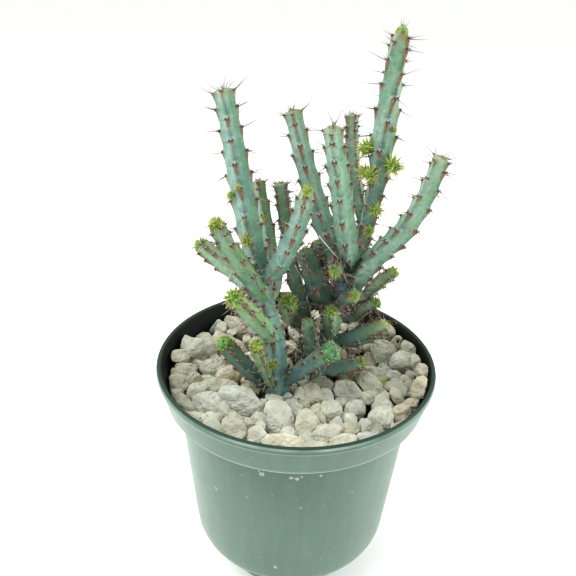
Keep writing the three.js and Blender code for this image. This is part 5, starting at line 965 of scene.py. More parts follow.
# ------------------------------------------------------------------ stems
def smooth_curve(points):
    """A centripetal Catmull-Rom curve through the rows, as a dense polyline with its running length and width."""
    P = np.array([p[:3] for p in points], float)
    W = np.array([p[3] for p in points], float)
    n = len(P)
    out, wid = [], []
    chord = np.r_[0, np.cumsum(np.linalg.norm(np.diff(P, axis=0), axis=1))]
    for i in range(n - 1):
        p1, p2 = P[i], P[i + 1]
        p0 = P[i - 1] if i > 0 else 2 * p1 - p2
        p3 = P[i + 2] if i + 2 < n else 2 * p2 - p1
        d0, d1, d2 = (max(np.linalg.norm(b - a) ** 0.5, 1e-4) for a, b in ((p0, p1), (p1, p2), (p2, p3)))
        t1 = ((p1 - p0) / d0 - (p2 - p0) / (d0 + d1) + (p2 - p1) / d1) * d1
        t2 = ((p2 - p1) / d1 - (p3 - p1) / (d1 + d2) + (p3 - p2) / d2) * d1
        t = np.linspace(0, 1, 40, endpoint=i == n - 2)[:, None]
        out.append(p1 + t1 * t + (-3 * p1 + 3 * p2 - 2 * t1 - t2) * t * t + (2 * p1 - 2 * p2 + t1 + t2) * t ** 3)
        wid.append(W[i] + (W[i + 1] - W[i]) * t[:, 0])
    C = np.vstack(out)
    w = np.concatenate(wid)
    s = np.r_[0, np.cumsum(np.linalg.norm(np.diff(C, axis=0), axis=1))]
    return C, s, w


class Axis:
    """Centreline of a stem with frames that don't twist; angle 0 faces -Y at its middle."""

    def __init__(self, points, step=0.45):
        C, s, w = smooth_curve(points)
        self.L = float(s[-1])
        m = max(8, int(round(self.L / step)))
        self.s = np.linspace(0, self.L, m + 1)
        self.C = np.stack([np.interp(self.s, s, C[:, k]) for k in range(3)], 1)
        ww = np.interp(self.s, s, w)
        k = max(1, int(round(2.0 / (self.L / m))))
        pad = np.r_[np.full(k, ww[0]), ww, np.full(k, ww[-1])]
        ker = np.hanning(2 * k + 3)[1:-1]
        self.W = np.convolve(pad, ker / ker.sum(), mode="valid")
        T = np.gradient(self.C, axis=0)
        k = 2
        self.T = T / np.linalg.norm(T, axis=1)[:, None]
        U = np.zeros_like(self.T)
        mid = m // 2
        t = self.T[mid]
        ref = np.array([0, 0, 1.0]) if abs(t[1]) > 0.8 else np.array([0, -1.0, 0])
        u = ref - t * ref.dot(t)
        U[mid] = u / np.linalg.norm(u)
        for rng in (range(mid + 1, m + 1), range(mid - 1, -1, -1)):
            prev = mid
            for i in rng:
                u = U[prev] - self.T[i] * U[prev].dot(self.T[i])
                U[i] = u / np.linalg.norm(u)
                prev = i
        self.U = U
        self.V = np.cross(self.T, U)

    def at(self, s):
        s = np.asarray(s, float)
        past = np.maximum(s - self.L, 0)
        s = np.clip(s, 0, self.L)
        out = []
        for A in (self.C, self.T, self.U, self.V):
            out.append(np.stack([np.interp(s, self.s, A[:, k]) for k in range(3)], -1))
        out.append(np.interp(s, self.s, self.W))
        out[0] = out[0] + out[1] * past[..., None]
        return out


CROWNED = {"trunk_left", "stem_mid_tall", "stem_mid_front", "stem_back_right", "stem_right_arch", "stem_back_mid", "stem_back_left"}
# thick places where branches leave a stem: place along it, length and gain
SWELL = {"trunk_right": (51.3, 7.0, 0.46), "stem_mid_dark": (17.1, 6.0, 0.26), "stub_mid_back": (2.5, 4.0, 0.38)}
# how much of the armour each stem carries
ARMOUR = {
    "sprout_left": 0.40, "sprout_front": 0.35, "stem_front_right": 0.55, "stem_ground_right": 0.75, "stub_centre": 0.8, "stem_low_right": 0.85,
    "stem_low_left": 0.85, "bud_stem_left": 0.6, "bud_stem_mid": 0.7, "stem_far_left": 0.9, "stub_right_front": 0.6,
}


C_LEFT = np.array([-0.9, -0.2, 0.4])


class Stem:
    V0 = 0.715

    def __init__(self, name, turn, teeth, pts):
        self.name, self.A = name, Axis(pts)
        self.L = self.A.L
        self.turn = ([t[0] for t in turn], [t[1] for t in turn])
        R = self.A.W[-1] / 2
        self.crowned = name in CROWNED
        self.ext = 1.3 if self.crowned else (2.0 if name == "trunk_right" else 0.0)
        self.end = self.L + self.ext
        self.dome = 0.45 * R if self.crowned else (2.3 * R if name == "trunk_right" else 0.85 * R)
        self.dpow = 4.0 if self.crowned else (1.7 if name == "trunk_right" else 2.2)
        t = list(teeth)
        mid = [(a + b) / 2 for a, b in zip(t, t[1:])]
        first = t[0] - (t[1] - t[0]) / 2 if len(t) > 1 else t[0] - 3.3
        odd = ([first] if first > 1.0 else []) + mid
        if len(t) > 1 and t[-1] + 0.5 * (t[-1] - t[-2]) < self.L - 0.5:
            odd.append(t[-1] + 0.5 * (t[-1] - t[-2]))
        rng = np.random.default_rng(sum(map(ord, name)) * 7 + 3)
        self.rng = rng
        self.rows = []
        for j in range(4):
            base = t if j % 2 == 0 else odd
            row = list(base) if j == 0 else [x + rng.uniform(-0.35, 0.35) for x in base]
            row = [x for x in row if 0.6 < x < self.L - 0.3]
            if self.crowned:
                top = self.end - (0.75 if j % 2 == 0 else 1.05)
                while row and top - row[-1] < 2.3:
                    row.pop()
                row.append(top)
            self.rows.append(row)
        q0 = self.V0 / math.cos(math.radians(45))
        self.norm = (q0 ** -11 + 1) ** (-1 / 11)

    def angle(self, s, j=0):
        return np.interp(s, *self.turn) + 90.0 * j

    def capped(self, s):
        x = np.clip((s - (self.end - self.dome)) / self.dome, 0, 1)
        return np.sqrt(np.maximum(1 - x ** self.dpow, 0))

    def half(self, s):
        return np.interp(s, self.A.s, self.A.W) / 2 * self.capped(s)

    def teeth_sum(self, s, j):
        b = np.zeros_like(s)
        for k in self.rows[j]:
            d = s - k
            top = 1.2 if (self.crowned and k > self.end - 1.3) else 1.0
            b = np.maximum(b, top * np.where(d < 0, np.exp(-np.abs(d / 2.5) ** 1.6), np.exp(-(d / 0.95) ** 2)))
        return b

    def radius(self, s, phi):
        """s and phi (degrees) of the same shape."""
        R = np.interp(s, self.A.s, self.A.W) / 2
        if self.name in SWELL:
            at, wide, gain = SWELL[self.name]
            R = R * (1 + gain * np.exp(-((s - at) / wide) ** 2))
        psi = (phi - self.angle(s) + 45) % 90 - 45
        q = self.V0 / np.cos(np.radians(45 - np.abs(psi)))
        sec = (q ** -11 + 1) ** (-1 / 11) / self.norm
        sec = sec - 0.045 * (np.abs(psi) / 45) ** 2.5
        dome = self.capped(s)
        r = R * sec * dome
        size = np.clip(R, 1.5, 4.2)
        for j in range(4):
            a = (phi - self.angle(s, j) + 180) % 360 - 180
            near = np.exp(-(a / 17.0) ** 2)
            t = self.teeth_sum(s, j)
            r = r + near * size * (0.215 * t - 0.05) * np.minimum(1, dome * 1.3)
        return r

    def point(self, s, phi, out=0.0):
        s = np.asarray(s, float)
        phi = np.asarray(phi, float)
        C, T, U, V, W = self.A.at(s)
        rad = np.radians(phi)
        d = U * np.cos(rad)[..., None] + V * np.sin(rad)[..., None]
        return C + d * (self.radius(s, phi) + out)[..., None]

    def frame(self, s, phi):
        """Place, outward, along and sideways directions on the surface."""
        C, T, U, V, W = self.A.at(np.asarray(s, float))
        rad = np.radians(phi)
        n = U * np.cos(rad)[..., None] + V * np.sin(rad)[..., None]
        return self.point(s, phi), n, T, np.cross(T, n)

    def tints(self, s, P, n):
        """blue, dark, lime and bloom of the skin at points P with outward directions n; dark is partly painted shade.
        """
        seed = sum(map(ord, self.name))
        t = np.clip(s / self.L, 0, 1)
        b0, b1, d0, d1, l0, l1 = TINT[self.name]
        # painted light and shade: flanks that face left are painted bluer and whiter, a painted sheen, and those that
        # face right greener
        face = n @ np.array([-0.80, -0.50, 0.0])
        blue = np.clip(b0 + (b1 - b0) * t + 0.22 * face + 0.10 * fbm(P / 9.0, 2, seed + 8), 0, 1)
        dark = np.clip(d0 + (d1 - d0) * t ** 1.2 + 0.06 * fbm(P / 6.0, 2, seed + 3), 0, 1)
        lime = np.clip(l0 + (l1 - l0) * t ** 2.2 + 0.06 * fbm(P / 5.0, 2, seed + 4) - 0.08 * face, 0, 1)
        for x, y, z, rad, db, dd, dl in SPOTS.get(self.name, ()):
            w = np.exp(-(((P - np.array([x, y, z])) ** 2).sum(1)) / rad ** 2)
            blue, dark, lime = np.clip(blue + db * w, 0, 1), np.clip(dark + dd * w, 0, 1), np.clip(lime + dl * w, 0, 1)
        bloom = np.clip(0.14 + 0.28 * np.clip(face, -0.3, 1) + 0.16 * fbm(P / 4.0, 2, seed + 6), 0, 0.8) * (1 - 0.7 * dark)
        # painted shade: stems higher up are darkened, except the two stems in front, which get painted light instead
        high = np.clip((P[:, 2] - 125.0) / 30.0, 0, 1)
        if self.name in ("stem_right_arch", "stem_mid_front"):
            bloom = np.clip(bloom + 0.10, 0, 0.8)
        else:
            dark = np.clip(dark + 0.11 * high, 0, 1)
        # painted light: the foot of the left trunk is whitened to lift it out of its shade
        if self.name == "trunk_left":
            bloom = np.clip(bloom + 0.20 * np.clip(1 - t / 0.45, 0, 1), 0, 0.8)
        return blue, dark, lime, bloom


def build_skin(st, mat):
    A = st.A
    # rings get closer on the dome of the tip
    m = max(6, int(round((st.end - st.dome) / (0.42))))
    s = np.r_[np.linspace(0, st.end - st.dome, m), st.end - st.dome * (1 - np.sin(np.linspace(0, np.pi / 2, 14)[1:-1]))]
    n = 64
    phi = np.arange(n) * 360.0 / n
    S, PH = np.meshgrid(s, phi, indexing="ij")
    V = st.point(S, PH)
    flat = V.reshape(-1, 3)
    C, T, U, VV, W = A.at(S)
    rad = np.radians(PH)
    nrm = (U * np.cos(rad)[..., None] + VV * np.sin(rad)[..., None]).reshape(-1, 3)
    seed = sum(map(ord, st.name))
    lump = 0.11 * fbm(flat / 3.6, 2, seed) + 0.035 * vnoise(flat / 0.9, seed + 5)
    fade = np.clip((st.end - S.reshape(-1)) / 1.5, 0, 1)
    flat = flat + nrm * (lump * fade)[:, None]
    rows = len(s)
    low = A.C[0] - A.T[0] * 0.2
    tip = A.C[-1] + A.T[-1] * (st.ext - (0.25 if st.crowned else 0.0))
    V = np.vstack([flat, low, tip])
    i, j = np.meshgrid(np.arange(rows - 1), np.arange(n), indexing="ij")
    a, b = i * n + j, i * n + (j + 1) % n
    Q = np.stack([a, b, b + n, a + n], -1).reshape(-1, 4)
    jj = np.arange(n)
    lo, hi = rows * n, rows * n + 1
    Tt = np.vstack([np.stack([np.full(n, lo), (jj + 1) % n, jj], 1), np.stack([np.full(n, hi), (rows - 1) * n + jj, (rows - 1) * n + (jj + 1) % n], 1)])
    Q, Tt = flip_to_out(V, Q, Tt)
    sf, pf = S.reshape(-1), PH.reshape(-1)
    psi = np.abs((pf - st.angle(sf) + 45) % 90 - 45)
    edge = np.clip(1 - psi / 24.0, 0, 1) ** 1.1
    stain = np.zeros(len(sf))
    for k in range(4):
        ang = (pf - st.angle(sf, k) + 180) % 360 - 180
        arc = np.radians(ang) * np.maximum(st.half(sf), 0.5)
        for t in st.rows[k]:
            d = sf - t
            e = (np.where(d < 0, d / 4.2, d / 1.2)) ** 2 + (arc / 1.35) ** 2
            stain = np.maximum(stain, np.clip(1.25 - e, 0, 1))
    stain *= 0.20 + 0.55 * np.clip(0.3 + vnoise(flat / 1.3, seed + 2), 0, 1)
    stain *= 0.4 + 0.6 * ARMOUR.get(st.name, 1.0)
    blue, dark, lime, bloom = st.tints(sf, flat, nrm)
    for k in range(4):
        ang = (pf - st.angle(sf, k) + 180) % 360 - 180
        for t in st.rows[k]:
            d = sf - t
            wide = np.exp(-(ang / 27.0) ** 2)
            wave = 0.3 * vnoise(flat / 1.2, seed + 12)
            band = np.exp(-((d - 2.0 - wave) / 0.75) ** 2) * wide
            line = (np.exp(-((d - 1.65 - wave) / 0.30) ** 2) + 0.6 * np.exp(-((d - 2.9 - wave) / 0.35) ** 2)) * np.exp(-(ang / 21.0) ** 2)
            dark = np.clip(dark + 0.12 * band + 0.42 * line, 0, 1)
            blue = np.clip(blue + 0.50 * band, 0, 1)
            white = np.exp(-((d - 1.15) / 0.38) ** 2) * np.exp(-(ang / 15.0) ** 2)
            bloom = np.clip(bloom + 0.75 * white * np.clip(0.35 + 1.3 * vnoise(flat / 0.5, seed + 13), 0, 1), 0, 1)
    navy = np.zeros(len(sf))
    for x, y, z, rad_, share in NAVY.get(st.name, ()):
        w = np.exp(-(((flat - np.array([x, y, z])) ** 2).sum(1)) / rad_ ** 2)
        ahead = np.clip(0.35 + nrm @ np.array([0.0, -0.90, 0.42]), 0.12, 1)
        navy = np.maximum(navy, share * w * ahead * (1 + 0.35 * vnoise(flat / 1.6, seed + 41)))
    if st.crowned:
        top = np.clip((sf - st.end + 3.2) / 3.0, 0, 1)
        lime = np.clip(lime + 0.30 * top * (0.6 + 0.8 * vnoise(flat / 1.1, seed + 31)), 0, 1)
        stain = np.clip(stain + 0.42 * top * np.clip(0.2 + 1.2 * vnoise(flat / 0.9, seed + 33), 0, 1), 0, 1)
    if st.name == "trunk_right":
        lime = np.clip(lime + 0.35 * np.clip((sf - st.end + 6.0) / 5.0, 0, 1), 0, 1)
        streak = np.exp(-(((pf - st.angle(sf, 0) + 180) % 360 - 180) / 24.0) ** 2) * np.clip((sf - 78.0) / 12.0, 0, 1)
        stain = np.clip(stain + 0.45 * streak * np.clip((sf - st.end + 20.0) / 10.0, 0, 1) * np.clip(0.5 + 0.8 * vnoise(flat / np.array([1.2, 1.2, 3.0]), 61), 0, 1), 0, 1)
        dark = np.clip(dark + 0.34 * streak * np.clip(0.75 + 0.7 * vnoise(flat / np.array([1.5, 1.5, 4.0]), 55), 0, 1), 0, 1)
        stain = np.clip(stain + 0.5 * np.clip((sf - st.end + 7.0) / 4.0, 0, 1) * (0.5 + 0.5 * vnoise(flat / 2.0, 77)), 0, 1)
    if st.name == "stem_low_right":
        old = np.clip((sf - st.end + 11.0) / 9.0, 0, 1) * np.clip(0.45 + 1.1 * vnoise(flat / 1.7, 91), 0, 1)
        stain = np.clip(stain + 0.55 * old, 0, 1)
        lime = np.clip(lime + 0.35 * old, 0, 1)
    end = lambda a, lo_, hi_: np.r_[a, lo_, hi_]
    attrs = {"edge": end(edge, 0, 0.3), "stain": end(stain, 0, 0.2), "blue": end(blue, 0.5, 0.1), "dark": end(dark, 0.2, 0.0),
             "lime": end(lime, 0.0, 0.8), "bloom": end(bloom, 0.0, 0.0), "horn": np.zeros(len(V)), "along": np.zeros(len(V)), "navy": end(np.clip(navy, 0, 1), 0.0, 0.0)}
    return make(st.name + "_skin", V, Q, Tt, [mat], None, attrs)


def unit(v):
    v = np.asarray(v, float)
    return v / np.maximum(np.linalg.norm(v, axis=-1, keepdims=True), 1e-9)


def tubes(batch, base, d, length, r0, bend, sides=6, flat=1.0, rings=7, tip=0.06, mat=0, start=0.02, **attrs):
    """Tapered, slightly curved spikes. base, d, bend (K,3); length, r0 (K,). flat squeezes the section."""
    base, d, bend = (np.atleast_2d(np.asarray(x, float)) for x in (base, d, bend))
    K = len(base)
    length, r0 = np.broadcast_to(np.asarray(length, float), (K,)), np.broadcast_to(np.asarray(r0, float), (K,))
    d = unit(d)
    side = np.cross(d, np.where(np.abs(d[:, 2:3]) > 0.9, [[1.0, 0, 0]], [[0, 0, 1.0]]))
    side = unit(side)
    up = np.cross(side, d)
    t = np.linspace(0, 1, rings)
    rad = (1 - (1 - tip) * t ** 1.15)
    aa = np.arange(sides) * 2 * np.pi / sides
    C = base[:, None] + d[:, None] * (length[:, None] * t)[..., None] + bend[:, None] * (length[:, None] * t ** 2)[..., None]
    off = side[:, None] * np.cos(aa)[None, :, None] + up[:, None] * (np.sin(aa) * flat)[None, :, None]
    V = C[:, :, None] + off[:, None] * (r0[:, None] * rad)[:, :, None, None]
    V = V.reshape(K, rings * sides, 3)
    tipv = C[:, -1] + d * r0[:, None] * 0.3
    V = np.concatenate([V, base[:, None], tipv[:, None]], 1)
    per = rings * sides + 2
    i, j = np.meshgrid(np.arange(rings - 1), np.arange(sides), indexing="ij")
    a, b = i * sides + j, i * sides + (j + 1) % sides
    Q = np.stack([a, b, b + sides, a + sides], -1).reshape(-1, 4)
    jj = np.arange(sides)
    T = np.vstack([np.stack([np.full(sides, per - 2), (jj + 1) % sides, jj], 1), np.stack([np.full(sides, per - 1), (rings - 1) * sides + jj, (rings - 1) * sides + (jj + 1) % sides], 1)])
    Q, T = flip_to_out(V[0], Q, T)
    off = (np.arange(K) * per)[:, None, None]
    along = np.concatenate([np.repeat(start + (1 - start) * t, sides), [start, 1.0]])
    full = {"along": np.tile(along, K)}
    for k, v in attrs.items():
        full[k] = np.repeat(np.broadcast_to(np.asarray(v, float), (K,)), per)
    batch.add(V.reshape(-1, 3), (Q[None] + off).reshape(-1, 4), (T[None] + off).reshape(-1, 3), mat=mat, **full)


def shield(batch, st, s, j, size, strength, shift, stretch):
    """A horny pad that runs down the angle from a tooth and fades into the skin."""
    na, nb = 15, 9
    a = np.linspace(-4.3 * stretch, 0.80, na) * size
    u = (a - a[0]) / (a[-1] - a[0])
    w = size * (0.66 + 0.82 * np.clip(u * 1.15, 0, 1) ** 0.9) * np.where(u > 0.97, 0.75, 1)
    b = np.linspace(-1, 1, nb)
    SS = np.clip(s + a[:, None] + 0 * b[None], 0.05, st.end - 0.05)
    R = np.maximum(st.half(SS), 0.8)
    wob = (0.14 * np.sin(5 * u + s) + 0.10 * np.sin(11 * u + 2 * s))[:, None]
    PH = st.angle(SS, j) + np.degrees((b[None] + wob * (1 - b[None] ** 2)) * w[:, None] / R)
    env = np.clip(np.sin(np.pi * np.clip(u * 0.96 + 0.02, 0, 1)) * 2.2, 0, 1)[:, None]
    out = -0.06 + size * (0.05 + 0.17 * u[:, None] ** 2.2) * np.sqrt(np.clip(1 - b[None] ** 2, 0, 1)) * env
    V = st.point(SS, PH, out)
    core = strength * (1 - np.abs(b[None]) ** 2.2) * np.clip(u[:, None] * 2.0 + 0.06, 0, 1) * np.clip((1.02 - u[:, None]) * 9, 0, 1)
    along = np.repeat(u[:, None], nb, 1) - 0.10 * np.abs(b[None]) + shift
    i, k = np.meshgrid(np.arange(na - 1), np.arange(nb - 1), indexing="ij")
    p = i * nb + k
    Q = np.stack([p, p + 1, p + nb + 1, p + nb], -1).reshape(-1, 4)
    c, n, t, x = st.frame(np.array([s]), np.array([st.angle(s, j)]))
    f = V.reshape(-1, 3)
    q = Q[len(Q) // 2]
    if np.dot(np.cross(f[q[1]] - f[q[0]], f[q[3]] - f[q[0]]), n[0]) < 0:
        Q = Q[:, ::-1]
    blue, dark, lime, bloom = st.tints(SS.reshape(-1), f, np.tile(n[0], (len(f), 1)))
    batch.add(f, Q, None, mat=0, horn=np.clip(core.reshape(-1), 0, 1), blue=blue, dark=dark * 0.8, lime=lime, bloom=bloom * 0.5, edge=0.8, stain=0.12, along=np.clip(along.reshape(-1), 0, 1), age=0.0)
    # the knob that carries the spines
    D2, T2 = ICO[2]
    p = st.point(np.array([s + 0.28 * size]), np.array([st.angle(s + 0.28 * size, j)]))[0] - n[0] * 0.12
    for ox, oy, sc, tone in ((0.58, 0.10, 0.41, 0.96), (-0.58, 0.12, 0.39, 0.97), (0.0, -0.16, 0.36, 0.80)):
        c2 = p + x[0] * ox * size + t[0] * oy * size - n[0] * 0.12 * abs(ox) * size
        k2 = D2 * (sc * size) * (1 + 0.30 * vnoise(D2 * 2.1 + c2, 6))[:, None]
        batch.add(c2 + k2, None, T2, mat=1, horn=0.0, blue=0.0, dark=0.0, lime=0.0, bloom=0.0, edge=0.0, stain=0.0, along=tone, age=0.10 + 0.25 * strength)
    # the dormant growing point between the two spines, dusted with wax
    c2 = p + t[0] * 0.42 * size + n[0] * 0.02
    k2 = D2 * (0.25 * size) * (1 + 0.2 * vnoise(D2 * 2.1 + c2, 6))[:, None]
    batch.add(c2 + k2, None, T2, mat=0, horn=0.0, blue=0.2, dark=0.0, lime=0.0, bloom=1.0, edge=0.0, stain=0.0, along=0.0, age=0.0)


def build_armour(st, skin, horn):
    """All shields and spines of a stem."""
    bt = Batch()
    rng = st.rng
    big = st.L > 50
    share = ARMOUR.get(st.name, 1.0)
    base, dirs, lens, rads, bends, ages = [], [], [], [], [], []

    def spike(p, d, l, r, b, a):
        base.append(p); dirs.append(d); lens.append(l); rads.append(r); bends.append(b); ages.append(float(np.clip(a, 0, 1)))

    for j in range(4):
        for s in st.rows[j]:
            t = s / st.L
            if st.name in BARE and BARE[st.name][0] < s < BARE[st.name][1]:
                continue
            R = float(np.interp(s, st.A.s, st.A.W)) / 2
            at_tip = st.end - s < 1.6
            low = max(0.0, 1 - t / 0.45) if big else 0.0
            size = (0.60 + 0.34 * min(R / 4.0, 1.0)) * rng.uniform(0.85, 1.15) * (0.7 if at_tip else 1.0)
            age = 0.62 - 0.35 * t + rng.uniform(-0.2, 0.3)
            strength = (1.0 - 0.35 * low) * (0.55 + 0.45 * share) * rng.uniform(0.85, 1.05)
            if s > 2.5 and rng.random() < 0.35 + 0.65 * share:
                shield(bt, st, s, j, size, strength * rng.uniform(0.72, 1.08), rng.uniform(-0.16, 0.12), rng.uniform(0.85, 1.2) * (1.35 if st.name in ("trunk_right", "stem_mid_tall") else 1.0))
            ang = float(st.angle(s, j))
            p, n, T, x = (v[0] for v in st.frame(np.array([s + 0.10 * size]), np.array([ang])))
            p = p + n * 0.12 * size
            full = (rng.uniform(4.9, 7.4) if big else rng.uniform(3.0, 4.9)) * (0.70 + 0.30 * min(R / 3.6, 1.0)) * (1.25 if at_tip and big else 1.0)
            lift = 0.55 if at_tip else (rng.uniform(-0.42, 0.10) if t < 0.9 else rng.uniform(0.0, 0.4))
            for sg in (-1, 1):
                if rng.random() > (0.92 - 0.45 * low) * (0.35 + 0.65 * share):
                    continue
                d = n * rng.uniform(0.72, 0.92) + x * sg * rng.uniform(0.30, 0.62) + T * (lift + rng.uniform(-0.12, 0.12))
                broken = 0.45 if rng.random() < 0.12 + 0.3 * low else 1.0
                spike(p + x * sg * 0.58 * size - n * 0.2, d, full * rng.uniform(0.8, 1.08) * broken, 0.150 * (0.8 + 0.3 * size),
                      T * rng.uniform(-0.10, 0.12) + x * sg * rng.uniform(-0.10, 0.05), age)
            for sg in (-1, 1):
                if rng.random() < 0.7 * share + 0.25:
                    spike(p + x * sg * 0.50 * size + T * 0.45 * size - n * 0.2, n * 0.7 + x * sg * 0.6 + T * rng.uniform(0.5, 1.0), rng.uniform(0.9, 1.8), 0.12, T * 0.1, age)
                if rng.random() < 0.45 * share:
                    spike(p + x * sg * 0.55 * size - T * 0.25 * size - n * 0.2, n * 0.6 + x * sg * 0.8 - T * rng.uniform(0.2, 0.7), rng.uniform(0.7, 1.5), 0.11, -T * 0.1, age)
    # young spines crowd round the growing tip
    C, T, U, V, W = (v[0] for v in st.A.at(np.array([st.end])))
    for k in range(13 if st.crowned else 6):
        a = k * 2.39996 + rng.uniform(-0.3, 0.3)
        tilt = math.radians(rng.uniform(18, 60))
        d = T * math.cos(tilt) + (U * math.cos(a) + V * math.sin(a)) * math.sin(tilt)
        q = C + (U * math.cos(a) + V * math.sin(a)) * W * 0.22 * math.sin(tilt) - T * 0.7
        spike(q + T * 0.5 * st.crowned, d, rng.uniform(1.0, 2.6), 0.12, T * rng.uniform(0, 0.15), rng.uniform(0, 0.45))
    tubes(bt, base, dirs, lens, rads, bends, mat=1, age=ages)
    return bt.make(st.name + "_spines", [skin, horn])


def rosette(batch, c, axis, r, rng, hue=0.3, leaves=60, squat=1.0, spiky=0.0, fine=1.0):
    """Small leaves crowded round a growing point: short and blunt, or longer and pointed (spiky up to 1)."""
    axis = unit(axis)
    ref = np.array([0, 0, 1.0]) if abs(axis[2]) < 0.8 else np.array([1.0, 0, 0])
    U = unit(np.cross(axis, ref))
    V = np.cross(axis, U)
    D, T3 = ICO[4]
    lob = 0.14 * vnoise(D * 2.7 + 3 * c, 4) + 0.09 * vnoise(D * 6.0 + c, 8)
    ball = D * r * (0.86 - 0.32 * spiky) * (1 + lob)[:, None]
    ball -= np.outer(ball @ axis, axis) * (1 - squat)
    batch.add(c + ball, None, T3, mat=0, leaf=np.clip(0.18 + 1.8 * lob, 0, 0.55), hue=np.clip(hue + 1.5 * lob, 0, 1))
    base, dirs, lens, rads, bends, hues, tops = [], [], [], [], [], [], []
    for k in range(leaves):
        f = (k + 0.5) / leaves
        pol = math.acos(1 - 1.5 * f) + rng.uniform(-0.12, 0.12)
        az = k * 2.39996 + rng.uniform(-0.5, 0.5)
        o = U * math.cos(az) + V * math.sin(az)
        d = axis * math.cos(pol) * squat + o * math.sin(pol)
        base.append(c + d * r * (0.66 - 0.30 * spiky))
        dirs.append(unit(d) + o * rng.uniform(-0.3, 0.4) + axis * rng.uniform(-0.2, 0.45) + rng.normal(size=3) * 0.15)
        lens.append(r * (rng.uniform(0.22, 0.46) + spiky * rng.uniform(0.35, 0.75)) * fine)
        rads.append(r * (rng.uniform(0.10, 0.17) - 0.03 * spiky) * fine)
        bends.append(axis * rng.uniform(-0.1, 0.4) * math.sin(pol) + rng.normal(size=3) * 0.1)
        # painted light: leaves that face left and up lean to the lighter, yellower green
        hues.append(float(np.clip(hue + rng.normal() * 0.28 + 0.25 * float(d @ C_LEFT), 0, 1)))
        tops.append(rng.uniform(0.55, 0.86) if rng.random() < 0.75 else rng.uniform(0.9, 1.0))
    b2 = Batch()
    tubes(b2, base, dirs, lens, rads, bends, sides=7, flat=0.55, rings=6, tip=0.30 - 0.22 * spiky, hue=hues, top=tops)
    V2 = np.vstack(b2.V)
    lf = np.concatenate([v for _, v in b2.A["along"]])
    hu = np.concatenate([v for _, v in b2.A["hue"]])
    tp = np.concatenate([v for _, v in b2.A["top"]])
    batch.add(V2, b2.Q[0], b2.T[0], mat=0, leaf=0.22 + (tp - 0.22) * lf, hue=hu)
    # fine spines between the leaves
    n = int(6 + r * 3)
    base, dirs, lens = [], [], []
    for k in range(n):
        pol = math.acos(1 - 1.5 * rng.random())
        az = rng.uniform(0, 2 * math.pi)
        d = axis * math.cos(pol) + (U * math.cos(az) + V * math.sin(az)) * math.sin(pol)
        base.append(c + d * r * 0.6)
        dirs.append(d)
        lens.append(r * rng.uniform(0.65, 1.25))
    return np.array(base), np.array(dirs), np.array(lens)


# ------------------------------------------------------------------ stones
ICO = {}
for sub in (2, 3, 4, 5, 6):
    bm = bmesh.new()
    bmesh.ops.create_icosphere(bm, subdivisions=sub, radius=1.0)
    bm.verts.ensure_lookup_table()
    ICO[sub] = (np.array([v.co[:] for v in bm.verts]), np.array([[v.index for v in f.verts] for f in bm.faces]))
    bm.free()
for sub in ICO:
    D_, T_ = ICO[sub]
    ICO[sub] = (D_ / np.linalg.norm(D_, axis=1)[:, None], T_)

TONES = {
    "a": (0.735, 0.730, 0.660), "w": (0.780, 0.783, 0.728), "g": (0.755, 0.755, 0.705), "p": (0.700, 0.698, 0.630),
    "d": (0.660, 0.655, 0.585), "b": (0.600, 0.565, 0.445), "y": (0.690, 0.630, 0.500), "s": (0.560, 0.570, 0.525),
    "r": (0.730, 0.702, 0.625), "v": (0.805, 0.795, 0.722), "k": (0.660, 0.680, 0.655),
}
GROW, GROW_UP = 1.20, 1.08
# those that lie low between the stones that show
SUNK = [i not in OUTLINES and s[1] < 14 and math.hypot(s[0], s[1]) < 48 for i, s in enumerate(STONES)]
SIZE = np.array([(s[3] * s[4] * s[5]) ** (1 / 3) for s in STONES])
CEN = np.array([s[:3] for s in STONES])


def stem_samples(stems):
    out = []
    for st in stems:
        m = st.A.C[:, 2] < 104
        idx = np.where(m)[0][::3]
        for i in idx:
            out.append((*st.A.C[i], st.A.W[i] / 2))
    return np.array(out)


def shared_face(i, j):
    """The face between two stones, tilted a little so that one laps the other: direction from i and distance."""
    a, b = min(i, j), max(i, j)
    n = CEN[b] - CEN[a]
    d = float(np.linalg.norm(n))
    n = n / d
    h = np.array([_hash(np.array([a]), np.array([b]), np.array([k]), 5)[0] / 4294967295.0 - 0.5 for k in (1, 2, 3)])
    m = unit(n + h * np.array([0.7, 0.7, 1.3]))
    at = (d * d + SIZE[a] ** 2 - SIZE[b] ** 2) / (2 * d) * float(n @ m)
    return (m, at, d) if i == a else (-m, d * float(n @ m) - at, d)


CAM = np.array(POS) / MM
C_RIGHT, C_UP, C_FWD = (np.array(v) for v in (RIGHT, UP, FWD))


def outline_radius(poly, alpha):
    """Distance from the middle to the outline in the directions alpha, with its corners eased."""
    q = np.array(poly)
    n = 120
    t = np.arange(n) * 2 * np.pi / n
    d = np.stack([np.cos(t), np.sin(t)], 1)
    best = np.full(n, 0.3)
    for p0, p1 in zip(q, np.roll(q, -1, 0)):
        e = p1 - p0
        den = d[:, 0] * e[1] - d[:, 1] * e[0]
        den = np.where(np.abs(den) < 1e-9, 1e-9, den)
        far = (p0[0] * e[1] - p0[1] * e[0]) / den
        k = (d[:, 1] * p0[0] - d[:, 0] * p0[1]) / den
        ok = (k >= -1e-6) & (k <= 1 + 1e-6) & (far > 0)
        best = np.where(ok, np.maximum(best, far), best)
    ker = np.exp(-(np.arange(-4, 5) / 1.3) ** 2)
    ker /= ker.sum()
    ext = np.r_[best[-4:], best, best[:4]]
    best = np.convolve(ext, ker, "valid")
    return np.interp(np.mod(alpha, 2 * np.pi), np.r_[t, 2 * np.pi], np.r_[best, best[0]])


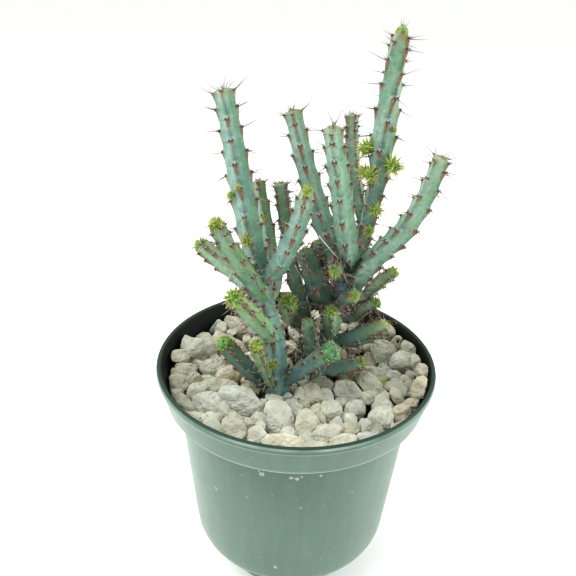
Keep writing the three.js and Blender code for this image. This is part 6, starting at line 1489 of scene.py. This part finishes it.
def shown_stone(i, sub, near_stems):
    """A broken stone with a given outline from the front, and a body behind it that fills the bed."""
    cen, kind, poly = OUTLINES[i]
    cen = np.array(cen)
    rng = np.random.default_rng(3000 + i)
    D, T = ICO[sub]
    w = unit(CAM - cen)
    k = (D @ C_FWD) / (w @ C_FWD)
    F = D - w * k[:, None]
    du, dv = F @ C_RIGHT, F @ C_UP
    flat = np.maximum(np.hypot(du, dv), 1e-3)
    q = np.array(poly)
    ru, rv = np.ptp(q[:, 0]) / 2, np.ptp(q[:, 1]) / 2
    r_out = outline_radius(q * 1.065, np.arctan2(dv, du)) / flat
    thin = kind == "k"
    b = float(np.clip(1.10 * math.sqrt(ru * rv), 2.4, 6.8)) * (0.28 if thin else 1.0)
    c = max(math.sqrt(max((1.25 * rv) ** 2 - (0.457 * b) ** 2, 0.2)) / 0.889, 0.8 * rv)
    a = 1.5 * ru
    yaw = rng.uniform(-0.35, 0.35)
    ex = D[:, 0] * math.cos(yaw) + D[:, 1] * math.sin(yaw)
    ey = -D[:, 0] * math.sin(yaw) + D[:, 1] * math.cos(yaw)
    r_body = 1 / (np.abs(ex / a) ** 2.5 + np.abs(ey / b) ** 2.5 + np.abs(D[:, 2] / c) ** 2.5) ** 0.4
    P = 52.0
    inv = r_out ** -P + r_body ** -P
    r = inv ** (-1 / P)
    # broken faces, mostly on the side that shows
    for n_face in range(int(rng.integers(11, 17))):
        n = unit(rng.normal(size=3) + w * rng.uniform(0.2, 1.3) + np.array([0, 0, 0.5]))
        f = D @ n
        reach = float(np.max(r * f))
        front = max(float(n @ w), 0.0)
        at = reach * (1 - rng.uniform(0.0, 0.04) - rng.uniform(0.03, 0.30) * front)
        inv = inv + np.where(f > 0.05, (at / np.maximum(f, 0.05)) ** -P, 0)
        r = inv ** (-1 / P)
    # let it fill its outline again
    ang = np.mod(np.arctan2(dv, du), 2 * np.pi)
    want = outline_radius(q * 1.03, (np.arange(16) + 0.5) * np.pi / 8)
    got = np.array([np.max((r * flat)[(ang // (np.pi / 8)).astype(int) == m_], initial=0.5) for m_ in range(16)])
    grow = float(np.clip(np.mean(want / got) * 1.04, 1.0, 1.42))
    r = r * grow
    inv = r ** -P
    rel = near_stems[:, :3] - cen
    dist = np.linalg.norm(rel, axis=1)
    for m in np.where(dist < 18)[0]:
        at = max(dist[m] - near_stems[m, 3] - 0.15, 0.3)
        f = D @ (rel[m] / dist[m])
        inv += np.where(f > 0.05, (at / np.maximum(f, 0.05)) ** -P, 0)
    x, y, z = cen
    f = -D[:, 2]
    floor_z = RIM_HEIGHT - BAND_H + 1.15 if math.hypot(x, y) + 0.8 * a > 43 else 75.2
    inv += np.where(f > 0.02, (max(z - floor_z, 0.3) / np.maximum(f, 0.02)) ** -P, 0)
    rw = inner_radius(max(z, RIM_HEIGHT - BAND_H + 2)) - 0.35
    A = D[:, 0] ** 2 + D[:, 1] ** 2
    B = x * D[:, 0] + y * D[:, 1]
    C = min(x * x + y * y - rw * rw, -4.0)
    wall = (-B + np.sqrt(np.maximum(B * B - A * C, 0.01))) / np.maximum(A, 1e-6)
    inv += np.where(A > 1e-6, np.maximum(wall, 0.2) ** -P, 0)
    r = inv ** (-1 / P)
    return cen, kind, D, T, r, math.sqrt(ru * rv), c, rng


def stone(i, sub, near_stems, own):
    if i in OUTLINES:
        cen, kind, D, T, r, size, c, rng = shown_stone(i, sub, near_stems)
        return finish_stone(i, cen, kind, D, T, r, size, c, rng)
    x, y, z, a, b, c, yaw, kind = STONES[i]
    rng = np.random.default_rng(900 + i)
    D, T = ICO[sub]
    if SUNK[i]:
        z -= 2.2
    yaw += rng.uniform(-12, 12)
    a, b, c = a * GROW, b * GROW * rng.uniform(0.9, 1.08), c * GROW_UP
    cs, sn = math.cos(math.radians(yaw)), math.sin(math.radians(yaw))
    tilt = Matrix.Rotation(rng.uniform(-0.30, 0.30), 3, "X") @ Matrix.Rotation(rng.uniform(-0.30, 0.30), 3, "Y")
    E = D @ np.array(tilt)
    dx, dy, dz = E[:, 0] * cs + E[:, 1] * sn, -E[:, 0] * sn + E[:, 1] * cs, E[:, 2]
    lump = 1 + 0.07 * np.sin(3.1 * dx + 2.3 * dz + i) + 0.07 * np.sin(2.7 * dy - 3.3 * dz + 2 * i)
    r = lump / (np.abs(dx / a) ** 2.6 + np.abs(dy / b) ** 2.6 + np.abs(dz / c) ** 2.6) ** (1 / 2.6)
    cen = np.array([x, y, z])
    # broken faces
    P2 = 28.0
    inv = r ** -P2
    for k in range(int(rng.integers(11, 17))):
        n = unit(rng.normal(size=3))
        m = np.array([n[0] * cs + n[1] * sn, -n[0] * sn + n[1] * cs, n[2]])
        reach = math.sqrt((a * m[0]) ** 2 + (b * m[1]) ** 2 + (c * m[2]) ** 2)
        at = reach * rng.uniform(0.78, 0.94)
        f = E @ n
        inv += np.where(f > 0.05, (at / np.maximum(f, 0.05)) ** -P2, 0)
    r = inv ** (-1 / P2)
    P = 16.0
    inv = r ** -P
    for j in range(len(STONES)):
        if j == i:
            continue
        d = float(np.linalg.norm(CEN[j] - CEN[i]))
        if d > 24 or d > 1.4 * (max(STONES[i][3:6]) + max(STONES[j][3:6])):
            continue
        n, at, d = shared_face(i, j)
        at = max(at, 0.3 * SIZE[i])
        f = D @ n
        inv += np.where(f > 0.05, (at / np.maximum(f, 0.05)) ** -P, 0)
    rel = near_stems[:, :3] - cen
    dist = np.linalg.norm(rel, axis=1)
    for k in np.where(dist < 18)[0]:
        at = max(dist[k] - near_stems[k, 3] - 0.15, 0.3)
        f = D @ (rel[k] / dist[k])
        inv += np.where(f > 0.05, (at / np.maximum(f, 0.05)) ** -P, 0)
    if math.hypot(x, y) + 0.8 * a > 42:
        f = -D[:, 2]
        inv += np.where(f > 0.02, (max(z - (RIM_HEIGHT - BAND_H + 1.15), 0.3) / np.maximum(f, 0.02)) ** -P, 0)
    rw = inner_radius(max(z, RIM_HEIGHT - BAND_H + 2)) - 0.35
    A = D[:, 0] ** 2 + D[:, 1] ** 2
    B = x * D[:, 0] + y * D[:, 1]
    C = x * x + y * y - rw * rw
    wall = (-B + np.sqrt(np.maximum(B * B - A * C, 0.01))) / np.maximum(A, 1e-6)
    inv += np.where(A > 1e-6, np.maximum(wall, 0.2) ** -P, 0)
    r = inv ** (-1 / P)
    return finish_stone(i, cen, kind, D, T, r, SIZE[i], c, rng)


def finish_stone(i, cen, kind, D, T, r, size, c, rng):
    """Roughness, cracks, small holes and tone of a stone, with painted shade in its pits and holes and low down."""
    z = cen[2]
    Pt = cen + D * r[:, None]
    q = Pt * np.array([1, 1, 1.25])
    amp = min(1.0, size / 4.0)
    h = amp * (0.26 * fbm(q / 2.6, 3, 31 + i) + 0.17 * fbm(q / 0.9, 2, 77 + i))
    chip, _ = cells(q / 2.4, 60 + i)
    h = h + amp * 0.38 * (chip - 0.5)
    # creases where the stone broke
    crack = np.abs(fbm(q / 5.0, 2, 400 + i))
    h = h - 0.30 * amp * np.clip(1 - crack / 0.10, 0, 1)
    # small vesicles
    cd, cid = cells(q / 1.7, 5 + i)
    many = {"p": 0.50, "a": 0.22, "r": 0.25, "g": 0.20, "w": 0.16}.get(kind, 0.2)
    pit = np.where(cid < many, np.clip(1 - cd / (0.14 + 0.20 * cid / max(many, 0.01)), 0, 1), 0)
    h = h - 0.45 * pit ** 0.7
    r2 = np.maximum(r + h, 0.2)
    # painted shade: the pits are darkened
    dark = pit * 0.8
    for hx, hy, hz, hr, depth in HOLES.get(i, ()):
        hd = unit(np.array([hx, hy, hz]))
        ang = np.arccos(np.clip(D @ hd, -1, 1)) * r
        k = np.clip(1 - (ang / hr) ** 2, 0, 1)
        r2 = r2 - depth * k ** 0.6
        # painted shade: the large holes are darkened
        dark = np.maximum(dark, np.clip(k * 1.6, 0, 1))
    V = cen + D * np.maximum(r2, 0.2)[:, None]
    tone = np.array(TONES[kind])
    tone = tone * (1 + rng.uniform(-0.035, 0.035)) + rng.uniform(-0.006, 0.006) * np.array([1, 0.2, -1.2])
    lin = np.array(srgb(*np.clip(tone * np.array([0.950, 0.955, 0.955]), 0, 1))[:3])
    tint = lin * (1 + 0.14 * fbm(q / 5.0, 2, 13)[:, None] + 0.10 * vnoise(q / 1.8, 19)[:, None] * np.array([0.8, 1.0, 1.3]))
    # painted shade: the stones are darkened low down, between the other stones
    low = np.clip((min(z - 0.15 * c, 87.0) - V[:, 2]) / 3.5, 0, 1)
    tint = tint * (1 - 0.55 * low[:, None] * np.array([0.93, 1.0, 1.08]))
    green = np.zeros(len(V))
    for hx, hy, hz, hr in MOSS.get(i, ()):
        ang = np.arccos(np.clip(D @ unit(np.array([hx, hy, hz])), -1, 1)) * r
        green = np.maximum(green, np.clip((1 - (ang / hr) ** 2) * 2.0 + 0.5 * vnoise(V / 0.7, 3), 0, 1) * (ang < hr * 1.2))
    return V, T, tint, dark, green


# direction, radius and depth of the large holes in some stones, and direction and radius of mossy patches
HOLES = {
    59: [(-0.06, -0.52, 0.85, 0.91, 1.40), (0.76, -0.31, 0.58, 1.65, 2.40)],
    47: [(0.63, -0.53, -0.56, 0.52, 0.50)],
    38: [(-0.70, -0.55, -0.46, 0.51, 0.50)],
    8: [(-0.56, -0.76, 0.33, 0.45, 0.50)],
}
MOSS = {
    71: [(0.49, -0.86, 0.10, 1.64)],
}

# ------------------------------------------------------------------ build
# the second pot material is a shaded copy of the plastic for the inside and the lip: weak specular and no sheen
M_POT, M_POT_IN, M_MIX, M_PUMICE = mat_pot("pot_plastic", 0.36, 0.18), mat_pot("pot_plastic_inside", 0.11, 0.0), mat_mix(), mat_pumice()
M_SKIN, M_HORN, M_BUD = mat_skin(), mat_horn(), mat_bud()
M_STRAW = mat_dry("dry_spine", srgb(0.34, 0.25, 0.21), srgb(0.66, 0.53, 0.46))
M_ORANGE = mat_dry("young_spine", srgb(0.66, 0.42, 0.26), srgb(0.86, 0.70, 0.50))
M_PALE = mat_dry("bleached_spine", srgb(0.80, 0.78, 0.70), srgb(0.93, 0.92, 0.86))

pot = build_pot(M_POT, M_POT_IN)
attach(pot, "root")
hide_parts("pot")

stems = [Stem(*row) for row in STEMS]
by_name = {st.name: st for st in stems}
for st in stems:
    ob = build_skin(st, M_SKIN)
    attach(ob, "root")
    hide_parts(st.name)
    ob = build_armour(st, M_SKIN, M_HORN)
    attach(ob, "root")



def batch_stalk(batch, c, r):
    """The short neck that carries a side bud."""
    D, T3 = ICO[3]
    lob = 0.16 * vnoise(D * 2.2 + 3 * c, 14)
    batch.add(c + D * r * (1 + lob)[:, None], None, T3, mat=0, leaf=0.10, hue=0.4)


# rosettes at the tips and on the flanks
rng = np.random.default_rng(41)
buds, side_buds, needles, orange = Batch(), Batch(), Batch(), Batch()
for name, r in ROSETTES.items():
    st = by_name[name]
    C, T, U, V, W = (v[0] for v in st.A.at(np.array([st.L])))
    r = min(r, W * 0.62)
    b, d, l = rosette(buds, C - T * r * 0.45, T, r, rng, hue={"sprout_front": 0.85, "sprout_right_high": 0.7, "stem_front_right": 0.20, "stem_front_left": 1.0, "sprout_left": 0.15}.get(name, 0.32), leaves={"sprout_left": 110, "stem_front_right": 120, "stem_front_left": 90, "sprout_front": 90}.get(name, 56), spiky={"sprout_left": 0.05, "stem_front_right": 0.05, "stem_front_left": 0.30, "sprout_front": 0.25}.get(name, 0.45), fine={"sprout_left": 0.72, "stem_front_right": 0.72, "stem_front_left": 0.75, "sprout_front": 0.8}.get(name, 1.0))
    tubes(needles, b, d, l, 0.10, d * 0.0, age=0.1)
for name, s, ang, r in BUDS:
    st = by_name[name]
    p, n, T, x = (v[0] for v in st.frame(np.array([s]), np.array([float(ang)])))
    batch_stalk(side_buds, p + n * r * 0.12, r * 0.46)
    b, d, l = rosette(side_buds, p + n * r * 0.56, unit(n + 0.35 * T), r, rng, hue=0.62, leaves=50, spiky=0.85)
    tubes(orange, b, d, l * 1.25, 0.12, d * 0.0)
# short young leaves on the other tips
for st in stems:
    if st.name in ROSETTES:
        continue
    C, T, U, V, W = (v[0] for v in st.A.at(np.array([st.end])))
    if st.name == "trunk_right":
        rosette(side_buds, C - T * W * 0.42, T, W * 0.40, rng, hue=0.8, leaves=46, spiky=0.1, fine=0.8)
    else:
        rosette(side_buds, C - T * W * 0.17, T, W * 0.33, rng, hue=0.75, leaves=30, squat=0.6, spiky=0.25)
for nm, bt in (("bud_rosettes", buds), ("bud_rosettes_side", side_buds)):
    ob = bt.make(nm, [M_BUD])
    # the rosette at the front right is a cooler, waxier green
    co = np.zeros(len(ob.data.vertices) * 3, np.float32)
    ob.data.vertices.foreach_get("co", co)
    front_tip = by_name["stem_front_right"].A.C[-1]
    cool = np.clip((7.0 - np.linalg.norm(co.reshape(-1, 3) / MM - front_tip, axis=1)) / 2.0, 0, 0.8)
    ob.data.attributes.new("cool", "FLOAT", "POINT").data.foreach_set("value", cool.astype(np.float32))
    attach(ob, "root")
ob = needles.make("bud_needles", [M_HORN])
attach(ob, "root")
ob = orange.make("bud_young_spines", [M_ORANGE])
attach(ob, "root")

# dry spines caught between the stems and on the stones
rng = np.random.default_rng(77)
straw, pale = Batch(), Batch()
for (x, y, z), spread, n, length, white in TANGLES:
    b, d, l, bend = [], [], [], []
    for k in range(n):
        o = rng.normal(size=3) * np.array([1, 1, 0.6]) * spread * 0.55
        dd = unit(rng.normal(size=3) * np.array([1, 1, 0.7]) + [0, -0.3, 0.35])
        L1 = length * rng.uniform(0.6, 1.3)
        b.append(np.array([x, y, z]) + o - dd * L1 * 0.4)
        d.append(dd)
        l.append(L1)
        bend.append(rng.normal(size=3) * 0.15)
    tubes(pale if white else straw, b, d, l, 0.11, bend)
for p0, p1, thick in STRAWS:
    p0, p1 = np.array(p0), np.array(p1)
    tubes(pale, [p0], [p1 - p0], [float(np.linalg.norm(p1 - p0))], [thick], [rng.normal(size=3) * 0.05])
for nm, bt, mt in (("dry_spines", straw, M_STRAW), ("bleached_spines", pale, M_PALE)):
    ob = bt.make(nm, [mt])
    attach(ob, "root")

# pumice
near = stem_samples(stems)
for i in range(OWN_STONES):
    V, T, tint, dark, green = stone(i, 6, near, True)
    T = flip_to_out(V - V.mean(0), None, T)[1]
    name = "pumice_stone_%02d" % (i + 1)
    ob = make(name + "_rough", V, None, T, [M_PUMICE], None, {"tint": tint, "pit": dark, "green": green})
    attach(ob, "root")
    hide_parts(name)
rest = list(range(OWN_STONES, len(STONES))) + [i for i in OUTLINES if i >= len(STONES)]
groups = 5
for g in range(groups):
    bt = Batch()
    for i in rest[g::groups]:
        V, T, tint, dark, green = stone(i, 5, near, False)
        T = flip_to_out(V - V.mean(0), None, T)[1]
        bt.add(V, None, T, tint=tint, pit=dark, green=green)
    ob = bt.make("pumice_small_%d" % (g + 1), [M_PUMICE])
    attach(ob, "root")
    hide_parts("pumice_bed")


def disc(name, r_out, z_top, z_low, r_low, mat, amp, scale, step, seed, dip):
    """A filled round layer with a rough top, lower in the middle by dip."""
    m = int(r_out / step)
    n = 160
    ang = np.arange(n) * 2 * np.pi / n
    rr = np.linspace(0, r_out, m + 1)[1:]
    top = np.stack([np.outer(rr, np.cos(ang)), np.outer(rr, np.sin(ang)), np.full((m, n), z_top)], -1).reshape(-1, 3)
    h = amp * fbm(top / scale, 3, seed)
    rad = np.hypot(top[:, 0], top[:, 1])
    ease = np.clip((rad - 34.0) / 8.0, 0, 1)
    top[:, 2] += h - dip * (1 - ease * ease * (3 - 2 * ease))
    low = np.stack([r_low * np.cos(ang), r_low * np.sin(ang), np.full(n, z_low)], -1)
    V = np.vstack([top, low, [0, 0, z_top - dip], [0, 0, z_low]])
    i, j = np.meshgrid(np.arange(m), np.arange(n), indexing="ij")
    a, b = i * n + j, i * n + (j + 1) % n
    Q = np.stack([a, b, b + n, a + n], -1).reshape(-1, 4)
    jj = np.arange(n)
    T = np.vstack([np.stack([np.full(n, len(V) - 2), (jj + 1) % n, jj], 1), np.stack([np.full(n, len(V) - 1), m * n + jj, m * n + (jj + 1) % n], 1)])
    Q, T = flip_to_out(V, Q, T)
    return make(name, V, Q, T, [mat])


grit = disc("pumice_grit", 46.6, 84.9, 74.1, 42.0, M_MIX, 0.6, 1.6, 0.8, 7, 4.6)
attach(grit, "root")
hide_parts("pumice_bed")


def turned_solid(name, prof, mat, n=96):
    F = np.array(prof, float)
    ang = np.arange(n) * 2 * np.pi / n
    ring = F[1:-1]
    V = np.stack([np.outer(ring[:, 0], np.cos(ang)), np.outer(ring[:, 0], np.sin(ang)), np.repeat(ring[:, 1][:, None], n, 1)], -1).reshape(-1, 3)
    V += (0.12 * fbm(V / 1.7, 2, 3))[:, None] * np.array([0, 0, 1.0])
    m = len(ring)
    V = np.vstack([V, [0, 0, F[0, 1]], [0, 0, F[-1, 1]]])
    i, j = np.meshgrid(np.arange(m - 1), np.arange(n), indexing="ij")
    a, b = i * n + j, i * n + (j + 1) % n
    Q = np.stack([a, b, b + n, a + n], -1).reshape(-1, 4)
    jj = np.arange(n)
    T = np.vstack([np.stack([np.full(n, m * n), (jj + 1) % n, jj], 1), np.stack([np.full(n, m * n + 1), (m - 1) * n + jj, (m - 1) * n + (jj + 1) % n], 1)])
    Q, T = flip_to_out(V, Q, T)
    return make(name, V, Q, T, [mat])


mixp = [(0, 2.7), (25.5, 2.7), (28.8, 14.2), (30.0, 15.9), (35.6, 18.2), (36.9, 19.4), (37.5, 21.2), (38.0, 23.8), (40.0, 44), (42.2, 72.5), (42.0, 73.2),
        (34, 73.5), (24, 73.5), (12, 73.5), (0, 73.5)]
mix = turned_solid("potting_mix_body", mixp, M_MIX)
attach(mix, "root")
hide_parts("potting_mix")

# ------------------------------------------------------------------ floor and light
bpy.ops.mesh.primitive_plane_add(size=30, location=(0, 0, 0))
floor = bpy.context.object
floor.name = "floor"
floor.data.materials.append(mat_floor())

world = bpy.data.worlds.new("studio")
scene.world = world
world.use_nodes = True
wt = world.node_tree
bg = wt.nodes["Background"]
bg.inputs[0].default_value = (0.99, 1.0, 0.985, 1)
co = wt.nodes.new("ShaderNodeTexCoord")
sep = wt.nodes.new("ShaderNodeSeparateXYZ")
wt.links.new(co.outputs["Generated"], sep.inputs[0])
rng_y = wt.nodes.new("ShaderNodeMapRange")
rng_y.interpolation_type = "SMOOTHSTEP"
wt.links.new(sep.outputs["Y"], rng_y.inputs["Value"])
rng_y.inputs["From Min"].default_value = -1.0
rng_y.inputs["From Max"].default_value = 0.1
rng_y.inputs["To Min"].default_value = 0.58
rng_y.inputs["To Max"].default_value = 1.18
# a bright band over the horizon all round
band = wt.nodes.new("ShaderNodeMapRange")
band.interpolation_type = "SMOOTHSTEP"
wt.links.new(sep.outputs["Z"], band.inputs["Value"])
band.inputs["From Min"].default_value = 0.05
band.inputs["From Max"].default_value = 0.22
band.inputs["To Min"].default_value = 1.12
band.inputs["To Max"].default_value = 0.0
top = wt.nodes.new("ShaderNodeMath")
top.operation = "MAXIMUM"
wt.links.new(rng_y.outputs[0], top.inputs[0])
wt.links.new(band.outputs[0], top.inputs[1])
wt.links.new(top.outputs[0], bg.inputs[1])


def area(name, loc, target, size, power, color=(1, 1, 1)):
    d = bpy.data.lights.new(name, "AREA")
    d.shape = "SQUARE"
    d.size = size
    d.energy = power
    d.color = color
    o = bpy.data.objects.new(name, d)
    o.location = loc
    o.rotation_euler = (Vector(target) - Vector(loc)).to_track_quat("-Z", "Y").to_euler()
    scene.collection.objects.link(o)
    return o


area("key", (-0.45, -0.25, 0.90), (0, 0, 0.10), 0.6, 8.0, (1.0, 0.995, 0.98))
area("left_panel", (-0.9, 0.1, 0.30), (0, 0, 0.08), 0.8, 5.2)
area("right_panel", (0.9, 0.1, 0.35), (0, 0, 0.08), 0.8, 10.0)
scene.view_settings.view_transform = "Standard"
scene.view_settings.look = "None"
scene.view_settings.exposure = 0.0
